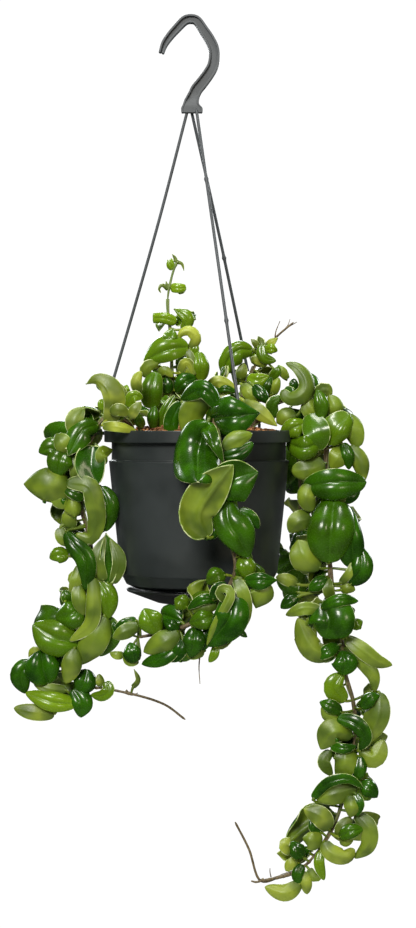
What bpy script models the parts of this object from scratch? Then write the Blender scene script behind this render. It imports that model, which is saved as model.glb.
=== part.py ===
"""A rope plant trailing from a hanging pot: nine leafy stems, soil, pot, clip-on saucer, hook and rods.

Lengths are in millimetres and become metres where a mesh is made. The origin is the inner crest of
the hook, +Z is up and the front is -Y. Stems and leaves stand clear of every other piece.
"""
import math
from dataclasses import astuple, dataclass, replace

import bpy
import numpy as np
from mathutils import Vector
from mathutils.bvhtree import BVHTree

MM = 0.001
GAP = 0.3
SIDES = 32
SHARP_ANGLE = 35.0
CUT_PAST = 3.0

POT_X = 7.4
RIM_TOP = -323.0
RIM_RADIUS = 75.0
RIM_LIP = 1.8
RIM_ROUND = 0.7
SKIRT_LOW = RIM_TOP - 9.4
STEP_LOW = RIM_TOP - 24.0
NECK_RADIUS = 69.2
BODY_RADIUS = 71.4
STEP_SLOPE = 0.6
FOOT_RADIUS = 61.6
FOOT_LEDGE = 0.6
FOOT_TOP = RIM_TOP - 113.5
POT_LOW = RIM_TOP - 124.6
POT_WALL = 1.6
HEEL_RADIUS = 57.6
HEEL_HEIGHT = 3.2
HEEL_INSIDE = HEEL_RADIUS - 1.2
HEEL_INSIDE_HEIGHT = HEEL_HEIGHT + 1.4
FLOOR_RADIUS = 50.5
FLOOR_INSIDE = FLOOR_RADIUS - 0.7
POST_HOLE = 6.3
DRAIN_HOLE = 4.0
DRAIN_CIRCLE = 36.0
DRAINS = 6
HOLE_SIDES = 8
STEM_HOLE_SIDES = 6

LUG_ANGLES = (172.0, 294.0, 52.0)
LUG_REACH = 80.5
LUG_HALF = 6.0
LUG_TOP = RIM_TOP - 1.0
LUG_THICK = 3.0
LUG_SUNK = 1.2
LUG_HOLE = 1.7

SAUCER_RADIUS = 57.4
SAUCER_TOP = POT_LOW - 0.8
SAUCER_LOW = POT_LOW - 11.6
SAUCER_BASE = 33.5
SAUCER_WALL = 1.3
SAUCER_LIP = 1.2
SAUCER_BEAD = 1.8
POST_FOOT = 10.0
POST_RADIUS = 9.0
SNAP_NECK = 6.0
SNAP_HEAD = 7.5
SNAP_TIP = 4.6
SNAP_HEIGHT = 3.6

SOIL_EDGE = RIM_TOP - 2.2
SOIL_CREST = RIM_TOP + 4.4
MOUND_POWER = 1.5
MOUND_RINGS = (0.965, 0.6)
POCKET_RADIUS = 9.0
POCKET_HEIGHT = 7.0
BURIED = 15.0
HOLE_CLEARANCE = 1.2

ROD_RADIUS = 1.25
ROD_SIDES = 6
ROD_KNOB = ((7.2, ROD_RADIUS), (2.2, ROD_RADIUS), (1.6, 2.1), (0.4, 2.1), (-0.4, 1.2))
SOCKET_DEPTH = 4.5

HOOK_BASE = -71.1
HOOK_DEPTH = 8.0
FLANGE = 1.5
WEB = 2.5
HOOK_LINE = (
    (-22.4, -23.7), (-19.8, -16.5), (-15.2, -9.9), (-9.3, -3.3), (-4.0, 2.0), (0.6, 3.4), (5.9, 2.0),
    (11.1, -5.3), (15.8, -12.5), (19.1, -19.8), (19.7, -27.0), (18.4, -34.2), (15.1, -40.2), (9.8, -47.4),
    (5.2, -53.3), (2.6, -60.6), (2.2, -64.0),
)
HOOK_WIDTHS = ((0, 4.2), (0.08, 5.6), (0.26, 6.8), (0.34, 6.8), (0.6, 8.5), (1, 9.6))
HOOK_BLOCK = (
    (-3.2, -60.0), (-6.6, -66.5), (-6.6, HOOK_BASE), (10.5, HOOK_BASE), (10.5, -66.5), (7.4, -60.0),
)
HOOK_BLOCK_HALF = HOOK_DEPTH / 2 + 0.2

STEM_SIDES = 5
STEM_STRIDE = 26.0
STEM_DRIFT = 0.4
STALK_HALF = 1.5
STALK_THICK = 2.2
BLADE_THICK = 1.4
BLADE_EASE = 0.93
MIDRIB_STEPS = 64
LEAF_GRIDS = (
    (24, (0.5,), 3), (38, (0.32, 0.7), 3), (50, (0.32, 0.7), 5), (math.inf, (0.2, 0.5, 0.8), 5),
)
GOLDEN = 0.618
ROUTE_STEP = 2.0
VIEW_DISTANCE = 1620.0
VIEW_X = 14.7
VIEW_Z = -311.0


@dataclass(frozen=True)
class Form:
    """How a blade is bent: angles in radians, bulge and ripple as shares of its half width.

    bend turns the midrib down along its length, each curl turns one half up, twist turns the blade
    about its midrib along its length, and roll turns the whole blade about its stalk.
    """

    bend: float
    curl_left: float
    curl_right: float
    twist: float = 0.0
    bulge: float = 0.0
    ripple: float = 0.0
    roll: float = 0.0


HOOD = Form(1.8, -1.4, -1.1, 0.2, 0.1, 0.08)
DOME = Form(2.4, -1.2, -1.3, 0.1, 0.12, 0.06)
BALL = Form(2.9, -1.4, -1.4, 0.0, 0.08, 0.03)
CUP = Form(-1.8, 1.3, 1.1, 0.3, -0.04, 0.12)
BOWL = Form(-2.6, 1.3, 1.3, 0.1, 0.0, 0.06)
BOAT = Form(0.7, 1.8, 2.0, 0.2, 0.0, 0.08)
ROLL = Form(0.6, -2.2, -2.2)
SADDLE = Form(2.1, 1.7, 1.4, 0.2, 0.0, 0.12, -0.3)
WAVE = Form(2.0, 2.2, -1.5, 0.5, 0.1, 0.14, 0.7)
EVAW = Form(2.0, -1.5, 2.2, -0.5, 0.1, 0.14, -0.7)
FOLD = Form(-1.4, -1.9, 1.4, 0.3, 0.05, 0.14, -0.6)
LOOP = Form(-3.7, 0.7, 0.5, 0.3, 0.0, 0.08)
CURL = Form(3.7, -0.7, -0.5, 0.3, 0.0, 0.08)
FLAT = Form(1.0, -0.6, -0.6, 0.1, 0.1, 0.12)
COMMON_FORMS = (HOOD, WAVE, CUP, SADDLE, EVAW, DOME, FOLD)

SIDE_LETTERS = {
    "F": (0, -1, 0), "B": (0, 1, 0), "U": (0, 0, 1), "D": (0, 0, -1), "L": (-1, 0, 0), "R": (1, 0, 0),
}


@dataclass(frozen=True)
class Spot:
    """A leaf placed by hand in the front view, at the depth of the pot's axis.

    root is where its stalk leaves the stem and blade is the middle of the blade. dark names where
    the dark side looks, strongest first: Front, Back, Up, Down, Left, Right. ahead is 1 where the
    blade stands in front of its root and -1 where it stands behind.
    """

    root_x: float
    root_z: float
    blade_x: float
    blade_z: float
    length: float
    width: float
    form: Form
    dark: str
    ahead: int


@dataclass(frozen=True)
class Stem:
    """One stem: its radius at the soil and at its tip, its hand-set route and its leaves.

    spots are the leaves placed by hand. extra is how many more fill the stem's sides and back,
    bare is the length at its tip that gets none of these, and extra_length is how long they are.
    """

    name: str
    root_radius: float
    tip_radius: float
    route: tuple
    spots: tuple
    extra: int
    bare: float
    extra_length: float = 38.0


@dataclass(frozen=True)
class Leaf:
    """A placed leaf: where it leaves the stem, the blade's own axes, its size and its form."""

    root: np.ndarray
    base: np.ndarray
    out: np.ndarray
    up: np.ndarray
    length: float
    width: float
    form: Form
    stem_radius: float


VINE_FRONT_ROUTE = (
    (9, -48), (13, -56, -316), (18, -72, -313), (21, -88, -322), (24, -96, -337), (26, -96, -352),
    (23, -94, -369), (24, -92, -386), (31, -90, -403), (35, -90, -420), (33, -90, -435),
    (24, -90, -450), (12, -88, -462), (-3, -86, -470), (-18, -82, -475), (-38, -78, -479),
)
VINE_FRONT_SPOTS = (
    Spot(18, -315, -1, -303, 56, 39, CURL, "UF", 1),
    Spot(19, -311, 28, -315, 56, 46, EVAW, "F", 1),
    Spot(18, -315, 4, -343, 61, 48, DOME, "F", 1),
    Spot(12, -313, -13, -321, 39, 19, HOOD, "F", -1),
    Spot(26, -323, 38, -333, 35, 25, CUP, "B", 1),
    Spot(25, -343, 37, -361, 54, 48, SADDLE, "FU", 1),
    Spot(25, -355, 6, -384, 56, 39, CUP, "BR", 1),
    Spot(28, -385, 35, -404, 52, 41, DOME, "F", 1),
    Spot(27, -382, 45, -395, 23, 17, HOOD, "FR", -1),
    Spot(27, -386, 15, -402, 25, 17, HOOD, "F", 1),
    Spot(34, -422, 42, -428, 23, 17, HOOD, "F", 1),
    Spot(32, -428, 19, -438, 24, 20, DOME, "F", 1),
    Spot(34, -426, 52, -447, 39, 29, HOOD, "FR", -1),
    Spot(33, -436, 42, -455, 41, 17, HOOD, "B", 1),
    Spot(29, -442, 28, -466, 72, 48, WAVE, "FL", 1),
    Spot(20, -453, 7, -455, 29, 21, HOOD, "FU", 1),
    Spot(15, -458, -8, -456, 26, 17, DOME, "FU", 1),
    Spot(14, -459, 8, -471, 30, 26, DOME, "F", 1),
    Spot(8, -463, 2, -486, 33, 25, HOOD, "FL", 1),
    Spot(-8, -469, -31, -474, 35, 28, DOME, "F", 1),
    Spot(-6, -467, -13, -478, 26, 22, BALL, "F", 1),
    Spot(-9, -470, -27, -497, 48, 27, BOAT, "BU", 1),
    Spot(-23, -474, -46, -480, 33, 16, ROLL, "BU", 1),
    Spot(-23, -474, -45, -497, 26, 22, BALL, "F", -1),
    Spot(-14, -472, -9, -498, 33, 19, HOOD, "FR", -1),
)
VINE_RIGHT_ROUTE = (
    (50, -8), (57, -10, -313), (70, -12, -301), (86, -14, -299), (100, -16, -310), (107, -18, -331),
    (108, -18, -358), (109, -20, -389), (110, -20, -421), (112, -20, -448), (117, -20, -472),
    (120, -20, -491), (123, -18, -516), (129, -16, -539), (130, -14, -567), (125, -12, -595),
    (120, -12, -617), (112, -12, -638), (101, -12, -655), (90, -12, -667), (75, -12, -673),
    (56, -12, -678), (47, -14, -653), (36, -16, -631),
)
VINE_RIGHT_SPOTS = (
    Spot(76, -297, 82, -285, 72, 30, LOOP, "BL", 1),
    Spot(88, -298, 100, -300, 39, 23, HOOD, "FR", 1),
    Spot(92, -299, 112, -298, 50, 37, SADDLE, "BU", 1),
    Spot(69, -303, 74, -306, 39, 26, SADDLE, "BU", 1),
    Spot(96, -307, 82, -324, 39, 33, DOME, "F", 1),
    Spot(102, -315, 90, -338, 43, 33, DOME, "FL", 1),
    Spot(100, -309, 99, -323, 31, 25, HOOD, "F", 1),
    Spot(102, -309, 115, -323, 46, 39, DOME, "F", 1),
    Spot(102, -313, 129, -321, 37, 27, CUP, "B", -1),
    Spot(106, -339, 92, -353, 35, 31, CUP, "BU", 1),
    Spot(105, -331, 117, -345, 33, 25, CUP, "B", 1),
    Spot(106, -336, 131, -348, 41, 25, HOOD, "BR", -1),
    Spot(106, -356, 113, -366, 48, 67, DOME, "FU", 1),
    Spot(106, -369, 95, -376, 41, 26, LOOP, "BL", 1),
    Spot(107, -361, 120, -373, 33, 23, HOOD, "FR", -1),
    Spot(107, -380, 112, -401, 59, 54, DOME, "F", 1),
    Spot(107, -406, 92, -421, 47, 37, CUP, "B", 1),
    Spot(109, -414, 135, -429, 46, 33, WAVE, "F", -1),
    Spot(111, -430, 119, -448, 37, 27, HOOD, "B", -1),
    Spot(110, -434, 98, -443, 35, 19, HOOD, "FU", -1),
    Spot(112, -448, 108, -467, 52, 72, SADDLE, "UF", 1),
    Spot(115, -472, 94, -485, 52, 25, HOOD, "BL", -1),
    Spot(120, -490, 120, -503, 30, 30, BALL, "F", 1),
    Spot(120, -485, 139, -495, 48, 21, HOOD, "BR", -1),
    Spot(120, -494, 135, -512, 54, 19, HOOD, "BR", 1),
    Spot(123, -512, 116, -526, 37, 25, CUP, "B", 1),
    Spot(128, -541, 108, -544, 31, 23, BOAT, "BU", 1),
    Spot(129, -540, 144, -537, 27, 19, BOAT, "FR", 1),
    Spot(129, -544, 150, -552, 58, 33, HOOD, "BR", -1),
    Spot(130, -552, 120, -564, 48, 41, CUP, "BL", 1),
    Spot(130, -553, 139, -563, 39, 30, DOME, "F", 1),
    Spot(132, -567, 150, -579, 39, 29, CUP, "B", -1),
    Spot(131, -575, 123, -587, 43, 41, BOWL, "BU", 1),
    Spot(131, -577, 109, -587, 39, 19, HOOD, "B", -1),
    Spot(129, -589, 136, -594, 25, 17, HOOD, "F", 1),
    Spot(127, -598, 143, -610, 37, 25, HOOD, "FR", -1),
    Spot(124, -598, 118, -610, 37, 56, CUP, "B", 1),
    Spot(122, -613, 131, -622, 31, 25, CUP, "B", 1),
    Spot(118, -629, 103, -632, 54, 33, WAVE, "BU", -1),
    Spot(109, -642, 139, -642, 54, 29, CUP, "BR", -1),
    Spot(112, -644, 127, -642, 33, 25, BOAT, "BU", 1),
    Spot(108, -647, 120, -660, 43, 23, CUP, "BU", 1),
    Spot(108, -644, 96, -651, 33, 27, CUP, "B", 1),
    Spot(97, -660, 85, -657, 29, 21, HOOD, "FU", 1),
    Spot(94, -666, 76, -653, 27, 16, FLAT, "B", -1),
    Spot(98, -660, 104, -671, 35, 14, HOOD, "B", -1),
    Spot(92, -671, 92, -682, 25, 17, HOOD, "B", 1),
    Spot(89, -671, 85, -678, 24, 20, DOME, "F", 1),
    Spot(94, -666, 101, -676, 23, 16, CUP, "B", -1),
    Spot(89, -678, 73, -688, 50, 23, BOAT, "BU", -1),
)
VINE_LEFT_ROUTE = (
    (-44, -14), (-51, -18, -315), (-62, -22, -311), (-71, -24, -319), (-81, -26, -338),
    (-87, -26, -359), (-85, -24, -381), (-79, -22, -403), (-77, -22, -425), (-82, -22, -450),
    (-90, -20, -472), (-102, -18, -492), (-110, -16, -510), (-111, -14, -527), (-99, -14, -535),
    (-78, -14, -526), (-50, -18, -529), (-21, -22, -537), (-3, -26, -549),
)
VINE_LEFT_SPOTS = (
    Spot(-77, -318, -86, -324, 39, 29, BOAT, "BR", 1),
    Spot(-77, -328, -103, -332, 48, 35, SADDLE, "FU", -1),
    Spot(-84, -331, -107, -347, 41, 33, BALL, "F", 1),
    Spot(-85, -351, -116, -367, 43, 33, CUP, "FL", 1),
    Spot(-82, -339, -77, -350, 35, 31, CUP, "FU", 1),
    Spot(-84, -358, -92, -353, 33, 16, HOOD, "B", -1),
    Spot(-87, -369, -81, -385, 63, 30, LOOP, "BL", 1),
    Spot(-79, -371, -66, -382, 39, 25, HOOD, "FR", 1),
    Spot(-84, -386, -93, -384, 30, 22, LOOP, "B", 1),
    Spot(-77, -404, -90, -414, 37, 24, WAVE, "FU", 1),
    Spot(-77, -417, -104, -423, 23, 16, CUP, "B", -1),
    Spot(-77, -438, -64, -423, 45, 29, BOAT, "BR", 1),
    Spot(-77, -420, -82, -431, 35, 17, HOOD, "FL", 1),
    Spot(-77, -434, -91, -447, 41, 21, CUP, "B", 1),
    Spot(-76, -442, -67, -458, 45, 23, HOOD, "FR", -1),
    Spot(-77, -438, -78, -460, 65, 22, EVAW, "BL", 1),
    Spot(-78, -456, -97, -469, 39, 35, DOME, "F", 1),
    Spot(-78, -450, -97, -456, 20, 15, DOME, "FL", -1),
    Spot(-81, -478, -111, -486, 50, 41, DOME, "FU", 1),
    Spot(-79, -470, -77, -491, 47, 33, CUP, "B", 1),
    Spot(-77, -467, -65, -483, 41, 23, HOOD, "FR", -1),
    Spot(-87, -496, -95, -512, 33, 23, CUP, "B", 1),
    Spot(-93, -498, -108, -512, 30, 24, DOME, "F", 1),
    Spot(-98, -502, -120, -506, 24, 20, DOME, "FU", 1),
    Spot(-106, -513, -131, -517, 46, 35, DOME, "FL", 1),
    Spot(-101, -502, -85, -515, 39, 30, DOME, "FR", 1),
    Spot(-85, -528, -109, -538, 45, 27, BOAT, "BU", 1),
    Spot(-101, -533, -123, -545, 43, 26, WAVE, "FL", -1),
    Spot(-93, -531, -85, -540, 37, 30, DOME, "F", 1),
)
SHOOT_UPRIGHT_ROUTE = (
    (-22, -14), (-18, -14, -311), (-14, -16, -291), (-14, -16, -268), (-15, -16, -244),
    (-17, -16, -221), (-14, -16, -203), (-10, -18, -191),
)
SHOOT_UPRIGHT_SPOTS = (
    Spot(-14, -190, -16, -191, 9, 7, HOOD, "F", -1),
    Spot(-14, -190, -8, -189, 11, 6, CURL, "U", -1),
    Spot(-15, -210, -9, -209, 15, 11, ROLL, "UF", -1),
    Spot(-15, -209, -22, -211, 13, 6, CURL, "U", -1),
    Spot(-14, -237, -21, -235, 23, 18, ROLL, "UF", -1),
    Spot(-14, -239, -4, -234, 23, 16, BOAT, "FR", -1),
    Spot(-13, -255, -19, -257, 48, 35, WAVE, "FU", 1),
    Spot(-12, -255, 2, -247, 39, 22, CURL, "U", -1),
    Spot(-12, -274, 8, -269, 30, 21, HOOD, "FR", -1),
    Spot(-12, -277, -2, -274, 26, 17, CURL, "BU", 1),
    Spot(-14, -283, -28, -286, 39, 21, HOOD, "FL", 1),
    Spot(-14, -291, -2, -286, 28, 21, HOOD, "FU", 1),
    Spot(-14, -282, -20, -278, 18, 13, HOOD, "B", -1),
    Spot(-17, -295, -40, -283, 25, 15, CUP, "B", -1),
    Spot(-19, -302, -27, -310, 21, 11, HOOD, "F", 1),
    Spot(-15, -301, -15, -302, 30, 15, BOAT, "BR", 1),
)
SHOOT_TWIG_ROUTE = (
    (37, 14), (39, 16, -309), (43, 16, -291), (52, 14, -272), (60, 12, -261), (69, 10, -249),
    (83, 8, -237),
)
SHOOT_TWIG_SPOTS = (
    Spot(45, -277, 39, -263, 36, 31, HOOD, "FL", 1),
    Spot(42, -283, 37, -276, 23, 16, HOOD, "B", 1),
    Spot(44, -282, 54, -280, 28, 20, HOOD, "B", -1),
    Spot(53, -269, 62, -256, 20, 17, DOME, "FU", 1),
    Spot(54, -267, 62, -263, 20, 15, DOME, "F", 1),
    Spot(58, -259, 58, -254, 11, 7, FLAT, "B", -1),
    Spot(40, -291, 58, -293, 26, 21, HOOD, "F", -1),
    Spot(39, -299, 28, -298, 25, 20, HOOD, "F", -1),
)
SHOOT_LEFT_ROUTE = (
    (-38, -34), (-43, -40, -312), (-50, -44, -302), (-61, -46, -294),
)
SHOOT_LEFT_SPOTS = (
    Spot(-54, -305, -66, -294, 48, 26, WAVE, "BR", -1),
    Spot(-49, -309, -57, -290, 26, 15, FLAT, "B", -1),
    Spot(-50, -309, -55, -308, 31, 26, LOOP, "BU", 1),
    Spot(-44, -313, -42, -301, 28, 18, BOAT, "BL", -1),
    Spot(-42, -315, -53, -317, 39, 22, EVAW, "BU", 1),
)
SHOOT_CENTRE_ROUTE = (
    (18, 6), (19, 4, -311), (21, 0, -298), (26, -4, -283),
)
SHOOT_CENTRE_SPOTS = (
    Spot(20, -303, 7, -293, 28, 20, HOOD, "BU", -1),
    Spot(22, -295, 26, -286, 44, 31, CURL, "UB", 1),
    Spot(23, -298, 30, -291, 21, 11, HOOD, "F", 1),
    Spot(19, -311, 50, -305, 38, 18, HOOD, "BU", 1),
    Spot(21, -303, 48, -292, 30, 21, HOOD, "B", -1),
)
VINE_RIGHT_BACK_ROUTE = (
    (49, 30), (60, 36, -314), (74, 44, -312), (85, 48, -326), (89, 48, -349), (90, 46, -376),
    (91, 44, -405), (92, 42, -433), (90, 40, -462), (89, 38, -487),
)
VINE_RIGHT_BACK_SPOTS = (
    Spot(88, -331, 82, -345, 39, 27, HOOD, "F", 1),
    Spot(88, -378, 85, -391, 35, 27, CUP, "BU", -1),
    Spot(88, -355, 78, -371, 33, 25, HOOD, "F", -1),
    Spot(88, -422, 77, -436, 35, 27, HOOD, "F", 1),
    Spot(88, -434, 78, -457, 33, 27, HOOD, "F", 1),
    Spot(88, -450, 97, -462, 33, 23, HOOD, "BR", -1),
    Spot(88, -394, 93, -410, 33, 25, HOOD, "FR", -1),
)
SHOOT_BACK_ROUTE = (
    (-8, 44), (-11, 56, -313), (-14, 72, -311), (-16, 86, -320), (-17, 94, -338), (-15, 96, -360),
    (-12, 94, -385), (-12, 92, -408), (-15, 90, -430),
)

STEMS = (
    Stem("vine_front", 1.8, 1.2, VINE_FRONT_ROUTE, VINE_FRONT_SPOTS, 5, 30.0, 32.0),
    Stem("vine_right", 2.0, 0.9, VINE_RIGHT_ROUTE, VINE_RIGHT_SPOTS, 17, 150.0, 36.0),
    Stem("vine_left", 1.8, 0.9, VINE_LEFT_ROUTE, VINE_LEFT_SPOTS, 14, 130.0, 34.0),
    Stem("shoot_upright", 1.5, 0.9, SHOOT_UPRIGHT_ROUTE, SHOOT_UPRIGHT_SPOTS, 2, 90.0, 34.0),
    Stem("shoot_twig", 1.5, 0.8, SHOOT_TWIG_ROUTE, SHOOT_TWIG_SPOTS, 3, 40.0, 32.0),
    Stem("shoot_left", 1.5, 1.0, SHOOT_LEFT_ROUTE, SHOOT_LEFT_SPOTS, 2, 6.0, 30.0),
    Stem("shoot_centre", 1.5, 1.0, SHOOT_CENTRE_ROUTE, SHOOT_CENTRE_SPOTS, 4, 6.0, 34.0),
    Stem("vine_right_back", 1.6, 1.2, VINE_RIGHT_BACK_ROUTE, VINE_RIGHT_BACK_SPOTS, 6, 6.0, 36.0),
    Stem("shoot_back", 1.6, 1.2, SHOOT_BACK_ROUTE, (), 9, 6.0, 38.0),
)


def unit(vector):
    """The vector at length one."""
    return vector / np.linalg.norm(vector)


def turned(vector, axis, angle):
    """The vector turned about a unit axis."""
    along = axis * (axis @ vector) * (1 - math.cos(angle))
    return vector * math.cos(angle) + np.cross(axis, vector) * math.sin(angle) + along


def outline(along):
    """The half width's share along a blade: round at the base, pointed at the tip."""
    return np.sin(math.pi * along ** 0.9) ** (0.62 + 0.45 * along)


def blade_points(leaf, along, across):
    """Points of a blade's middle surface, one row for each place along it.

    The midrib is an arc that turns by the bend. Each half leaves it as an arc of its own curl, the
    halves bulge between midrib and margin, and a wave grows towards the margin.
    """
    form = leaf.form
    steps = np.linspace(0, 1, MIDRIB_STEPS + 1)
    angles = form.bend * steps ** 1.15
    middle = (angles[1:] + angles[:-1]) / 2
    length = leaf.length / MIDRIB_STEPS
    forward = np.interp(along, steps, np.append(0, np.cumsum(np.cos(middle)) * length))[:, None]
    rise = -np.interp(along, steps, np.append(0, np.cumsum(np.sin(middle)) * length))[:, None]
    angle = np.interp(along, steps, angles)[:, None]
    along = along[:, None]
    across = across[None, :]
    half = leaf.width / 2 * outline(along) + STALK_HALF * (1 - along) ** 3
    curl = np.where(across < 0, form.curl_left, form.curl_right) / (leaf.width / 2)
    reach = np.abs(across) * half
    sideways = np.sign(across) * np.sin(curl * reach) / curl
    lift = (1 - np.cos(curl * reach)) / curl
    lift = lift + form.bulge * np.sin(math.pi * np.abs(across)) * half
    wave = np.sin(2 * math.pi * (1.6 * along + 0.25 * across) + leaf.length)
    lift = lift + form.ripple * half * across ** 2 * wave
    turn = form.twist * along
    aside = sideways * np.cos(turn) - lift * np.sin(turn)
    lift = sideways * np.sin(turn) + lift * np.cos(turn)
    ahead = (forward + lift * np.sin(angle))[..., None] * leaf.out
    above = (rise + lift * np.cos(angle))[..., None] * leaf.up
    return leaf.base + ahead + above + aside[..., None] * np.cross(leaf.up, leaf.out)


def smooth_route(points):
    """A Catmull-Rom curve through the points, as points at an even step."""
    knots = np.array(points, float)
    knots = np.vstack([2 * knots[0] - knots[1], knots, 2 * knots[-1] - knots[-2]])
    t = np.linspace(0, 1, 17)[:-1][:, None]
    runs = []
    for a, b, c, d in zip(knots, knots[1:], knots[2:], knots[3:]):
        cubic = (3 * b - a - 3 * c + d) * t ** 3
        runs.append(0.5 * (2 * b + (c - a) * t + (2 * a - 5 * b + 4 * c - d) * t ** 2 + cubic))
    curve = np.vstack(runs + [knots[-2:-1]])
    lengths = np.concatenate([[0], np.cumsum(np.linalg.norm(np.diff(curve, axis=0), axis=1))])
    count = max(3, int(round(lengths[-1] / ROUTE_STEP)) + 1)
    even = np.linspace(0, lengths[-1], count)
    return np.column_stack([np.interp(even, lengths, curve[:, axis]) for axis in range(3)])


def carried_frames(route):
    """Tangents along a route, and side vectors carried along it without turning about it."""
    tangents = np.gradient(route, axis=0)
    tangents = tangents / np.linalg.norm(tangents, axis=1)[:, None]
    sides = np.zeros_like(route)
    side = np.cross(tangents[0], (0.3, -1.0, 0.2))
    for index, tangent in enumerate(tangents):
        side = unit(side - tangent * (side @ tangent))
        sides[index] = side
    return tangents, sides


def soil_height(x, y):
    """The soil's top, highest over the pot's axis."""
    share = math.hypot(x - POT_X, y) / NECK_RADIUS
    return SOIL_CREST + (SOIL_EDGE - SOIL_CREST) * share ** MOUND_POWER


def stem_route(stem):
    """A stem's whole route: straight up out of its hole in the soil, then through its points."""
    x, y = stem.route[0]
    top = soil_height(x, y)
    return smooth_route([(x, y, top - BURIED), (x, y, top + 1), *stem.route[1:]])


@dataclass(frozen=True)
class Rod:
    """A rod of the hanger: the lug's angle, its upper end in the hook, and places it bows through."""

    name: str
    angle: float
    socket: tuple
    middle: tuple = ()


RODS = (
    Rod("rod_left", 172.0, (-0.9, 0.0, HOOK_BASE + SOCKET_DEPTH), ((-28.6, 4.4, -171.6),)),
    Rod("rod_front", 294.0, (5.2, -1.5, HOOK_BASE + SOCKET_DEPTH)),
    Rod("rod_back", 52.0, (0.9, 2.1, HOOK_BASE + SOCKET_DEPTH), ((24.6, 26.4, -169.8),)),
)


ROD_CRANK = ((-2.9, 12.2), (0.6, 9.8), (2.2, 6.2), (1.2, 2.6), (0, 0.2), (0, -7.0))


def rod_ends(angle):
    """The cranked lower end of the rod that drops through the lug at this angle, from the top down."""
    turn = math.radians(angle)
    ends = []
    for beyond, height in ROD_CRANK:
        reach = LUG_REACH + beyond
        ends.append((POT_X + reach * math.cos(turn), reach * math.sin(turn), RIM_TOP + height))
    return ends


def rod_route(rod):
    """A rod's points from its socket in the hook to its lower end."""
    return smooth_route([rod.socket, *rod.middle, *rod_ends(rod.angle)])


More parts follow.
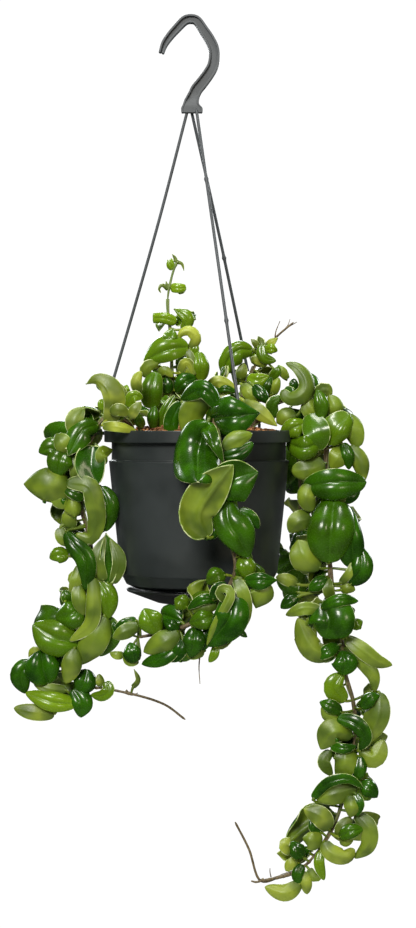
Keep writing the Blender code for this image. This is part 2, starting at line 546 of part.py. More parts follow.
class Layout:
    """Places every leaf clear of the pot, the soil, the rods, the other stems and other leaves."""

    ROWS = np.linspace(0.04, 1, 9)
    COLUMNS = np.linspace(-1, 1, 7)
    SHRINK = (1.0, 0.88, 0.76, 0.64)
    LIFTS = (0, 6, -6, 12, -12, 18, -18, 26, 36, 46)
    SWEEPS = (0, 14, -14)
    CLEAR_OF_POT = 2.0
    CLEAR_OF_SOIL = 2.2
    CLEAR_OF_ROD = 3.2
    CLEAR_OF_LUG = 2.5
    CLEAR_OF_STEM = 4.2
    CLEAR_OF_OWN_STEM = 3.2
    CLEAR_OF_LEAF = 4.0
    CLEAR_OF_SISTER = 2.9
    NEAR_STALK = 0.22
    OWN_STEM_SPAN = 3
    CROWDING = 7
    CLASH_COST = 100
    SHIFT_COST = 0.08
    SHRINK_COST = 12
    SWEEP_COST = 0.5
    STANDOFF = 1.2
    STALK_SHARE = 0.03
    TIGHTEST = 2.2
    ROOM = 0.65
    STALK_REACH = 4.0
    MIDDLE = 0.42
    LIFT_SHARE = 0.85
    SIDE_FADE = 0.6
    FIRST_EXTRA = BURIED + 10
    FORWARD_LEAN = 0.35
    FILL_SHRINK = (1.0, 0.85, 0.7)
    SEED = 7
    TRIES = 14

    def __init__(self, stems):
        self.stems = stems
        self.routes = {stem.name: stem_route(stem) for stem in stems}
        self.rods = [rod_route(rod) for rod in RODS]
        self.along = np.repeat(self.ROWS, len(self.COLUMNS))
        self.placed = []
        self.leaves = {stem.name: [] for stem in stems}
        rng = np.random.default_rng(self.SEED)
        for stem in stems:
            for spot in stem.spots:
                self.place_spot(stem, spot, rng.uniform(-1, 1, 6))
        for stem in stems:
            self.fill(stem, rng)

    def pot_outline(self, heights):
        """The largest radius that the pot, its lugs and its saucer reach at each height."""
        levels = [SAUCER_LOW - 2, SAUCER_LOW, SAUCER_TOP, POT_LOW, FOOT_TOP, STEP_LOW]
        levels += [SKIRT_LOW - 1, SKIRT_LOW, RIM_TOP + 0.5, RIM_TOP + 0.6]
        radii = [0, SAUCER_BASE + 2, SAUCER_RADIUS, SAUCER_RADIUS, FOOT_RADIUS + 1, BODY_RADIUS]
        radii += [BODY_RADIUS, RIM_RADIUS, RIM_RADIUS, 0]
        return np.interp(heights, levels, radii, left=0, right=0)

    def nearest(self, points, others):
        """The distance from each point to the nearest of the others."""
        gaps = ((points[:, None] - others[None]) ** 2).sum(2)
        return np.sqrt(gaps.min(1))

    def blocked(self, points):
        """How many points lie in or too near the pot, the soil, a lug or a rod."""
        radius = np.hypot(points[:, 0] - POT_X, points[:, 1])
        count = int((radius < self.pot_outline(points[:, 2]) + self.CLEAR_OF_POT).sum())
        share = np.minimum(radius / NECK_RADIUS, 1.1)
        soil = SOIL_CREST + (SOIL_EDGE - SOIL_CREST) * share ** MOUND_POWER
        over = (radius < RIM_RADIUS) & (points[:, 2] > FOOT_TOP)
        count += int((over & (points[:, 2] < soil + self.CLEAR_OF_SOIL)).sum())
        for rod, spec in zip(self.rods, RODS):
            count += int((self.nearest(points, rod) < self.CLEAR_OF_ROD).sum())
            turn = math.radians(spec.angle)
            reach = np.array([[RIM_RADIUS + 2], [LUG_REACH]]) * (math.cos(turn), math.sin(turn))
            lug = np.column_stack([reach + (POT_X, 0), [LUG_TOP - 1.5] * 2])
            count += int((self.nearest(points, lug) < LUG_HALF + self.CLEAR_OF_LUG).sum())
        return count

    def clashes(self, points, name, root):
        """Points that must not be where they are, and points that only crowd their own stem."""
        hard = self.blocked(points)
        soft = 0
        blade = points[self.along > self.NEAR_STALK]
        for other, route in self.routes.items():
            if other == name:
                away = np.abs(np.arange(len(route)) - root) > self.OWN_STEM_SPAN
                soft += int((self.nearest(blade, route[away]) < self.CLEAR_OF_OWN_STEM).sum())
            else:
                hard += int((self.nearest(points, route) < self.CLEAR_OF_STEM).sum())
        low = points.min(0) - self.CLEAR_OF_LEAF
        high = points.max(0) + self.CLEAR_OF_LEAF
        for other, others, other_low, other_high in self.placed:
            if (other_low > high).any() or (other_high < low).any():
                continue
            if other == name:
                soft += int((self.nearest(blade, others) < self.CLEAR_OF_SISTER).sum())
            else:
                hard += int((self.nearest(points, others) < self.CLEAR_OF_LEAF).sum())
        return hard, soft

    def leaf(self, stem, root, out, up, length, width, form):
        """A leaf on the stem, its blade standing off by a short stalk."""
        route = self.routes[stem.name]
        tangent = unit(route[min(root + 1, len(route) - 1)] - route[max(root - 1, 0)])
        share = root / (len(route) - 1)
        radius = stem.root_radius + (stem.tip_radius - stem.root_radius) * share
        aside = out - tangent * (out @ tangent)
        if np.linalg.norm(aside) < 0.2:
            aside = up - tangent * (up @ tangent)
        stand = self.STANDOFF + self.STALK_SHARE * length
        base = route[root] + unit(aside) * (radius + self.STANDOFF) + out * stand
        return Leaf(route[root], base, out, up, length, width, self.opened(form, length, width), radius)

    def opened(self, form, length, width):
        """The form with its curls eased, where a blade that closes on itself would cross itself."""
        room = self.ROOM * length / max(abs(form.bend), 0.4)
        curls = []
        for curl in (form.curl_left, form.curl_right):
            curl = min(max(curl, -self.TIGHTEST), self.TIGHTEST)
            depth = (1 - math.cos(curl)) / abs(curl) * width / 2
            shut = form.bend * curl < 0 and depth > room
            curls.append(curl * room / depth if shut else curl)
        return replace(form, curl_left=curls[0], curl_right=curls[1])

    def keep(self, stem, leaf, points):
        """Adds a leaf that fits."""
        self.placed.append((stem.name, points, points.min(0), points.max(0)))
        self.leaves[stem.name].append(leaf)

    def place_spot(self, stem, spot, chance):
        """Places a hand-set leaf, moved in depth, swept or shrunk by the least that clears it."""
        route = self.routes[stem.name]
        flat = self.front_view(route)
        root = int(np.argmin(np.hypot(flat[:, 0] - spot.root_x, flat[:, 1] - spot.root_z)))
        dark = np.zeros(3)
        for rank, letter in enumerate(spot.dark):
            dark += np.array(SIDE_LETTERS[letter]) * self.SIDE_FADE ** rank
        form = spot.form
        grown = Form(form.bend * (1 + 0.2 * chance[0]), form.curl_left * (1 + 0.2 * chance[1]),
                     form.curl_right * (1 + 0.2 * chance[2]), form.twist + 0.2 * chance[3], form.bulge,
                     form.ripple + 0.03 * chance[4], form.roll + 0.3 * chance[5])
        reach = self.STALK_REACH + self.MIDDLE * spot.length
        flat_gap = math.hypot(spot.blade_x - flat[root][0], spot.blade_z - flat[root][1])
        lift = spot.ahead * self.LIFT_SHARE * math.sqrt(max(reach ** 2 - flat_gap ** 2, 0))
        best = None
        for shrink in self.SHRINK:
            for step in self.LIFTS:
                for sweep in self.SWEEPS:
                    middle = self.in_depth(spot.blade_x, spot.blade_z, route[root][1] - lift - step)
                    out = turned(unit(middle - route[root]), np.array([0.0, 1.0, 0.0]), math.radians(sweep))
                    up = unit(dark - out * (dark @ out) + 1e-6)
                    up = turned(up, out, grown.roll)
                    leaf = self.leaf(stem, root, out, up, spot.length * shrink, spot.width * shrink, grown)
                    points = blade_points(leaf, self.ROWS, self.COLUMNS).reshape(-1, 3)
                    hard, soft = self.clashes(points, stem.name, root)
                    cost = hard * self.CLASH_COST + soft + abs(step) * self.SHIFT_COST
                    cost += (1 - shrink) * self.SHRINK_COST + (sweep != 0) * self.SWEEP_COST
                    if best is None or cost < best[0]:
                        best = (cost, leaf, points, hard, soft)
                    if hard + soft == 0:
                        break
                if best[3] + best[4] == 0:
                    break
            if best[3] == 0 and best[4] <= 1:
                break
        if best[3] == 0 and best[4] <= self.CROWDING:
            self.keep(stem, best[1], best[2])

    def front_view(self, points):
        """Where points show in the front view, at the depth of the pot's axis."""
        share = VIEW_DISTANCE / (VIEW_DISTANCE + points[:, 1])
        across = VIEW_X + (points[:, 0] - VIEW_X) * share
        return np.column_stack([across, VIEW_Z + (points[:, 2] - VIEW_Z) * share])

    def in_depth(self, x, z, y):
        """The point at depth y that shows at this place of the front view."""
        share = (VIEW_DISTANCE + y) / VIEW_DISTANCE
        return np.array([VIEW_X + (x - VIEW_X) * share, y, VIEW_Z + (z - VIEW_Z) * share])

    def fill(self, stem, rng):
        """Adds leaves to a stem's sides and back, at even places and in chance directions."""
        route = self.routes[stem.name]
        tangents, sides = carried_frames(route)
        first = int(self.FIRST_EXTRA / ROUTE_STEP)
        last = len(route) - int(stem.bare / ROUTE_STEP)
        got = 0
        for attempt in range(self.TRIES * stem.extra):
            chance = rng.uniform(0, 1, 9)
            if got == stem.extra:
                break
            root = first + int((last - first) * ((attempt * GOLDEN) % 1.0))
            tangent = tangents[root]
            out = turned(sides[root], tangent, 2 * math.pi * chance[0])
            out = unit(out + tangent * self.FORWARD_LEAN)
            if out[1] < -0.3 and stem.name != "shoot_back":
                out = out * (1, -1, 1)
            up = tangent if (tangent[2] > 0) != (chance[1] < 0.45) else -tangent
            up = unit(up - out * (up @ out))
            form = COMMON_FORMS[int(chance[2] * len(COMMON_FORMS))]
            form = replace(form, bend=form.bend * (0.85 + 0.3 * chance[5]),
                           curl_left=form.curl_left * (0.8 + 0.4 * chance[6]),
                           curl_right=form.curl_right * (0.8 + 0.4 * chance[7]))
            length = stem.extra_length * (0.85 + 0.3 * chance[3])
            width = length * (0.68 + 0.16 * chance[4])
            for shrink in self.FILL_SHRINK:
                leaf = self.leaf(stem, root, out, up, length * shrink, width * shrink, form)
                points = blade_points(leaf, self.ROWS, self.COLUMNS).reshape(-1, 3)
                hard, soft = self.clashes(points, stem.name, root)
                if hard == 0 and soft <= 1:
                    self.keep(stem, leaf, points)
                    got += 1
                    break


def clear_scene():
    """Removes every object of the scene."""
    for old in list(bpy.data.objects):
        bpy.data.objects.remove(old)


def material(name, colour, roughness, metallic=0.0):
    """A Principled material."""
    made = bpy.data.materials.new(name)
    made.use_nodes = True
    shader = made.node_tree.nodes["Principled BSDF"]
    shader.inputs["Base Color"].default_value = (*colour, 1.0)
    shader.inputs["Roughness"].default_value = roughness
    shader.inputs["Metallic"].default_value = metallic
    return made


def solid(name, points, faces, skin=None):
    """An object from points in millimetres, smooth but for its sharp edges."""
    mesh = bpy.data.meshes.new(name)
    mesh.from_pydata((np.array(points) * MM).tolist(), [], faces)
    mesh.shade_smooth()
    mesh.set_sharp_from_angle(angle=math.radians(SHARP_ANGLE))
    if skin:
        mesh.materials.append(skin)
    made = bpy.data.objects.new(name, mesh)
    bpy.context.collection.objects.link(made)
    return made


def turned_profile(profile, ring=True):
    """Points and faces of a profile of (radius, height) turned about the pot's axis.

    A ring's profile is a closed loop, counter-clockwise with the radius to the right. Otherwise
    its two ends are on the axis.
    """
    inner = profile if ring else profile[1:-1]
    turns = [2 * math.pi * index / SIDES for index in range(SIDES)]
    points = [(POT_X + r * math.cos(turn), r * math.sin(turn), z) for r, z in inner for turn in turns]
    pairs = list(range(len(inner) if ring else len(inner) - 1))
    faces = []
    for pair in pairs:
        low = pair * SIDES
        high = (pair + 1) % len(inner) * SIDES
        for index in range(SIDES):
            after = (index + 1) % SIDES
            faces.append((low + index, low + after, high + after, high + index))
    if not ring:
        points += [(POT_X, 0, profile[0][1]), (POT_X, 0, profile[-1][1])]
        last = (len(inner) - 1) * SIDES
        for index in range(SIDES):
            after = (index + 1) % SIDES
            faces.append((after, index, len(points) - 2))
            faces.append((last + index, last + after, len(points) - 1))
    return points, faces


def tube(route, radii, sides):
    """Points and faces of a round closed tube along a route."""
    tangents, carried = carried_frames(np.array(route, float))
    points = []
    for place, tangent, side, radius in zip(route, tangents, carried, radii):
        other = np.cross(tangent, side)
        for index in range(sides):
            turn = 2 * math.pi * index / sides
            points.append(place + (side * math.cos(turn) + other * math.sin(turn)) * radius)
    faces = [tuple(reversed(range(sides))), tuple(range(len(points) - sides, len(points)))]
    for low in range(0, len(points) - sides, sides):
        for index in range(sides):
            after = (index + 1) % sides
            faces.append((low + index, low + after, low + sides + after, low + sides + index))
    return points, faces


def prism(outline_points, low, high):
    """Points and faces of a counter-clockwise outline raised from one height to the other."""
    count = len(outline_points)
    points = [(x, y, low) for x, y in outline_points] + [(x, y, high) for x, y in outline_points]
    faces = [tuple(reversed(range(count))), tuple(range(count, 2 * count))]
    for index in range(count):
        after = (index + 1) % count
        faces.append((index, after, count + after, count + index))
    return points, faces


def joined(parts):
    """Several lots of points and faces as one."""
    points = []
    faces = []
    for part_points, part_faces in parts:
        start = len(points)
        points.extend(tuple(point) for point in part_points)
        faces.extend(tuple(start + index for index in face) for face in part_faces)
    return points, faces


def boolean(target, tool, operation):
    """Joins or cuts a target with a tool, which stays in the scene as a guide."""
    tool.hide_render = True
    tool.display_type = "WIRE"
    modifier = target.modifiers.new(tool.name, "BOOLEAN")
    modifier.operation = operation
    modifier.object = tool


def drill(start, end, radius, sides):
    """A straight round cutter between two places."""
    return tube([np.array(start, float), np.array(end, float)], (radius, radius), sides)


def about_pot(x, y, turn):
    """A place in the pot's plan, turned about the pot's axis."""
    return POT_X + x * math.cos(turn) - y * math.sin(turn), x * math.sin(turn) + y * math.cos(turn)


def make_pot():
    """The pot: rim skirt, neck, tapered body, rounded foot, drain holes and three lugs."""
    wall = POT_WALL
    lip = RIM_TOP - RIM_LIP
    outside = [(POST_HOLE, POT_LOW), (FLOOR_RADIUS, POT_LOW), (HEEL_RADIUS, POT_LOW + HEEL_HEIGHT)]
    outside += [(FOOT_RADIUS, FOOT_TOP), (FOOT_RADIUS + FOOT_LEDGE, FOOT_TOP + 0.4)]
    outside += [(BODY_RADIUS, STEP_LOW), (NECK_RADIUS, STEP_LOW + STEP_SLOPE)]
    skirt = [(NECK_RADIUS, lip), (RIM_RADIUS - wall, lip), (RIM_RADIUS - wall, SKIRT_LOW)]
    skirt += [(RIM_RADIUS, SKIRT_LOW), (RIM_RADIUS, RIM_TOP - RIM_ROUND), (RIM_RADIUS - RIM_ROUND, RIM_TOP)]
    inside = [(NECK_RADIUS - wall + 0.2, RIM_TOP), (NECK_RADIUS - wall, STEP_LOW + 0.2)]
    inside += [(BODY_RADIUS - wall, STEP_LOW - 1.2), (FOOT_RADIUS - wall + 0.5, FOOT_TOP)]
    inside += [(HEEL_INSIDE, POT_LOW + HEEL_INSIDE_HEIGHT), (FLOOR_INSIDE, POT_LOW + wall)]
    inside += [(POST_HOLE, POT_LOW + wall)]
    skin = material("charcoal", (0.032, 0.036, 0.04), 0.42)
    pot = solid("pot", *turned_profile(outside + skirt + inside), skin)
    tabs = []
    holes = []
    for angle in LUG_ANGLES:
        turn = math.radians(angle)
        tip = [math.radians(step) for step in range(-90, 91, 45)]
        flat = [(RIM_RADIUS - LUG_SUNK, -LUG_HALF)]
        flat += [(LUG_REACH + LUG_HALF * math.cos(a), LUG_HALF * math.sin(a)) for a in tip]
        flat += [(RIM_RADIUS - LUG_SUNK, LUG_HALF)]
        tabs.append(prism([about_pot(x, y, turn) for x, y in flat], LUG_TOP - LUG_THICK, LUG_TOP))
        x, y = about_pot(LUG_REACH, 0, turn)
        low = LUG_TOP - LUG_THICK - CUT_PAST
        holes.append(drill((x, y, low), (x, y, LUG_TOP + CUT_PAST), LUG_HOLE, HOLE_SIDES))
    for index in range(DRAINS):
        x, y = about_pot(DRAIN_CIRCLE, 0, 2 * math.pi * index / DRAINS)
        high = POT_LOW + POT_WALL + CUT_PAST
        holes.append(drill((x, y, POT_LOW - CUT_PAST), (x, y, high), DRAIN_HOLE, HOLE_SIDES))
    boolean(pot, solid("lug_tabs", *joined(tabs)), "UNION")
    boolean(pot, solid("pot_holes", *joined(holes)), "DIFFERENCE")


def make_saucer():
    """The saucer: a shallow cone with a centre post that snaps through the pot's floor."""
    floor = SAUCER_LOW + SAUCER_WALL
    profile = [(0, SAUCER_LOW), (SAUCER_BASE, SAUCER_LOW)]
    profile += [(SAUCER_RADIUS - 0.4, SAUCER_TOP - SAUCER_BEAD), (SAUCER_RADIUS, SAUCER_TOP)]
    profile += [(SAUCER_RADIUS - SAUCER_LIP, SAUCER_TOP), (SAUCER_BASE + 0.5, floor), (POST_FOOT, floor)]
    profile += [(POST_RADIUS, POT_LOW - GAP), (SNAP_NECK, POT_LOW - GAP)]
    ledge = POT_LOW + POT_WALL + GAP
    profile += [(SNAP_NECK, ledge), (SNAP_HEAD, ledge)]
    profile += [(SNAP_TIP, ledge + SNAP_HEIGHT), (0, ledge + SNAP_HEIGHT)]
    skin = material("saucer_black", (0.02, 0.022, 0.024), 0.4)
    solid("saucer", *turned_profile(profile, ring=False), skin)


def make_soil(stems):
    """The soil: it fills the pot to a low mound, with a hole for each stem and one for the post."""
    pocket = POT_LOW + POCKET_HEIGHT
    floor = POT_LOW + POT_WALL + GAP
    neck = NECK_RADIUS - POT_WALL - GAP
    profile = [(0, pocket), (POCKET_RADIUS, pocket), (POCKET_RADIUS, floor), (FLOOR_INSIDE - 0.2, floor)]
    profile += [(HEEL_INSIDE - GAP, POT_LOW + HEEL_INSIDE_HEIGHT + GAP)]
    profile += [(FOOT_RADIUS - POT_WALL + 0.2, FOOT_TOP)]
    profile += [(BODY_RADIUS - POT_WALL - GAP, STEP_LOW - 1.4), (neck, STEP_LOW - 0.1)]
    profile += [(share * NECK_RADIUS, soil_height(POT_X + share * NECK_RADIUS, 0)) for share in MOUND_RINGS]
    profile += [(0, SOIL_CREST)]
    skin = material("bark_mix", (0.2, 0.085, 0.03), 0.95)
    soil = solid("soil", *turned_profile(profile, ring=False), skin)
    holes = []
    for stem in stems:
        x, y = stem.route[0]
        radius = stem.root_radius + HOLE_CLEARANCE
        low = soil_height(x, y) - BURIED - 1
        holes.append(drill((x, y, low), (x, y, SOIL_CREST + CUT_PAST), radius, STEM_HOLE_SIDES))
    boolean(soil, solid("stem_holes", *joined(holes)), "DIFFERENCE")


def make_hook():
    """The hook: a curved beam of I section on a flared block, with three sockets for the rods."""
    route = smooth_route([(x, 0, z) for x, z in HOOK_LINE])[::4]
    route[-1] = (HOOK_LINE[-1][0], 0, HOOK_LINE[-1][1])
    tangents = np.gradient(route, axis=0)
    tangents = tangents / np.linalg.norm(tangents, axis=1)[:, None]
    widths = np.interp(np.linspace(0, 1, len(route)), *zip(*HOOK_WIDTHS))
    points = []
    for place, tangent, width in zip(route, tangents, widths):
        across = np.cross((0, 1, 0), tangent)
        half = width / 2
        deep = HOOK_DEPTH / 2
        web = WEB / 2
        quarter = [(half, deep), (half - FLANGE, deep), (half - FLANGE, web)]
        section = quarter + [(-u, v) for u, v in reversed(quarter)]
        section += [(-u, -v) for u, v in section[:3]] + [(u, -v) for u, v in reversed(section[:3])]
        points += [place + across * u + np.array([0, v, 0]) for u, v in section]
    count = len(section)
    faces = [tuple(range(count)), tuple(reversed(range(len(points) - count, len(points))))]
    for low in range(0, len(points) - count, count):
        for index in range(count):
            after = (index + 1) % count
            faces.append((low + index, low + count + index, low + count + after, low + after))
    hook = solid("hook", points, faces, material("hook_grey", (0.11, 0.115, 0.12), 0.4))
    block_points, block_faces = prism(HOOK_BLOCK, -HOOK_BLOCK_HALF, HOOK_BLOCK_HALF)
    block = solid("hook_block", [(x, y, z) for x, z, y in block_points], block_faces)
    boolean(hook, block, "UNION")
    sockets = []
    for rod in RODS:
        route = rod_route(rod)
        top = route[0]
        away = unit(route[3] - top)
        open_end = top + away * (SOCKET_DEPTH + CUT_PAST)
        sockets.append(drill(top - away * GAP, open_end, ROD_RADIUS + GAP, ROD_SIDES))
    boolean(hook, solid("rod_sockets", *joined(sockets)), "DIFFERENCE")


def make_rods():
    """The three rods, each with a knob under its lug."""
    skin = material("rod_grey", (0.13, 0.135, 0.14), 0.35, 0.1)
    for rod in RODS:
        fine = rod_route(rod)
        bend = int(np.argmax(fine[:, 2] < RIM_TOP + 16))
        lug = int(np.argmax(fine[:, 2] < RIM_TOP + 2))
        places = list(fine[list(range(0, bend - 8, 24)) + list(range(bend - 3, lug - 1, 3))])
        radii = [ROD_RADIUS] * len(places)
        foot = np.array(rod_ends(rod.angle)[-1])
        for height, radius in ROD_KNOB:
            places.append(foot + (0, 0, height))
            radii.append(radius)
        solid(rod.name, *tube(places, radii, ROD_SIDES), skin)


def leaf_solid(leaf):
    """Points and triangles of one leaf: a thin blade with a real margin, and its stalk."""
    rows, columns = next(grid for longest, *grid in LEAF_GRIDS if leaf.length <= longest)
    along = np.array(rows)
    top, bottom = both_faces(leaf, along, np.linspace(-1, 1, columns), BLADE_THICK)
    base_top, base_bottom = both_faces(leaf, np.array([0.0]), np.array([-1.0, 1.0]), STALK_THICK)
    tip = blade_points(leaf, np.array([1.0]), np.array([0.0]))[0, 0]
    tip_up = unit(top[-1, columns // 2] - bottom[-1, columns // 2]) * BLADE_THICK / 2
    anchor = leaf.root - unit(leaf.base - leaf.root) * 0.5 * leaf.stem_radius
    points = [anchor] + list(base_top[0]) + list(base_bottom[0])
    points += list(top.reshape(-1, 3)) + list(bottom.reshape(-1, 3)) + [tip + tip_up, tip - tip_up]
    upper = [[1, 2]]
    lower = [[3, 4]]
    for index in range(len(along)):
        start = 5 + index * columns
        upper.append(list(range(start, start + columns)))
        lower.append([place + len(along) * columns for place in upper[-1]])
    upper.append([len(points) - 2])
    lower.append([len(points) - 1])
    faces = [(0, 1, 2), (0, 4, 3), (0, 3, 1), (0, 2, 4)]
    for near, far, near_low, far_low in zip(upper, upper[1:], lower, lower[1:]):
        for a, b, c in strip(len(near), len(far)):
            faces.append(tuple((near + far)[place] for place in (a, b, c)))
            faces.append(tuple((near_low + far_low)[place] for place in (a, c, b)))
        faces += [(near[0], near_low[0], far_low[0]), (near[0], far_low[0], far[0])]
        faces += [(near[-1], far_low[-1], near_low[-1]), (near[-1], far[-1], far_low[-1])]
    return points, faces


def crosses_itself(points, faces):
    """Whether two triangles that share no corner meet."""
    tree = BVHTree.FromPolygons([Vector(point) for point in points], faces)
    return any(not set(faces[a]) & set(faces[b]) for a, b in tree.overlap(tree))


def eased_leaf_solid(leaf):
    """The leaf's solid, its bends eased by the least that keeps its few flat facets apart."""
    points, faces = leaf_solid(leaf)
    while crosses_itself(points, faces):
        form = leaf.form
        softer = Form(*(amount * BLADE_EASE for amount in astuple(form)))
        leaf = replace(leaf, form=softer)
        points, faces = leaf_solid(leaf)
    return points, faces


def strip(near, far):
    """Triangles between a near row and a far row of points, numbered one after the other."""
    triangles = []
    if near == far:
        for place in range(near - 1):
            triangles.append((place, near + place, near + place + 1))
            triangles.append((place, near + place + 1, place + 1))
        return triangles
    if far == 1:
        return [(place, near, place + 1) for place in range(near - 1)]
    middle = far // 2
    triangles = [(0, near + place, near + place + 1) for place in range(middle)]
    triangles.append((0, near + middle, 1))
    return triangles + [(1, near + place, near + place + 1) for place in range(middle, far - 1)]


def both_faces(leaf, along, across, thick):
    """The blade's upper and lower points, half its thickness to each side of the middle surface."""
    tiny = 0.01
    points = blade_points(leaf, along, across)
    ahead = blade_points(leaf, along + tiny, across) - points
    aside = blade_points(leaf, along, across + tiny) - blade_points(leaf, along, across - tiny)
    normal = np.cross(ahead, aside)
    normal = normal / np.linalg.norm(normal, axis=2)[..., None] * thick / 2
    return points + normal, points - normal


def few_stations(route, drift, longest):
    """Numbers of the route's points that carry it within a drift, no further apart than longest."""
    kept = [0]
    while kept[-1] < len(route) - 1:
        start = kept[-1]
        end = start + 1
        while end < len(route) - 1 and (end + 1 - start) * ROUTE_STEP <= longest:
            way = unit(route[end + 1] - route[start])
            between = route[start:end + 1] - route[start]
            if np.linalg.norm(between - np.outer(between @ way, way), axis=1).max() > drift:
                break
            end += 1
        kept.append(end)
    return kept


def make_stem(stem, route, leaves, skin):
    """One node: a stem with all its leaves, joined by one Boolean union."""
    keep = few_stations(route, STEM_DRIFT, STEM_STRIDE)
    radii = np.interp(keep, (0, len(route) - 1), (stem.root_radius, stem.tip_radius))
    made = solid(stem.name, *tube(route[keep], radii, STEM_SIDES), skin)
    group = bpy.data.collections.new(stem.name + "_leaves")
    bpy.context.scene.collection.children.link(group)
    for index, leaf in enumerate(leaves):
        piece = solid(f"{stem.name}_leaf_{index}", *eased_leaf_solid(leaf))
        bpy.context.collection.objects.unlink(piece)
        group.objects.link(piece)
    modifier = made.modifiers.new("leaves", "BOOLEAN")
    modifier.operation = "UNION"
    modifier.operand_type = "COLLECTION"
    modifier.collection = group
    graph = bpy.context.evaluated_depsgraph_get()
    mesh = bpy.data.meshes.new_from_object(made.evaluated_get(graph))
    mesh.name = stem.name
    made.modifiers.clear()
    made.data = mesh
    for piece in list(group.objects):
        bpy.data.objects.remove(piece)
    bpy.data.collections.remove(group)


def main():
    """Builds every piece in the shared frame."""
    clear_scene()
    layout = Layout(STEMS)
    make_pot()
    make_saucer()
    make_soil(STEMS)
    make_hook()
    make_rods()
    for stem in STEMS:
        skin = material(stem.name + "_green", (0.06, 0.17, 0.025), 0.35)
        make_stem(stem, layout.routes[stem.name], layout.leaves[stem.name], skin)


main()
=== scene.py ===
"""A rope plant trailing from a hanging pot, dressed for its portrait.

Lengths are in millimetres and become metres where a mesh is made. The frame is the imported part's:
the origin is the hook's inner crest, +Z is up and the front is -Y. Stems and leaves repeat the
part's own layout, so each fine leaf lies where its solid does, and small ones are added between.
"""
import logging
import math
from dataclasses import dataclass, replace
from enum import Enum
from functools import partial
from typing import Sequence

import bpy
import numpy as np
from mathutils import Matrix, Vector


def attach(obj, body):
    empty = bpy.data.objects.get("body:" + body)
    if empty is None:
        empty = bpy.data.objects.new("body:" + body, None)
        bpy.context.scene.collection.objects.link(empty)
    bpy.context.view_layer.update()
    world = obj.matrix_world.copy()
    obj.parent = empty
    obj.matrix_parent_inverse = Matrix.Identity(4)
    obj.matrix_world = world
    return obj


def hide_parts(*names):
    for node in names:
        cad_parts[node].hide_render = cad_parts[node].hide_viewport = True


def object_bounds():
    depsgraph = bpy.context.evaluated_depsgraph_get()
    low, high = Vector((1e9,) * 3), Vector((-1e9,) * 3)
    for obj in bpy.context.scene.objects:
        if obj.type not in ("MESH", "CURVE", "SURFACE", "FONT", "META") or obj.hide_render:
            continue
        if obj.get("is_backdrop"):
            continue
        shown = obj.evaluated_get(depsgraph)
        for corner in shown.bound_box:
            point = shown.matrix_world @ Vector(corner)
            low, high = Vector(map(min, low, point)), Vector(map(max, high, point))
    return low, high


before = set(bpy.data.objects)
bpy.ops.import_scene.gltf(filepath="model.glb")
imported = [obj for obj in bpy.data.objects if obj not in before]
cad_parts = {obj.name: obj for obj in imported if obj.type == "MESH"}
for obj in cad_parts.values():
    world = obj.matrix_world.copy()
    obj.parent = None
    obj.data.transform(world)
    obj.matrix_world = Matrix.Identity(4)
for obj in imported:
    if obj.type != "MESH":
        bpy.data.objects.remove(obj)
CAD_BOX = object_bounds()

log = logging.getLogger("rope_plant")
Array = np.ndarray
Colour = tuple[float, float, float]
Pair = tuple[float, float]
Material = bpy.types.Material
Socket = bpy.types.NodeSocket

MM = 0.001
IMAGE_HEIGHT = 928
VIEW_DISTANCE = 1620.0
VIEW_X = 14.7
VIEW_Z = -311.0
FOCAL_PIXELS = 2040.0
HORIZON_PIXEL = 415.0
AXIS_PIXEL = 208.0
SENSOR = 36.0
CAMERA = np.array((VIEW_X, -VIEW_DISTANCE, VIEW_Z))

POT_X = 7.4
RIM_TOP = -323.0
RIM_RADIUS = 75.0
RIM_LIP = 1.8
SKIRT_LOW = RIM_TOP - 9.4
STEP_LOW = RIM_TOP - 24.0
NECK_RADIUS = 69.2
BODY_RADIUS = 71.4
FOOT_RADIUS = 61.6
FOOT_TOP = RIM_TOP - 113.5
POT_LOW = RIM_TOP - 124.6
POT_WALL = 1.6
LUG_REACH = 80.5
LUG_HALF = 6.0
LUG_TOP = RIM_TOP - 1.0
SAUCER_RADIUS = 57.4
SAUCER_TOP = POT_LOW - 0.8
SAUCER_LOW = POT_LOW - 11.6
SAUCER_BASE = 33.5
SOIL_EDGE = RIM_TOP - 2.2
SOIL_CREST = RIM_TOP + 4.4
MOUND_POWER = 1.5
BURIED = 15.0
HOOK_BASE = -71.1
SOCKET_DEPTH = 4.5
STALK_HALF = 1.5
MIDRIB_STEPS = 64
OUTLINE_SKEW = 0.9
OUTLINE_ROUND = 0.62
OUTLINE_POINT = 0.45
ROUND_TIP = 0.15
BEND_GROWTH = 1.15
RIPPLES = 1.6
RIPPLE_SLANT = 0.25
CURVE_STEPS = 16
ROUTE_STEP = 2.0
DRAWN_STEP = 0.8
DRAWN_SEED = 5
VINE_SEED = 100
WOODY_ENDS = ("vine_left", "vine_right", "vine_front", "shoot_twig")
BARE_ENDS = WOODY_ENDS + ("shoot_upright",)
GOLDEN = 0.618
CHANCES = 9
TINY = 1e-6
CURVE_END = 0.45
HOLD = 1.3
HOLD_END = 0.48
FIRST_SIDE = (0.3, -1.0, 0.2)
CREASE = math.radians(50.0)
WHITE = (1.0, 1.0, 1.0, 1.0)


class Side(Enum):
    """Where a blade's dark face looks: front, back, up, down, left or right."""

    F = (0.0, -1.0, 0.0)
    B = (0.0, 1.0, 0.0)
    U = (0.0, 0.0, 1.0)
    D = (0.0, 0.0, -1.0)
    L = (-1.0, 0.0, 0.0)
    R = (1.0, 0.0, 0.0)


class Skin(Enum):
    """The faces of a leaf's mesh, by the number of their material."""

    TOP = 0
    UNDER = 1
    MARGIN = 2


class Grade(Enum):
    """How finely a blade is drawn: rows along it and columns across it."""

    LARGE = (24, 17)
    MIDDLE = (17, 13)
    SMALL = (11, 9)


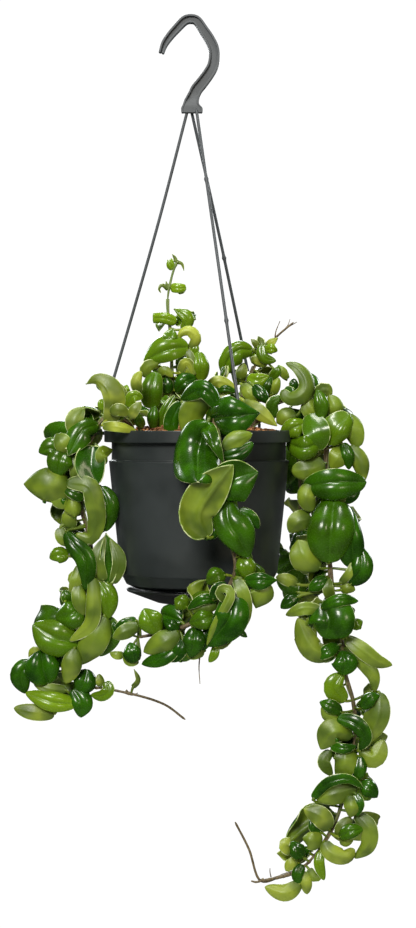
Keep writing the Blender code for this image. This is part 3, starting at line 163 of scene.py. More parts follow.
@dataclass(frozen=True)
class Form:
    """How a blade is bent: angles in radians, bulge and ripple as shares of its half width.

    bend turns the midrib down along its length, each curl turns one half up, twist turns the blade
    about its midrib along its length, and roll turns the whole blade about its stalk.
    """

    bend: float
    curl_left: float
    curl_right: float
    twist: float = 0.0
    bulge: float = 0.0
    ripple: float = 0.0
    roll: float = 0.0


HOOD = Form(1.8, -1.4, -1.1, 0.2, 0.1, 0.08)
DOME = Form(2.4, -1.2, -1.3, 0.1, 0.12, 0.06)
BALL = Form(2.9, -1.4, -1.4, 0.0, 0.08, 0.03)
CUP = Form(-1.8, 1.3, 1.1, 0.3, -0.04, 0.12)
BOWL = Form(-2.6, 1.3, 1.3, 0.1, 0.0, 0.06)
BOAT = Form(0.7, 1.8, 2.0, 0.2, 0.0, 0.08)
ROLL = Form(0.6, -2.2, -2.2)
SADDLE = Form(2.1, 1.7, 1.4, 0.2, 0.0, 0.12, -0.3)
WAVE = Form(2.0, 2.2, -1.5, 0.5, 0.1, 0.14, 0.7)
EVAW = Form(2.0, -1.5, 2.2, -0.5, 0.1, 0.14, -0.7)
FOLD = Form(-1.4, -1.9, 1.4, 0.3, 0.05, 0.14, -0.6)
LOOP = Form(-3.7, 0.7, 0.5, 0.3, 0.0, 0.08)
CURL = Form(3.7, -0.7, -0.5, 0.3, 0.0, 0.08)
FLAT = Form(1.0, -0.6, -0.6, 0.1, 0.1, 0.12)
COMMON_FORMS = (HOOD, WAVE, CUP, SADDLE, EVAW, DOME, FOLD)


@dataclass(frozen=True)
class Spot:
    """A leaf placed in the front view, at the depth of the pot's axis.

    root is where its stalk leaves the stem and blade is the middle of the blade. dark names where
    the dark side looks, strongest first. ahead is 1 where the blade stands in front of its root
    and -1 where it stands behind.
    """

    root_x: float
    root_z: float
    blade_x: float
    blade_z: float
    length: float
    width: float
    form: Form
    dark: str
    ahead: int


@dataclass(frozen=True)
class Stem:
    """One stem: its radius at the soil and at its tip, its given route and its leaves.

    spots has a row of Spot's values for each listed leaf. extra is how many more fill the stem's sides and
    back, bare is the length at its tip that gets none of these, and extra_length is how long they are.
    small is how many small leaves close its gaps, and fresh is how young and yellow its leaves are.
    """

    name: str
    root_radius: float
    tip_radius: float
    route: tuple
    spots: tuple
    extra: int
    bare: float
    extra_length: float = 38.0
    small: int = 0
    fresh: float = 0.2


@dataclass(frozen=True)
class Leaf:
    """A placed leaf: where it leaves the stem, the blade's own axes, its size and its form."""

    root: Array
    base: Array
    out: Array
    up: Array
    length: float
    width: float
    form: Form


VINE_FRONT_ROUTE = (
    (9, -48), (13, -56, -316), (18, -72, -313), (21, -88, -322), (24, -96, -337), (26, -96, -352),
    (23, -94, -369), (24, -92, -386), (31, -90, -403), (35, -90, -420), (33, -90, -435),
    (24, -90, -450), (12, -88, -462), (-3, -86, -470), (-18, -82, -475), (-38, -78, -479),
)
VINE_FRONT_SPOTS = (
    (18, -315, -1, -303, 56, 39, CURL, "UF", 1),
    (19, -311, 28, -315, 56, 46, EVAW, "F", 1),
    (18, -315, 4, -343, 61, 48, DOME, "F", 1),
    (12, -313, -13, -321, 39, 19, HOOD, "F", -1),
    (26, -323, 38, -333, 35, 25, CUP, "B", 1),
    (25, -343, 37, -361, 54, 48, SADDLE, "FU", 1),
    (25, -355, 6, -384, 56, 39, CUP, "BR", 1),
    (28, -385, 35, -404, 52, 41, DOME, "F", 1),
    (27, -382, 45, -395, 23, 17, HOOD, "FR", -1),
    (27, -386, 15, -402, 25, 17, HOOD, "F", 1),
    (34, -422, 42, -428, 23, 17, HOOD, "F", 1),
    (32, -428, 19, -438, 24, 20, DOME, "F", 1),
    (34, -426, 52, -447, 39, 29, HOOD, "FR", -1),
    (33, -436, 42, -455, 41, 17, HOOD, "B", 1),
    (29, -442, 28, -466, 72, 48, WAVE, "FL", 1),
    (20, -453, 7, -455, 29, 21, HOOD, "FU", 1),
    (15, -458, -8, -456, 26, 17, DOME, "FU", 1),
    (14, -459, 8, -471, 30, 26, DOME, "F", 1),
    (8, -463, 2, -486, 33, 25, HOOD, "FL", 1),
    (-8, -469, -31, -474, 35, 28, DOME, "F", 1),
    (-6, -467, -13, -478, 26, 22, BALL, "F", 1),
    (-9, -470, -27, -497, 48, 27, BOAT, "BU", 1),
    (-23, -474, -46, -480, 33, 16, ROLL, "BU", 1),
    (-23, -474, -45, -497, 26, 22, BALL, "F", -1),
    (-14, -472, -9, -498, 33, 19, HOOD, "FR", -1),
)
VINE_RIGHT_ROUTE = (
    (50, -8), (57, -10, -313), (70, -12, -301), (86, -14, -299), (100, -16, -310), (107, -18, -331),
    (108, -18, -358), (109, -20, -389), (110, -20, -421), (112, -20, -448), (117, -20, -472),
    (120, -20, -491), (123, -18, -516), (129, -16, -539), (130, -14, -567), (125, -12, -595),
    (120, -12, -617), (112, -12, -638), (101, -12, -655), (90, -12, -667), (75, -12, -673),
    (56, -12, -678), (47, -14, -653), (36, -16, -631),
)
VINE_RIGHT_SPOTS = (
    (76, -297, 82, -285, 72, 30, LOOP, "BL", 1),
    (88, -298, 100, -300, 39, 23, HOOD, "FR", 1),
    (92, -299, 112, -298, 50, 37, SADDLE, "BU", 1),
    (69, -303, 74, -306, 39, 26, SADDLE, "BU", 1),
    (96, -307, 82, -324, 39, 33, DOME, "F", 1),
    (102, -315, 90, -338, 43, 33, DOME, "FL", 1),
    (100, -309, 99, -323, 31, 25, HOOD, "F", 1),
    (102, -309, 115, -323, 46, 39, DOME, "F", 1),
    (102, -313, 129, -321, 37, 27, CUP, "B", -1),
    (106, -339, 92, -353, 35, 31, CUP, "BU", 1),
    (105, -331, 117, -345, 33, 25, CUP, "B", 1),
    (106, -336, 131, -348, 41, 25, HOOD, "BR", -1),
    (106, -356, 113, -366, 48, 67, DOME, "FU", 1),
    (106, -369, 95, -376, 41, 26, LOOP, "BL", 1),
    (107, -361, 120, -373, 33, 23, HOOD, "FR", -1),
    (107, -380, 112, -401, 59, 54, DOME, "F", 1),
    (107, -406, 92, -421, 47, 37, CUP, "B", 1),
    (109, -414, 135, -429, 46, 33, WAVE, "F", -1),
    (111, -430, 119, -448, 37, 27, HOOD, "B", -1),
    (110, -434, 98, -443, 35, 19, HOOD, "FU", -1),
    (112, -448, 108, -467, 52, 72, SADDLE, "UF", 1),
    (115, -472, 94, -485, 52, 25, HOOD, "BL", -1),
    (120, -490, 120, -503, 30, 30, BALL, "F", 1),
    (120, -485, 139, -495, 48, 21, HOOD, "BR", -1),
    (120, -494, 135, -512, 54, 19, HOOD, "BR", 1),
    (123, -512, 116, -526, 37, 25, CUP, "B", 1),
    (128, -541, 108, -544, 31, 23, BOAT, "BU", 1),
    (129, -540, 144, -537, 27, 19, BOAT, "FR", 1),
    (129, -544, 150, -552, 58, 33, HOOD, "BR", -1),
    (130, -552, 120, -564, 48, 41, CUP, "BL", 1),
    (130, -553, 139, -563, 39, 30, DOME, "F", 1),
    (132, -567, 150, -579, 39, 29, CUP, "B", -1),
    (131, -575, 123, -587, 43, 41, BOWL, "BU", 1),
    (131, -577, 109, -587, 39, 19, HOOD, "B", -1),
    (129, -589, 136, -594, 25, 17, HOOD, "F", 1),
    (127, -598, 143, -610, 37, 25, HOOD, "FR", -1),
    (124, -598, 118, -610, 37, 56, CUP, "B", 1),
    (122, -613, 131, -622, 31, 25, CUP, "B", 1),
    (118, -629, 103, -632, 54, 33, WAVE, "BU", -1),
    (109, -642, 139, -642, 54, 29, CUP, "BR", -1),
    (112, -644, 127, -642, 33, 25, BOAT, "BU", 1),
    (108, -647, 120, -660, 43, 23, CUP, "BU", 1),
    (108, -644, 96, -651, 33, 27, CUP, "B", 1),
    (97, -660, 85, -657, 29, 21, HOOD, "FU", 1),
    (94, -666, 76, -653, 27, 16, FLAT, "B", -1),
    (98, -660, 104, -671, 35, 14, HOOD, "B", -1),
    (92, -671, 92, -682, 25, 17, HOOD, "B", 1),
    (89, -671, 85, -678, 24, 20, DOME, "F", 1),
    (94, -666, 101, -676, 23, 16, CUP, "B", -1),
    (89, -678, 73, -688, 50, 23, BOAT, "BU", -1),
)
VINE_LEFT_ROUTE = (
    (-44, -14), (-51, -18, -315), (-62, -22, -311), (-71, -24, -319), (-81, -26, -338),
    (-87, -26, -359), (-85, -24, -381), (-79, -22, -403), (-77, -22, -425), (-82, -22, -450),
    (-90, -20, -472), (-102, -18, -492), (-110, -16, -510), (-111, -14, -527), (-99, -14, -535),
    (-78, -14, -526), (-50, -18, -529), (-21, -22, -537), (-3, -26, -549),
)
VINE_LEFT_SPOTS = (
    (-77, -318, -86, -324, 39, 29, BOAT, "BR", 1),
    (-77, -328, -103, -332, 48, 35, SADDLE, "FU", -1),
    (-84, -331, -107, -347, 41, 33, BALL, "F", 1),
    (-85, -351, -116, -367, 43, 33, CUP, "FL", 1),
    (-82, -339, -77, -350, 35, 31, CUP, "FU", 1),
    (-84, -358, -92, -353, 33, 16, HOOD, "B", -1),
    (-87, -369, -81, -385, 63, 30, LOOP, "BL", 1),
    (-79, -371, -66, -382, 39, 25, HOOD, "FR", 1),
    (-84, -386, -93, -384, 30, 22, LOOP, "B", 1),
    (-77, -404, -90, -414, 37, 24, WAVE, "FU", 1),
    (-77, -417, -104, -423, 23, 16, CUP, "B", -1),
    (-77, -438, -64, -423, 45, 29, BOAT, "BR", 1),
    (-77, -420, -82, -431, 35, 17, HOOD, "FL", 1),
    (-77, -434, -91, -447, 41, 21, CUP, "B", 1),
    (-76, -442, -67, -458, 45, 23, HOOD, "FR", -1),
    (-77, -438, -78, -460, 65, 22, EVAW, "BL", 1),
    (-78, -456, -97, -469, 39, 35, DOME, "F", 1),
    (-78, -450, -97, -456, 20, 15, DOME, "FL", -1),
    (-81, -478, -111, -486, 50, 41, DOME, "FU", 1),
    (-79, -470, -77, -491, 47, 33, CUP, "B", 1),
    (-77, -467, -65, -483, 41, 23, HOOD, "FR", -1),
    (-87, -496, -95, -512, 33, 23, CUP, "B", 1),
    (-93, -498, -108, -512, 30, 24, DOME, "F", 1),
    (-98, -502, -120, -506, 24, 20, DOME, "FU", 1),
    (-106, -513, -131, -517, 46, 35, DOME, "FL", 1),
    (-101, -502, -85, -515, 39, 30, DOME, "FR", 1),
    (-85, -528, -109, -538, 45, 27, BOAT, "BU", 1),
    (-101, -533, -123, -545, 43, 26, WAVE, "FL", -1),
    (-93, -531, -85, -540, 37, 30, DOME, "F", 1),
)
SHOOT_UPRIGHT_ROUTE = (
    (-22, -14), (-18, -14, -311), (-14, -16, -291), (-14, -16, -268), (-15, -16, -244),
    (-17, -16, -221), (-14, -16, -203), (-10, -18, -191),
)
SHOOT_UPRIGHT_SPOTS = (
    (-14, -190, -16, -191, 9, 7, HOOD, "F", -1),
    (-14, -190, -8, -189, 11, 6, CURL, "U", -1),
    (-15, -210, -9, -209, 15, 11, ROLL, "UF", -1),
    (-15, -209, -22, -211, 13, 6, CURL, "U", -1),
    (-14, -237, -21, -235, 23, 18, ROLL, "UF", -1),
    (-14, -239, -4, -234, 23, 16, BOAT, "FR", -1),
    (-13, -255, -19, -257, 48, 35, WAVE, "FU", 1),
    (-12, -255, 2, -247, 39, 22, CURL, "U", -1),
    (-12, -274, 8, -269, 30, 21, HOOD, "FR", -1),
    (-12, -277, -2, -274, 26, 17, CURL, "BU", 1),
    (-14, -283, -28, -286, 39, 21, HOOD, "FL", 1),
    (-14, -291, -2, -286, 28, 21, HOOD, "FU", 1),
    (-14, -282, -20, -278, 18, 13, HOOD, "B", -1),
    (-17, -295, -40, -283, 25, 15, CUP, "B", -1),
    (-19, -302, -27, -310, 21, 11, HOOD, "F", 1),
    (-15, -301, -15, -302, 30, 15, BOAT, "BR", 1),
)
SHOOT_TWIG_ROUTE = (
    (37, 14), (39, 16, -309), (43, 16, -291), (52, 14, -272), (60, 12, -261), (69, 10, -249),
    (83, 8, -237),
)
SHOOT_TWIG_SPOTS = (
    (45, -277, 39, -263, 36, 31, HOOD, "FL", 1),
    (42, -283, 37, -276, 23, 16, HOOD, "B", 1),
    (44, -282, 54, -280, 28, 20, HOOD, "B", -1),
    (53, -269, 62, -256, 20, 17, DOME, "FU", 1),
    (54, -267, 62, -263, 20, 15, DOME, "F", 1),
    (58, -259, 58, -254, 11, 7, FLAT, "B", -1),
    (40, -291, 58, -293, 26, 21, HOOD, "F", -1),
    (39, -299, 28, -298, 25, 20, HOOD, "F", -1),
)
SHOOT_LEFT_ROUTE = (
    (-38, -34), (-43, -40, -312), (-50, -44, -302), (-61, -46, -294),
)
SHOOT_LEFT_SPOTS = (
    (-54, -305, -66, -294, 48, 26, WAVE, "BR", -1),
    (-49, -309, -57, -290, 26, 15, FLAT, "B", -1),
    (-50, -309, -55, -308, 31, 26, LOOP, "BU", 1),
    (-44, -313, -42, -301, 28, 18, BOAT, "BL", -1),
    (-42, -315, -53, -317, 39, 22, EVAW, "BU", 1),
)
SHOOT_CENTRE_ROUTE = (
    (18, 6), (19, 4, -311), (21, 0, -298), (26, -4, -283),
)
SHOOT_CENTRE_SPOTS = (
    (20, -303, 7, -293, 28, 20, HOOD, "BU", -1),
    (22, -295, 26, -286, 44, 31, CURL, "UB", 1),
    (23, -298, 30, -291, 21, 11, HOOD, "F", 1),
    (19, -311, 50, -305, 38, 18, HOOD, "BU", 1),
    (21, -303, 48, -292, 30, 21, HOOD, "B", -1),
)
VINE_RIGHT_BACK_ROUTE = (
    (49, 30), (60, 36, -314), (74, 44, -312), (85, 48, -326), (89, 48, -349), (90, 46, -376),
    (91, 44, -405), (92, 42, -433), (90, 40, -462), (89, 38, -487),
)
VINE_RIGHT_BACK_SPOTS = (
    (88, -331, 82, -345, 39, 27, HOOD, "F", 1),
    (88, -378, 85, -391, 35, 27, CUP, "BU", -1),
    (88, -355, 78, -371, 33, 25, HOOD, "F", -1),
    (88, -422, 77, -436, 35, 27, HOOD, "F", 1),
    (88, -434, 78, -457, 33, 27, HOOD, "F", 1),
    (88, -450, 97, -462, 33, 23, HOOD, "BR", -1),
    (88, -394, 93, -410, 33, 25, HOOD, "FR", -1),
)
SHOOT_BACK_ROUTE = (
    (-8, 44), (-11, 56, -313), (-14, 72, -311), (-16, 86, -320), (-17, 94, -338), (-15, 96, -360),
    (-12, 94, -385), (-12, 92, -408), (-15, 90, -430),
)

SMALL_SPOTS = {
    "vine_left": (
        (-81, -401, -98, -404, 17, 12, HOOD, "B", 1),
        (-77, -529, -73, -523, 14, 10, HOOD, "F", 1),
        (-73, -530, -70, -534, 15, 11, HOOD, "F", 1),
        (-49, -533, -42, -521, 15, 7, FLAT, "B", -1),
    ),
    "vine_right": ((117, -467, 131, -471, 17, 12, HOOD, "F", 1),),
    "shoot_left": ((-47, -312, -70, -305, 16, 8, HOOD, "F", -1),),
}

STEMS = (
    Stem("vine_front", 1.8, 1.2, VINE_FRONT_ROUTE, VINE_FRONT_SPOTS, 5, 30.0, 32.0, 14, 0.1),
    Stem("vine_right", 2.0, 0.9, VINE_RIGHT_ROUTE, VINE_RIGHT_SPOTS, 17, 150.0, 36.0, 40, 0.12),
    Stem("vine_left", 1.8, 0.9, VINE_LEFT_ROUTE, VINE_LEFT_SPOTS, 14, 130.0, 34.0, 32, 0.12),
    Stem("shoot_upright", 1.5, 0.9, SHOOT_UPRIGHT_ROUTE, SHOOT_UPRIGHT_SPOTS, 2, 90.0, 34.0, 9, 0.5),
    Stem("shoot_twig", 1.5, 0.8, SHOOT_TWIG_ROUTE, SHOOT_TWIG_SPOTS, 3, 40.0, 32.0, 8, 0.45),
    Stem("shoot_left", 1.5, 1.0, SHOOT_LEFT_ROUTE, SHOOT_LEFT_SPOTS, 2, 6.0, 30.0, 7, 0.8),
    Stem("shoot_centre", 1.5, 1.0, SHOOT_CENTRE_ROUTE, SHOOT_CENTRE_SPOTS, 4, 6.0, 34.0, 8, 0.4),
    Stem("vine_right_back", 1.6, 1.2, VINE_RIGHT_BACK_ROUTE, VINE_RIGHT_BACK_SPOTS, 6, 6.0, 36.0, 12, 0.25),
    Stem("shoot_back", 1.6, 1.2, SHOOT_BACK_ROUTE, (), 9, 6.0, 38.0, 12, 0.25),
)


def unit(vector: Array) -> Array:
    """The vector at length one."""
    return vector / np.linalg.norm(vector)


def units(vectors: Array) -> Array:
    """Each of an array's vectors at length one."""
    return vectors / np.linalg.norm(vectors, axis=-1, keepdims=True)


def turned(vector: Array, axis: Array, angle: float) -> Array:
    """The vector turned about a unit axis, by the sum of its turned and its kept parts.

    Args:
        vector: The vector.
        axis: The unit axis.
        angle: The angle, in radians.

    Returns:
        The turned vector.
    """
    along = axis * (axis @ vector) * (1 - math.cos(angle))
    return vector * math.cos(angle) + np.cross(axis, vector) * math.sin(angle) + along


def outline(along: Array) -> Array:
    """The half width's share along a blade: round at the base, pointed at the tip.

    It is the sine of half a turn times the place to the power 0.9, raised to 0.62 plus 0.45 times
    the place.

    Args:
        along: Places along the blade, from 0 to 1.

    Returns:
        The shares.
    """
    return np.sin(math.pi * along ** OUTLINE_SKEW) ** (OUTLINE_ROUND + OUTLINE_POINT * along)


def chanced(limits: Pair, chance: float) -> float:
    """The value that a chance from 0 to 1 sets: limits are its least and what a full chance adds."""
    return limits[0] + limits[1] * chance


def spread(half: float, shares: Array, along: Array) -> Array:
    """The half width along a blade: its outline's shares of it, and the stalk's, which fades away.

    Args:
        half: The blade's half width.
        shares: The outline's shares.
        along: Places along the blade.

    Returns:
        The half widths.
    """
    return half * shares + STALK_HALF * (1 - along) ** 3


def rippled(leaf: Leaf, along: Array, across: Array, half: Array, lift: Array) -> Array:
    """Adds a bulge between midrib and margin, half a sine wave, and a wave that grows outwards.

    Args:
        leaf: The leaf.
        along: Places along the blade, as a column.
        across: Places across it, as a row.
        half: The half widths, as a column.
        lift: How far each point lies above the midrib, as a grid.

    Returns:
        The new lift.
    """
    lift = lift + leaf.form.bulge * np.sin(math.pi * np.abs(across)) * half
    wave = np.sin(2 * math.pi * (RIPPLES * along + RIPPLE_SLANT * across) + leaf.length)
    return lift + leaf.form.ripple * half * across ** 2 * wave


def carried(leaf: Leaf, along: Array, aside: Array, lift: Array) -> Array:
    """A section's points carried along the midrib, an arc that turns by the bend, and twisted.

    Args:
        leaf: The leaf.
        along: Places along the blade.
        aside: How far each point lies to the right of the midrib, as a grid.
        lift: How far it lies above the midrib, as a grid.

    Returns:
        A grid of points, one row for each place along.
    """
    form = leaf.form
    steps = np.linspace(0, 1, MIDRIB_STEPS + 1)
    angles = form.bend * steps ** BEND_GROWTH
    middle = (angles[1:] + angles[:-1]) / 2
    length = leaf.length / MIDRIB_STEPS
    forward = np.interp(along, steps, np.append(0, np.cumsum(np.cos(middle)) * length))[:, None]
    rise = -np.interp(along, steps, np.append(0, np.cumsum(np.sin(middle)) * length))[:, None]
    angle = np.interp(along, steps, angles)[:, None]
    turn = form.twist * along[:, None]
    across = aside * np.cos(turn) - lift * np.sin(turn)
    above = aside * np.sin(turn) + lift * np.cos(turn)
    ahead = (forward + above * np.sin(angle))[..., None] * leaf.out
    upward = (rise + above * np.cos(angle))[..., None] * leaf.up
    return leaf.base + ahead + upward + across[..., None] * np.cross(leaf.up, leaf.out)


def blade_points(leaf: Leaf, along: Array, across: Array) -> Array:
    """Points of a plain blade's middle surface, each half an arc of its own curl.

    Args:
        leaf: The leaf.
        along: Places along the blade, 0 at its base and 1 at its tip.
        across: Places across it, -1 at the left margin and 1 at the right one.

    Returns:
        The points, row by row.
    """
    form = leaf.form
    column = along[:, None]
    across = across[None, :]
    half = spread(leaf.width / 2, outline(column), column)
    curl = np.where(across < 0, form.curl_left, form.curl_right) / (leaf.width / 2)
    reach = np.abs(across) * half
    sideways = np.sign(across) * np.sin(curl * reach) / curl
    lift = rippled(leaf, column, across, half, (1 - np.cos(curl * reach)) / curl)
    return carried(leaf, along, sideways, lift).reshape(-1, 3)


def smooth_route(points: Sequence[Sequence[float]], step: float = ROUTE_STEP) -> Array:
    """A Catmull-Rom curve through the points, as points at an even step.

    Args:
        points: The points the curve goes through.
        step: The step along it.

    Returns:
        The curve's points.
    """
    knots = np.array(points, float)
    knots = np.vstack([2 * knots[0] - knots[1], knots, 2 * knots[-1] - knots[-2]])
    t = np.linspace(0, 1, CURVE_STEPS + 1)[:-1][:, None]
    runs = []
    for a, b, c, d in zip(knots, knots[1:], knots[2:], knots[3:]):
        cubic = (3 * b - a - 3 * c + d) * t ** 3
        runs.append(0.5 * (2 * b + (c - a) * t + (2 * a - 5 * b + 4 * c - d) * t ** 2 + cubic))
    curve = np.vstack(runs + [knots[-2:-1]])
    lengths = np.concatenate([[0], np.cumsum(np.linalg.norm(np.diff(curve, axis=0), axis=1))])
    count = max(3, int(round(lengths[-1] / step)) + 1)
    even = np.linspace(0, lengths[-1], count)
    return np.column_stack([np.interp(even, lengths, curve[:, axis]) for axis in range(3)])


def carried_frames(route: Array) -> tuple[Array, Array]:
    """Tangents along a route, and side vectors carried along it without turning about it.

    Args:
        route: The route's points.

    Returns:
        The unit tangents and the unit side vectors, one row for each point.
    """
    tangents = units(np.gradient(route, axis=0))
    sides = np.zeros_like(route)
    side = np.cross(tangents[0], FIRST_SIDE)
    for index, tangent in enumerate(tangents):
        side = unit(side - tangent * (side @ tangent))
        sides[index] = side
    return tangents, sides


def mound(share: float | Array) -> float | Array:
    """The soil's height at a share of the neck's radius: it falls from its crest to its edge."""
    return SOIL_CREST + (SOIL_EDGE - SOIL_CREST) * share ** MOUND_POWER


def soil_height(x: float, y: float) -> float:
    """The height of the soil's top at a place."""
    return mound(math.hypot(x - POT_X, y) / NECK_RADIUS)


def stem_route(stem: Stem) -> Array:
    """A stem's whole route: straight up out of its hole in the soil, then through its points.

    Args:
        stem: The stem.

    Returns:
        The route's points.
    """
    x, y = stem.route[0]
    top = soil_height(x, y)
    return smooth_route([(x, y, top - BURIED), (x, y, top + 1), *stem.route[1:]])


@dataclass(frozen=True)
class Rod:
    """A rod of the hanger: the lug's angle, its upper end in the hook, and places it bows through."""

    name: str
    angle: float
    socket: tuple
    middle: tuple = ()


RODS = (
    Rod("rod_left", 172.0, (-0.9, 0.0, HOOK_BASE + SOCKET_DEPTH), ((-28.6, 4.4, -171.6),)),
    Rod("rod_front", 294.0, (5.2, -1.5, HOOK_BASE + SOCKET_DEPTH)),
    Rod("rod_back", 52.0, (0.9, 2.1, HOOK_BASE + SOCKET_DEPTH), ((24.6, 26.4, -169.8),)),
)
# How far beyond its lug's hole, and how far above the rim, a rod passes on its way down.
ROD_CRANK = ((-2.9, 12.2), (0.6, 9.8), (2.2, 6.2), (1.2, 2.6), (0, 0.2), (0, -7.0))


def rod_ends(angle: float) -> list[tuple[float, float, float]]:
    """The cranked lower end of the rod that drops through a lug.

    Args:
        angle: Where the lug stands on the rim, in degrees.

    Returns:
        Its points from the top down.
    """
    turn = math.radians(angle)
    ends = []
    for beyond, height in ROD_CRANK:
        reach = LUG_REACH + beyond
        ends.append((POT_X + reach * math.cos(turn), reach * math.sin(turn), RIM_TOP + height))
    return ends


def rod_route(rod: Rod) -> Array:
    """A rod's points from its socket in the hook to its lower end."""
    return smooth_route([rod.socket, *rod.middle, *rod_ends(rod.angle)])


class Layout:
    """Places every leaf clear of the pot, the soil, the rods, the other stems and other leaves."""

    ROWS = np.linspace(0.04, 1, 9)
    COLUMNS = np.linspace(-1, 1, 7)
    SHRINK = (1.0, 0.88, 0.76, 0.64)
    LIFTS = (0, 6, -6, 12, -12, 18, -18, 26, 36, 46)
    SWEEPS = (0, 14, -14)
    CLEAR_OF_POT = 2.0
    CLEAR_OF_SOIL = 2.2
    CLEAR_OF_ROD = 3.2
    CLEAR_OF_LUG = 2.5
    CLEAR_OF_STEM = 4.2
    CLEAR_OF_OWN_STEM = 3.2
    CLEAR_OF_LEAF = 4.0
    CLEAR_OF_SISTER = 2.9
    LUG_MIDDLE = LUG_TOP - 1.5
    PAST_NECK = 1.1
    NEAR_STALK = 0.22
    OWN_STEM_SPAN = 3
    CROWDING = 7
    CLASH_COST = 100
    SHIFT_COST = 0.08
    SHRINK_COST = 12
    SWEEP_COST = 0.5
    STANDOFF = 1.2
    STALK_SHARE = 0.03
    ALONG_STEM = 0.2
    TIGHTEST = 2.2
    STRAIGHTEST = 0.4
    ROOM = 0.65
    STALK_REACH = 4.0
    MIDDLE = 0.42
    LIFT_SHARE = 0.85
    SIDE_FADE = 0.6
    FORM_CHANCE = np.array((0.2, 0.2, 0.2, 0.2, 0.03, 0.3))
    FIRST_EXTRA = BURIED + 10
    FORWARD_LEAN = 0.35
    FRONT_LIMIT = -0.3
    DARK_DOWN = 0.45
    FILL_SHRINK = (1.0, 0.85, 0.7)
    BENDS = (0.85, 0.3)
    CURLS = (0.8, 0.4)
    LENGTHS = (0.85, 0.3)
    WIDTHS = (0.68, 0.16)
    SEED = 7
    TRIES = 14
    SMALL_SEED = 21
    SMALL_LENGTHS = (29.0, 20.0)
    SMALL_CLEARANCE = {"CLEAR_OF_LEAF": 2.4, "CLEAR_OF_SISTER": 1.3, "CLEAR_OF_OWN_STEM": 1.8}
    SMALL_CROWDING = 5
    POT_LEVELS = (SAUCER_LOW - 2, SAUCER_LOW, SAUCER_TOP, POT_LOW, FOOT_TOP, STEP_LOW,
                  SKIRT_LOW - 1, SKIRT_LOW, RIM_TOP + 0.5, RIM_TOP + 0.6)
    POT_RADII = (0, SAUCER_BASE + 2, SAUCER_RADIUS, SAUCER_RADIUS, FOOT_RADIUS + 1, BODY_RADIUS,
                 BODY_RADIUS, RIM_RADIUS, RIM_RADIUS, 0)

    def __init__(self, stems: Sequence[Stem]) -> None:
        """Places the part's own leaves first, in its own order, and then the small ones.

        Args:
            stems: The stems, in the order in which they take their room.
        """
        self.routes = {stem.name: stem_route(stem) for stem in stems}
        self.rods = [rod_route(rod) for rod in RODS]
        self.extents = {name: (route.min(0), route.max(0)) for name, route in self.routes.items()}
        self.along = np.repeat(self.ROWS, len(self.COLUMNS))
        self.placed = []
        self.leaves = {stem.name: [] for stem in stems}
        rng = np.random.default_rng(self.SEED)
        for stem in stems:
            self.place_spots(stem, stem.spots, rng)
        for stem in stems:
            self.fill(stem, rng, stem.extra, stem.extra_length, 1, True)
        for limit, distance in self.SMALL_CLEARANCE.items():
            setattr(self, limit, distance)
        rng = np.random.default_rng(self.SMALL_SEED)
        for stem in stems:
            self.place_spots(stem, SMALL_SPOTS.get(stem.name, ()), rng)
        for length in self.SMALL_LENGTHS:
            for stem in stems:
                wanted = stem.small // len(self.SMALL_LENGTHS)
                self.fill(stem, rng, wanted, length, self.SMALL_CROWDING, False)

    def nearest(self, points: Array, others: Array) -> Array:
        """The distance from each point to the nearest of the others."""
        return np.sqrt(((points[:, None] - others[None]) ** 2).sum(2).min(1))

    def blocked(self, points: Array) -> int:
        """Counts points in or too near the pot, the soil, a lug or a rod.

        Args:
            points: The points.

        Returns:
            How many there are.
        """
        radius = np.hypot(points[:, 0] - POT_X, points[:, 1])
        pot = np.interp(points[:, 2], self.POT_LEVELS, self.POT_RADII, left=0, right=0)
        count = int((radius < pot + self.CLEAR_OF_POT).sum())
        soil = mound(np.minimum(radius / NECK_RADIUS, self.PAST_NECK))
        over = (radius < RIM_RADIUS) & (points[:, 2] > FOOT_TOP)
        count += int((over & (points[:, 2] < soil + self.CLEAR_OF_SOIL)).sum())
        if points[:, 2].max() < FOOT_TOP:
            return count
        for route, rod in zip(self.rods, RODS):
            count += int((self.nearest(points, route) < self.CLEAR_OF_ROD).sum())
            turn = math.radians(rod.angle)
            reach = np.array([[RIM_RADIUS + 2], [LUG_REACH]]) * (math.cos(turn), math.sin(turn))
            lug = np.column_stack([reach + (POT_X, 0), [self.LUG_MIDDLE] * 2])
            count += int((self.nearest(points, lug) < LUG_HALF + self.CLEAR_OF_LUG).sum())
        return count

    def clashes(self, points: Array, name: str, root: int) -> tuple[int, int]:
        """Counts a blade's points that are in the way of something.

        Args:
            points: The blade's points, row by row.
            name: Its own stem.
            root: The number of the stem's point that it grows from.

        Returns:
            How many points must not be where they are, and how many only crowd their own stem.
        """
        hard = self.blocked(points)
        soft = 0
        blade = points[self.along > self.NEAR_STALK]
        room = self.CLEAR_OF_STEM
        for other, route in self.routes.items():
            near, far = self.extents[other]
            if (near - room > points.max(0)).any() or (far + room < points.min(0)).any():
                continue
            if other == name:
                away = np.abs(np.arange(len(route)) - root) > self.OWN_STEM_SPAN
                soft += int((self.nearest(blade, route[away]) < self.CLEAR_OF_OWN_STEM).sum())
            else:
                hard += int((self.nearest(points, route) < self.CLEAR_OF_STEM).sum())
        low = points.min(0) - self.CLEAR_OF_LEAF
        high = points.max(0) + self.CLEAR_OF_LEAF
        for other, others, other_low, other_high in self.placed:
            if (other_low > high).any() or (other_high < low).any():
                continue
            if other == name:
                soft += int((self.nearest(blade, others) < self.CLEAR_OF_SISTER).sum())
            else:
                hard += int((self.nearest(points, others) < self.CLEAR_OF_LEAF).sum())
        return hard, soft

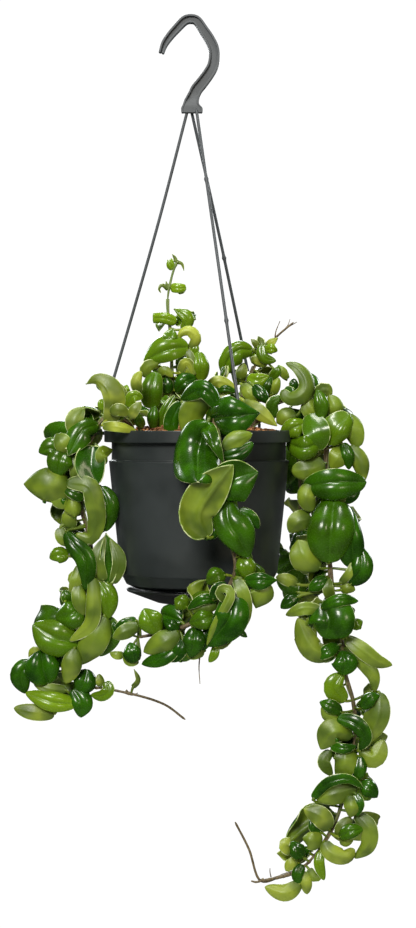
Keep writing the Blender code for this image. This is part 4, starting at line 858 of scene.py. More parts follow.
    def leaf(self, stem: Stem, root: int, out: Array, up: Array, length: float, width: float,
             form: Form) -> Leaf:
        """A leaf on the stem, its blade standing off by a short stalk.

        Args:
            stem: The stem.
            root: The number of the route's point that the leaf grows from.
            out: The way its midrib sets out.
            up: The way its dark side looks.
            length: Along the midrib, in millimetres.
            width: Across the blade, in millimetres.
            form: How it is bent.

        Returns:
            The leaf, its form eased where it would cross itself.
        """
        route = self.routes[stem.name]
        tangent = unit(route[min(root + 1, len(route) - 1)] - route[max(root - 1, 0)])
        share = root / (len(route) - 1)
        radius = stem.root_radius + (stem.tip_radius - stem.root_radius) * share
        aside = out - tangent * (out @ tangent)
        if np.linalg.norm(aside) < self.ALONG_STEM:
            aside = up - tangent * (up @ tangent)
        stand = self.STANDOFF + self.STALK_SHARE * length
        base = route[root] + unit(aside) * (radius + self.STANDOFF) + out * stand
        return Leaf(route[root], base, out, up, length, width, self.opened(form, length, width))

    def opened(self, form: Form, length: float, width: float) -> Form:
        """Eases the curls of a blade that would close on itself and cross itself.

        Args:
            form: How the blade is bent.
            length: Its length.
            width: Its width.

        Returns:
            The form with its curls eased where they need it.
        """
        room = self.ROOM * length / max(abs(form.bend), self.STRAIGHTEST)
        curls = []
        for curl in (form.curl_left, form.curl_right):
            curl = min(max(curl, -self.TIGHTEST), self.TIGHTEST)
            depth = (1 - math.cos(curl)) / abs(curl) * width / 2
            shut = form.bend * curl < 0 and depth > room
            curls.append(curl * room / depth if shut else curl)
        return replace(form, curl_left=curls[0], curl_right=curls[1])

    def keep(self, stem: Stem, leaf: Leaf, points: Array) -> None:
        """Adds a leaf that fits."""
        self.placed.append((stem.name, points, points.min(0), points.max(0)))
        self.leaves[stem.name].append(leaf)

    def varied(self, form: Form, chance: Array) -> Form:
        """A form changed a little by six draws from -1 to 1.

        Args:
            form: The form.
            chance: The draws.

        Returns:
            The changed form.
        """
        bend, left, right, twist, ripple, roll = self.FORM_CHANCE * chance
        return Form(form.bend * (1 + bend), form.curl_left * (1 + left), form.curl_right * (1 + right),
                    form.twist + twist, form.bulge, form.ripple + ripple, form.roll + roll)

    def place_spots(self, stem: Stem, rows: Sequence[tuple], rng: np.random.Generator) -> None:
        """Places listed leaves, each with six draws that vary its form.

        Args:
            stem: The stem that they grow from.
            rows: The values of their spots.
            rng: Where the draws come from.
        """
        for row in rows:
            self.place_spot(stem, Spot(*row), rng.uniform(-1, 1, 6))

    def place_spot(self, stem: Stem, spot: Spot, chance: Array) -> None:
        """Places a listed leaf, moved in depth, swept or shrunk by the least that clears it.

        Args:
            stem: The stem that it grows from.
            spot: Its place in the front view.
            chance: Six draws from -1 to 1 that vary its form.
        """
        route = self.routes[stem.name]
        flat = self.front_view(route)
        root = int(np.argmin(np.hypot(flat[:, 0] - spot.root_x, flat[:, 1] - spot.root_z)))
        dark_way = np.zeros(3)
        for rank, letter in enumerate(spot.dark):
            dark_way += np.array(Side[letter].value) * self.SIDE_FADE ** rank
        form = self.varied(spot.form, chance)
        reach = self.STALK_REACH + self.MIDDLE * spot.length
        flat_gap = math.hypot(spot.blade_x - flat[root][0], spot.blade_z - flat[root][1])
        lift = spot.ahead * self.LIFT_SHARE * math.sqrt(max(reach ** 2 - flat_gap ** 2, 0))
        best = None
        for shrink in self.SHRINK:
            for step in self.LIFTS:
                for sweep in self.SWEEPS:
                    middle = self.in_depth(spot.blade_x, spot.blade_z, route[root][1] - lift - step)
                    out = unit(middle - route[root])
                    out = turned(out, np.array([0.0, 1.0, 0.0]), math.radians(sweep))
                    up = turned(unit(dark_way - out * (dark_way @ out) + TINY), out, form.roll)
                    leaf = self.leaf(stem, root, out, up, spot.length * shrink, spot.width * shrink, form)
                    points = blade_points(leaf, self.ROWS, self.COLUMNS)
                    hard, soft = self.clashes(points, stem.name, root)
                    cost = hard * self.CLASH_COST + soft + abs(step) * self.SHIFT_COST
                    cost += (1 - shrink) * self.SHRINK_COST + (sweep != 0) * self.SWEEP_COST
                    if best is None or cost < best[0]:
                        best = (cost, leaf, points, hard, soft)
                    if hard + soft == 0:
                        break
                if best[3] + best[4] == 0:
                    break
            if best[3] == 0 and best[4] <= 1:
                break
        if best[3] == 0 and best[4] <= self.CROWDING:
            self.keep(stem, best[1], best[2])

    def front_view(self, points: Array) -> Array:
        """Where points show in the front view, at the depth of the pot's axis.

        Args:
            points: The points.

        Returns:
            Their places, as across and height.
        """
        share = VIEW_DISTANCE / (VIEW_DISTANCE + points[:, 1])
        across = VIEW_X + (points[:, 0] - VIEW_X) * share
        return np.column_stack([across, VIEW_Z + (points[:, 2] - VIEW_Z) * share])

    def in_depth(self, x: float, z: float, y: float) -> Array:
        """The point that shows at a place of the front view.

        Args:
            x: The place across.
            z: The place's height.
            y: The point's depth.

        Returns:
            The point.
        """
        share = (VIEW_DISTANCE + y) / VIEW_DISTANCE
        return np.array([VIEW_X + (x - VIEW_X) * share, y, VIEW_Z + (z - VIEW_Z) * share])

    def fill(self, stem: Stem, rng: np.random.Generator, wanted: int, usual: float, crowding: int,
             behind: bool) -> None:
        """Adds leaves to a stem, at even places and in chance directions.

        Args:
            stem: The stem.
            rng: Where the chances come from.
            wanted: How many leaves to add.
            usual: Their usual length, in millimetres.
            crowding: How many of a leaf's points may crowd its own stem's other leaves.
            behind: Whether only the stem's sides and back get them.
        """
        route = self.routes[stem.name]
        tangents, sides = carried_frames(route)
        first = int(self.FIRST_EXTRA / ROUTE_STEP)
        last = len(route) - int(stem.bare / ROUTE_STEP)
        got = 0
        for attempt in range(self.TRIES * wanted):
            chance = rng.uniform(0, 1, CHANCES)
            if got == wanted:
                break
            root = first + int((last - first) * ((attempt * GOLDEN) % 1.0))
            tangent = tangents[root]
            out = turned(sides[root], tangent, 2 * math.pi * chance[0])
            out = unit(out + tangent * self.FORWARD_LEAN)
            if behind and out[1] < self.FRONT_LIMIT and stem.name != "shoot_back":
                out = out * (1, -1, 1)
            up = tangent if (tangent[2] > 0) != (chance[1] < self.DARK_DOWN) else -tangent
            up = unit(up - out * (up @ out))
            form = COMMON_FORMS[int(chance[2] * len(COMMON_FORMS))]
            form = replace(form, bend=form.bend * chanced(self.BENDS, chance[5]),
                           curl_left=form.curl_left * chanced(self.CURLS, chance[6]),
                           curl_right=form.curl_right * chanced(self.CURLS, chance[7]))
            length = usual * chanced(self.LENGTHS, chance[3])
            width = length * chanced(self.WIDTHS, chance[4])
            for shrink in self.FILL_SHRINK:
                leaf = self.leaf(stem, root, out, up, length * shrink, width * shrink, form)
                points = blade_points(leaf, self.ROWS, self.COLUMNS)
                hard, soft = self.clashes(points, stem.name, root)
                if hard == 0 and soft <= crowding:
                    self.keep(stem, leaf, points)
                    got += 1
                    break


class Bend(Enum):
    """The slopes of half a drawn leaf towards the viewer, beside the midrib and at the margin.

    They are in radians. D is a dome, C a cup whose margin comes forward, F nearly flat, and S slopes
    away all along.
    """

    D = (0.35, -1.1)
    C = (-0.1, 0.9)
    F = (0.12, -0.35)
    S = (0.05, -0.8)


@dataclass(frozen=True)
class Half:
    """One half of a drawn leaf: its width in millimetres and its two slopes, as in Bend."""

    width: float
    near: float
    far: float


@dataclass(frozen=True)
class Drawn:
    """A leaf drawn as the front view shows it.

    midrib_pixels holds places from its base to its tip in the picture, and how far each stands in front of
    its stem, in millimetres. left and right are its halves as the viewer sees them with the tip up. dark
    says whether the dark side is seen, and fresh how much yellower and lighter the leaf is; on some leaves
    the lightening is painted light, where light and highlights fall on them.
    tip is how pointed it is, from 0, a round end, to 1.
    """

    midrib_pixels: tuple
    left: Half
    right: Half
    dark: bool
    fresh: float = 0.0
    tip: float = ROUND_TIP


def drawn(shows_dark: bool, bends: str, left: float, right: float, *midrib: float, fresh: float = 0.0,
          tip: float = ROUND_TIP) -> Drawn:
    """A drawn leaf whose halves have one of the usual bends.

    Args:
        shows_dark: Whether its dark side is seen.
        bends: The letters of its left and right halves' bends.
        left: The left half's width.
        right: The right half's width.
        midrib: The midrib's places, three numbers for each.
        fresh: How much yellower and lighter it is than its stem's other leaves; on some leaves the
            lightening is painted light.
        tip: How pointed it is.

    Returns:
        The leaf.
    """
    halves = [Half(width, *Bend[letter].value) for width, letter in zip((left, right), bends)]
    return Drawn(tuple(zip(midrib[::3], midrib[1::3], midrib[2::3])), *halves, shows_dark, fresh, tip)


dark = partial(drawn, True)
pale = partial(drawn, False)

# On some leaves a raised fresh is painted light: it lightens them where light and highlights fall on them.
DRAWN_LEFT = (
    dark("FF", 10, 9, 98, 425, 2, 82, 431, 9, 68, 456, 10, tip=0.8),
    pale("FF", 7, 6, 76, 436, 5, 75, 420, 8, 85, 406, 5, fresh=0.1, tip=0.8),
    dark("DD", 11, 10, 66, 449, 4, 60, 461, 12, 58, 476, 8, fresh=0.1),
    dark("FF", 6, 9, 66, 455, 3, 52, 449, 8, 39, 452, 5),
    pale("FF", 6, 7, 67, 453, 6, 62, 443, 11, 56, 434, 6),
    Drawn(((70, 500, 4), (50, 487, 12), (24, 484, 4)),
          Half(13, 0.2, -1.1), Half(15, 0.5, -1.2), False, tip=0.5),
    pale("SS", 7, 6, 72, 497, 3, 59, 499, 8, 66, 508, 5, fresh=-0.1),
    Drawn(((92, 446, 3), (91, 466, 7), (98, 484, 8)), Half(11, -0.1, 1.0), Half(12, -0.1, 0.9), True),
    pale("FF", 5, 4, 104, 464, 7, 102, 454, 10, 112, 450, 8),
    pale("FF", 4, 4, 74, 455, 3, 75, 467, 6, 73, 480, 5),
    Drawn(((67, 483, 8), (88, 486, 13), (94, 503, 14), (96, 522, 13), (90, 538, 11), (76, 534, 9)),
          Half(7.5, 0.05, -0.3), Half(6.5, 0.1, -0.3), False, tip=0),
    dark("DD", 8.5, 8.5, 101, 487, 3, 108, 505, 9, 106, 531, 6, fresh=0.1),
    pale("DD", 8, 8, 81, 508, 6, 73, 508, 10, 65, 510, 6),
    dark("FF", 4, 4, 83, 499, 8, 74, 494, 11, 64, 490, 8),
    dark("DD", 7, 8, 66, 533, 6, 74, 544, 12, 85, 557, 13, 88, 574, 12, 85, 590, 8),
    pale("FF", 4, 5, 60, 528, 3, 63, 538, 6, 72, 545, 4),
    pale("FF", 6, 5, 72, 528, 2, 70, 517, 4, 78, 509, 3),
    dark("DD", 6, 6, 68, 556, 1, 58, 555, 3, 50, 558, 1, fresh=0.35),
    pale("FF", 6, 4.5, 104, 580, 6, 98, 560, 10, 105, 536, 6, tip=0.7),
    dark("CC", 7, 7, 108, 583, 5, 109, 558, 6, 106, 533, 5, tip=0.7),
    pale("FF", 4, 6, 113, 583, 6, 118, 561, 10, 110, 538, 6, tip=0.6),
    dark("DD", 8, 8, 99, 581, 4, 107, 596, 9, 108, 619, 6, fresh=0.3),
    pale("DF", 6, 5, 78, 585, 8, 79, 601, 12, 84, 615, 9),
    pale("FF", 5, 4, 80, 566, 7, 76, 580, 10, 70, 592, 7),
    pale("FF", 6, 5, 93, 578, 10, 93, 602, 13, 90, 624, 13, 70, 641, 10),
    dark("DD", 11, 13, 82, 606, 4, 71, 615, 11, 56, 618, 6, fresh=0.1),
    dark("FF", 4, 4, 70, 602, 2, 66, 596, 4, 65, 590, 2),
    dark("DD", 14, 15, 80, 643, 5, 56, 638, 12, 33, 625, 6, fresh=0.3),
    pale("DD", 11, 10, 105, 617, 8, 95, 638, 13, 80, 664, 9),
    dark("FF", 7, 4, 105, 617, 3, 112, 634, 4, 100, 656, 3),
    pale("DD", 8, 7, 75, 649, 9, 71, 665, 13, 66, 683, 9),
    Drawn(((48, 683, 6), (43, 668, 11), (42, 650, 7)), Half(14, 1.0, -1.5), Half(13, 1.0, -1.5), True),
    pale("FF", 4, 4, 42, 655, 3, 35, 652, 5, 29, 657, 3, fresh=0.2),
    dark("DD", 8, 8, 33, 662, 3, 21, 674, 7, 25, 693, 4),
    dark("DD", 9, 9, 87, 670, 3, 84, 683, 7, 78, 694, 4),
    dark("DD", 7, 8, 75, 704, 6, 52, 702, 12, 26, 693, 6, fresh=0.7),
    pale("FF", 4, 4, 66, 690, 5, 50, 689, 8, 34, 684, 5),
    pale("FF", 6, 6, 54, 714, 3, 33, 712, 6, 14, 708, 2, fresh=0.1),
    dark("DD", 9, 8, 73, 690, 4, 81, 703, 8, 81, 717, 5),
    pale("FF", 3, 3, 101, 686, 2, 100, 681, 3, 99, 674, 2, fresh=0.4),
    dark("FF", 4, 4.5, 106, 682, 3, 109, 690, 5, 102, 696, 5, 91, 695, 3, fresh=0.4),
    pale("FF", 1.5, 1.8, 133, 687, 1, 138, 680, 2, 134, 669, 1, fresh=0.4, tip=1.0),
)
DRAWN_FRONT = (
    dark("FD", 6, 7, 218, 407, 10, 203, 390, 16, 181, 399, 12),
    pale("DD", 9, 9.5, 206, 397, 11, 193, 411, 15, 185, 438, 12, fresh=0.15, tip=0.5),
    Drawn(((207, 420, 10), (229, 417, 18), (260, 413, 10)), Half(16, 0.5, -1.1), Half(18, 0.3, -0.9),
          True, tip=0.8),
    Drawn(((208, 422, 28), (199, 448, 36), (198, 482, 22)),
          Half(18, 0.5, -1.0), Half(18, 0.35, -1.1), True, tip=-0.1),
    dark("FF", 7, 4, 201, 420, 14, 212, 441, 17, 224, 464, 12, tip=0.6),
    dark("FF", 5, 6, 181, 402, 4, 172, 421, 7, 173, 444, 3),
    pale("DF", 7, 5, 224, 449, 6, 238, 440, 9, 252, 434, 6),
    dark("FD", 6, 6, 224, 457, 5, 238, 453, 7, 253, 443, 4),
    Drawn(((212, 492, 9), (234, 479, 14), (258, 472, 12)), Half(14, -0.3, 0.4), Half(18, 0.3, -0.9),
          True, tip=0.5),
    Drawn(((207, 537, 9), (200, 511, 14), (233, 465, 18)), Half(16, -0.4, 1.0), Half(12, -0.5, 0.3),
          False, 0.0, 0.4),
    dark("DD", 6, 6, 217, 522, 4, 210, 532, 6, 202, 538, 3),
    dark("DD", 14, 12, 227, 502, 7, 228, 520, 14, 238, 537, 16, 248, 557, 9, fresh=0.2),
    dark("FF", 5, 5, 239, 511, 3, 249, 517, 5, 259, 528, 2),
    dark("DD", 7, 7, 242, 556, 4, 246, 567, 8, 247, 580, 4, fresh=0.25),
    dark("DD", 7, 7, 225, 575, 4, 216, 577, 8, 207, 583, 4, fresh=0.2),
    dark("FD", 5, 7, 245, 581, 7, 260, 580, 13, 277, 580, 8, tip=0.8),
    pale("FF", 10, 8, 255, 583, 5, 260, 592, 9, 256, 608, 5, fresh=-0.3, tip=0.7),
    pale("FF", 4.5, 4.5, 236, 579, 8, 243, 593, 12, 250, 616, 8),
    pale("FF", 3, 3, 224, 601, 14, 219, 592, 16, 226, 588, 18, 231, 595, 19, 224, 610, 19, 214, 627,
          17, 207, 645, 12),
    dark("FF", 3.5, 3, 213, 599, 9, 217, 588, 12, 226, 583, 10),
    dark("DD", 14, 11, 232, 590, 8, 229, 618, 18, 208, 646, 10),
    pale("FF", 3, 3, 243, 600, 6, 247, 613, 10, 241, 632, 6),
    dark("FF", 3, 4, 216, 600, 6, 203, 600, 11, 188, 609, 6),
    pale("FF", 4.5, 4, 216, 605, 5, 203, 608, 9, 193, 612, 5),
    dark("DD", 6.5, 6, 187, 607, 4, 181, 602, 8, 175, 599, 5, fresh=0.3),
    dark("DD", 7, 8, 213, 616, 8, 203, 620, 14, 190, 623, 9, fresh=0.15),
    dark("DD", 8, 8, 195, 628, 7, 194, 642, 13, 191, 657, 8, fresh=0.15),
    pale("FF", 5, 5, 204, 652, 4, 196, 652, 7, 187, 657, 4),
    dark("FF", 4, 4, 209, 628, 5, 206, 640, 8, 204, 650, 5),
    Drawn(((159, 632, 6), (150, 620, 12), (144, 609, 8)),
          Half(9, 0.3, -0.9), Half(9, 0.3, -0.9), True, 0.4),
    pale("SS", 5.5, 5, 138, 625, 6, 124, 632, 10, 113, 638, 6),
    dark("FF", 3, 3, 136, 620, 4, 124, 623, 7, 114, 629, 4),
    dark("FF", 3, 3, 120, 630, 3, 116, 626, 5, 114, 622, 3),
    dark("DD", 4.5, 4, 178, 630, 4, 171, 625, 7, 164, 621, 4),
    pale("SS", 7, 9, 178, 632, 6, 164, 643, 12, 144, 652, 7),
    dark("FF", 6, 5, 178, 646, 5, 163, 657, 9, 142, 664, 5),
    dark("DD", 7, 6.5, 134, 662, 7, 132, 652, 12, 130, 643, 7),
    pale("FF", 3, 2.5, 138, 660, 4, 130, 662, 6, 123, 657, 4),
    pale("FF", 3, 2.5, 123, 655, 3, 117, 655, 5, 110, 653, 3),
    dark("FF", 5, 5, 183, 640, 4, 180, 650, 8, 172, 662, 4),
    dark("FF", 3, 3, 216, 647, 4, 214, 655, 6, 209, 662, 3, fresh=0.4),
    dark("FF", 2, 2, 239, 630, 3, 243, 634, 5, 247, 637, 3),
)
DRAWN_RIGHT = (
    pale("FS", 5.5, 6, 282, 391, 8, 289, 398, 11, 299, 397, 13, 306, 389, 13, 305, 378, 12, 297, 368,
          10, 286, 363, 7),
    dark("FF", 4, 3.5, 285, 389, 5, 294, 394, 7, 302, 391, 6),
    dark("FF", 3, 3, 291, 381, 5, 294, 384, 6, 293, 391, 5),
    pale("SS", 7, 7, 318, 417, 5, 310, 408, 8, 309, 397, 6),
    pale("FF", 5, 6, 317, 397, 5, 324, 389, 7, 332, 394, 5),
    pale("SS", 6, 6, 334, 417, 4, 335, 406, 8, 329, 395, 5),
    dark("DD", 5.5, 5.5, 322, 418, 8, 321, 403, 12, 317, 390, 10, fresh=0.2),
    pale("SS", 7, 7, 296, 416, 6, 286, 417, 10, 277, 423, 6, fresh=0.1),
    # Painted light: the raised fresh of the dark leaves from here to the one at (320, 442) lightens them
    # where light falls on them.
    dark("DD", 8, 7, 306, 424, 6, 293, 428, 10, 281, 437, 6, fresh=0.35),
    Drawn(((309, 414, 7), (317, 432, 14), (322, 450, 9)), Half(10, -0.4, 0.3), Half(10, -0.4, 0.3),
          True, 0.3),
    Drawn(((328, 444, 7), (336, 429, 14), (349, 414, 11)),
          Half(11, -0.5, 0.2), Half(11, 0.35, -1.1), True, 0.3, tip=-0.2),
    pale("SS", 7.5, 8, 343, 415, 5, 353, 428, 9, 358, 447, 5, tip=-0.2),
    dark("DD", 9, 10, 320, 442, 7, 304, 448, 14, 287, 443, 8, fresh=0.3),
    pale("SF", 8.5, 8.5, 324, 463, 5, 308, 470, 9, 292, 471, 5, tip=-0.2),
    pale("SS", 8, 7, 343, 446, 4, 338, 457, 10, 331, 468, 6),
    dark("DD", 4.5, 4.5, 343, 444, 7, 348, 455, 11, 349, 469, 8),
    pale("SS", 6, 7, 349, 447, 5, 360, 460, 9, 364, 481, 6),
    Drawn(((304, 487, 8), (333, 482, 17), (366, 482, 10)),
          Half(10, 0.12, -0.35), Half(14, 0.5, -1.2), True, tip=0),
    pale("FS", 4, 6, 316, 490, 5, 332, 498, 9, 349, 495, 5),
    pale("SS", 7, 6.5, 312, 484, 10, 306, 497, 13, 312, 511, 8, tip=-0.2),
    dark("FS", 4, 5, 338, 500, 3, 350, 496, 6, 360, 489, 3),
    Drawn(((354, 567, 5), (351, 538, 12), (342, 508, 5)),
          Half(12, 0.3, -0.6), Half(9, 0.35, -1.1), True, tip=-0.6),
    dark("DD", 18, 18, 329, 562, 9, 331, 531, 19, 334, 501, 9, tip=-0.5),
    pale("SF", 8, 8, 311, 519, 4, 300, 521, 8, 289, 532, 5),
    pale("SS", 12, 11, 320, 568, 5, 305, 556, 11, 298, 540, 6),
    dark("DD", 8, 9, 351, 584, 6, 361, 568, 10, 361, 547, 6),
    pale("FF", 3, 3, 341, 583, 5, 350, 572, 9, 357, 555, 5),
    pale("FF", 4, 4, 331, 599, 3, 328, 588, 6, 330, 578, 3),
    pale("FF", 4, 4, 341, 590, 3, 348, 588, 6, 355, 590, 3),
    Drawn(((322, 603, 8), (329, 621, 16), (325, 638, 10)), Half(20, 0.5, -0.9), Half(18, 0.4, -1.0),
          True),
    dark("FF", 4.5, 4.5, 322, 608, 12, 340, 600, 17, 358, 601, 10),
    pale("FF", 5, 4, 320, 609, 10, 303, 608, 13, 286, 615, 8),
    pale("SS", 9, 8, 333, 655, 6, 312, 648, 11, 298, 618, 7),
    dark("FF", 4.5, 5, 338, 645, 5, 327, 652, 11, 316, 658, 7),
    dark("DD", 4.5, 4.5, 353, 628, 3, 357, 624, 6, 362, 621, 3, fresh=0.4),
    pale("FF", 5, 4, 297, 584, 2, 287, 579, 4, 276, 577, 2, fresh=0.3),
    dark("FF", 5, 5, 297, 592, 1, 287, 586, 3, 277, 578, 1),
    dark("DD", 4.5, 4.5, 297, 597, 2, 290, 601, 4, 281, 608, 2),
    dark("FF", 5, 5, 326, 578, 3, 318, 584, 6, 309, 590, 3),
    dark("DD", 10, 10, 344, 674, 8, 345, 663, 14, 342, 651, 8),
    pale("FF", 6, 6, 346, 638, 4, 362, 650, 9, 377, 661, 8, 392, 665, 5),
    pale("SS", 5.5, 5.5, 348, 648, 3, 361, 660, 6, 373, 675, 8, 375, 692, 6),
    dark("FF", 8, 7, 345, 701, 3, 334, 687, 7, 343, 673, 4, fresh=0.6),
    dark("DD", 5, 5, 341, 712, 7, 330, 706, 11, 320, 702, 7),
    pale("SF", 5, 4, 341, 714, 4, 330, 716, 7, 322, 706, 4),
    dark("DD", 5, 5, 362, 708, 8, 370, 699, 12, 379, 695, 8),
    pale("SS", 8, 11, 380, 693, 6, 379, 716, 12, 364, 745, 7),
    pale("SS", 8, 11, 352, 736, 5, 334, 732, 12, 321, 749, 6),
    dark("FD", 6, 5.5, 338, 718, 8, 356, 724, 14, 365, 737, 14, 360, 750, 9),
    pale("SS", 7, 8, 360, 751, 5, 374, 757, 10, 384, 740, 6),
    dark("FF", 3, 4, 331, 746, 8, 344, 748, 13, 356, 746, 8),
    pale("SS", 10, 9, 344, 747, 6, 345, 762, 12, 337, 777, 7),
    pale("FF", 5, 4, 330, 751, 4, 323, 762, 7, 332, 776, 4),
    dark("DD", 5.5, 5, 360, 757, 7, 359, 770, 11, 356, 781, 8),
    dark("FF", 4, 3.5, 313, 798, 8, 328, 783, 14, 348, 779, 15, 363, 788, 9),
    pale("SF", 8, 8, 356, 787, 5, 335, 794, 10, 317, 800, 6),
    dark("DD", 6, 7, 361, 783, 6, 369, 788, 10, 377, 797, 6),
    pale("SS", 7, 6, 349, 796, 8, 352, 807, 13, 350, 817, 9),
    dark("FF", 2.5, 3, 356, 794, 9, 361, 804, 12, 357, 816, 9),
    pale("FF", 8, 7, 329, 829, 4, 321, 816, 9, 304, 809, 5, fresh=0.3),
    dark("FF", 4, 3.5, 321, 832, 3, 314, 827, 5, 312, 818, 3),
    pale("SS", 7, 9, 320, 846, 5, 311, 840, 9, 303, 838, 5),
    dark("DD", 6, 6, 303, 857, 6, 297, 850, 10, 292, 842, 6),
    pale("FF", 4, 4, 291, 853, 3, 284, 845, 6, 290, 838, 3, fresh=0.3),
    pale("FF", 4, 4, 297, 862, 3, 291, 864, 5, 286, 871, 3, fresh=0.3),
    pale("FF", 5, 5, 338, 836, 3, 343, 827, 6, 351, 817, 3, fresh=0.3),
    dark("DD", 6, 5, 340, 837, 8, 350, 832, 12, 363, 829, 8),
    pale("FS", 2.5, 4, 340, 840, 4, 347, 841, 6, 353, 840, 4),
    pale("SS", 6.5, 6.5, 356, 814, 4, 368, 827, 9, 368, 845, 8, 355, 858, 4),
    pale("SS", 6.5, 6, 324, 842, 6, 329, 851, 10, 338, 856, 11, 347, 856, 10, 354, 849, 6, fresh=0.3,
          tip=-0.2),
    dark("FF", 4, 3.5, 320, 852, 4, 319, 865, 7, 324, 880, 4, fresh=0.5),
    pale("FF", 3, 3, 309, 869, 3, 315, 878, 5, 323, 873, 3),
    pale("FF", 4.5, 4.5, 302, 872, 3, 306, 884, 6, 307, 894, 3, fresh=0.3),
    dark("DD", 4.5, 4, 302, 865, 4, 297, 875, 7, 301, 885, 4),
    pale("SS", 6, 6.5, 300, 884, 5, 285, 893, 10, 265, 887, 5, fresh=0.3),
)
DRAWN_SHOOT_LEFT = (
    pale("FF", 5, 11, 107, 425, 6, 111, 404, 12, 107, 389, 13, 97, 381, 10, 86, 384, 6, fresh=0.35,
          tip=0.9),
    pale("FF", 5.5, 5, 122, 406, 5, 120, 393, 9, 114, 382, 6, fresh=0.25),
    dark("FF", 2.5, 2.5, 127, 394, 4, 126, 389, 5, 127, 385, 4),
    dark("FF", 2.5, 2.5, 104, 409, 3, 101, 404, 4, 102, 399, 3),
    pale("FF", 4, 5, 111, 413, 14, 119, 409, 18, 129, 415, 15, fresh=0.3),
    dark("FC", 3.5, 5, 127, 406, 9, 133, 395, 13, 143, 398, 11, fresh=-0.1),
    pale("FF", 4, 3.5, 130, 418, 16, 135, 410, 19, 141, 402, 16, fresh=0.3),
    pale("FF", 3.5, 3.5, 103, 426, 12, 119, 427, 20, 136, 431, 16, fresh=0.1),
    dark("DD", 3.5, 3.5, 142, 427, 10, 139, 420, 13, 137, 413, 10, fresh=-0.4),
    pale("FF", 4, 4, 139, 392, 3, 136, 382, 5, 141, 371, 3, fresh=-0.2),
)
DRAWN_UPRIGHT = (
    dark("DD", 2.8, 2.8, 173, 269, 0, 170, 264, 1, 168, 260, 0, fresh=0.3),
    pale("FF", 1, 1, 176, 262, 0, 175, 258, 0, 172, 254, 0, tip=1.0),
    pale("FF", 0.8, 0.8, 177, 262, 0, 182, 264, 0, 184, 271, 0, tip=1.0),
    dark("FF", 3.4, 3.2, 171, 288, 2, 178, 288, 4, 186, 288, 2, fresh=0.3, tip=-0.5),
    pale("FF", 1, 1, 168, 289, 0, 162, 285, 1, 159, 289, 1, 161, 293, 0),
    pale("FF", 0.9, 0.9, 169, 288, 0, 167, 285, 0, 166, 281, 0, tip=1.0),
    dark("DD", 4, 3.8, 176, 322, 3, 165, 318, 6, 153, 318, 3, fresh=0.25, tip=-0.7),
    dark("FD", 3, 6, 183, 329, 2, 186, 319, 5, 174, 309, 2, fresh=0.15, tip=1.0),
    dark("FD", 8.5, 11.5, 188, 347, 6, 168, 350, 12, 144, 361, 8, fresh=0.05, tip=0.4),
    dark("FF", 6, 5, 171, 346, 8, 171, 338, 11, 173, 328, 7, fresh=0.05, tip=1.0),
    pale("FF", 2.5, 2.5, 165, 341, 3, 169, 334, 4, 172, 328, 3, fresh=0.1),
    pale("SS", 4, 4, 190, 349, 3, 196, 339, 6, 190, 331, 7, 182, 333, 6, 177, 341, 4, fresh=0.5,
          tip=0.8),
    dark("DD", 6.8, 6.8, 201, 380, 4, 200, 366, 9, 198, 352, 6, fresh=0.15, tip=-0.2),
    dark("FF", 3, 3, 192, 354, 3, 195, 349, 4, 197, 344, 3),
    pale("FF", 3, 3, 180, 373, 6, 184, 363, 9, 190, 364, 9, 194, 377, 7, fresh=0.3),
    pale("FF", 3, 2.5, 180, 377, 4, 186, 369, 6, 192, 377, 5, fresh=0.3),
    pale("FF", 2.4, 2.4, 187, 350, 7, 192, 360, 9, 195, 375, 8, fresh=0.1),
    dark("DD", 7, 7, 195, 378, 8, 184, 383, 13, 176, 392, 9, fresh=-0.4),
    dark("FF", 8.5, 8, 151, 408, 10, 152, 390, 14, 156, 372, 10, fresh=-0.2, tip=-0.2),
    pale("FF", 4.5, 4, 146, 377, 8, 147, 367, 12, 159, 363, 9, fresh=-0.3),
    pale("FF", 3, 3, 159, 374, 6, 165, 370, 9, 173, 377, 7, fresh=-0.2),
    dark("FF", 4.5, 4.5, 167, 393, 3, 167, 385, 5, 166, 377, 3, fresh=-0.4),
    dark("DD", 4.2, 4, 154, 428, 12, 153, 417, 15, 155, 406, 12, fresh=-0.4),
    dark("FF", 3.5, 4, 160, 427, 8, 165, 411, 12, 175, 395, 9, fresh=-0.3),
)
DRAWN_CENTRE = (
    pale("FF", 4, 5, 206, 392, 4, 218, 381, 10, 237, 389, 7, fresh=0.3),
    dark("DD", 3, 2.6, 213, 392, 8, 225, 389, 12, 237, 392, 9, fresh=-0.5),
    pale("FF", 4.5, 4.5, 211, 396, 7, 223, 400, 10, 237, 401, 7, fresh=0.25),
)
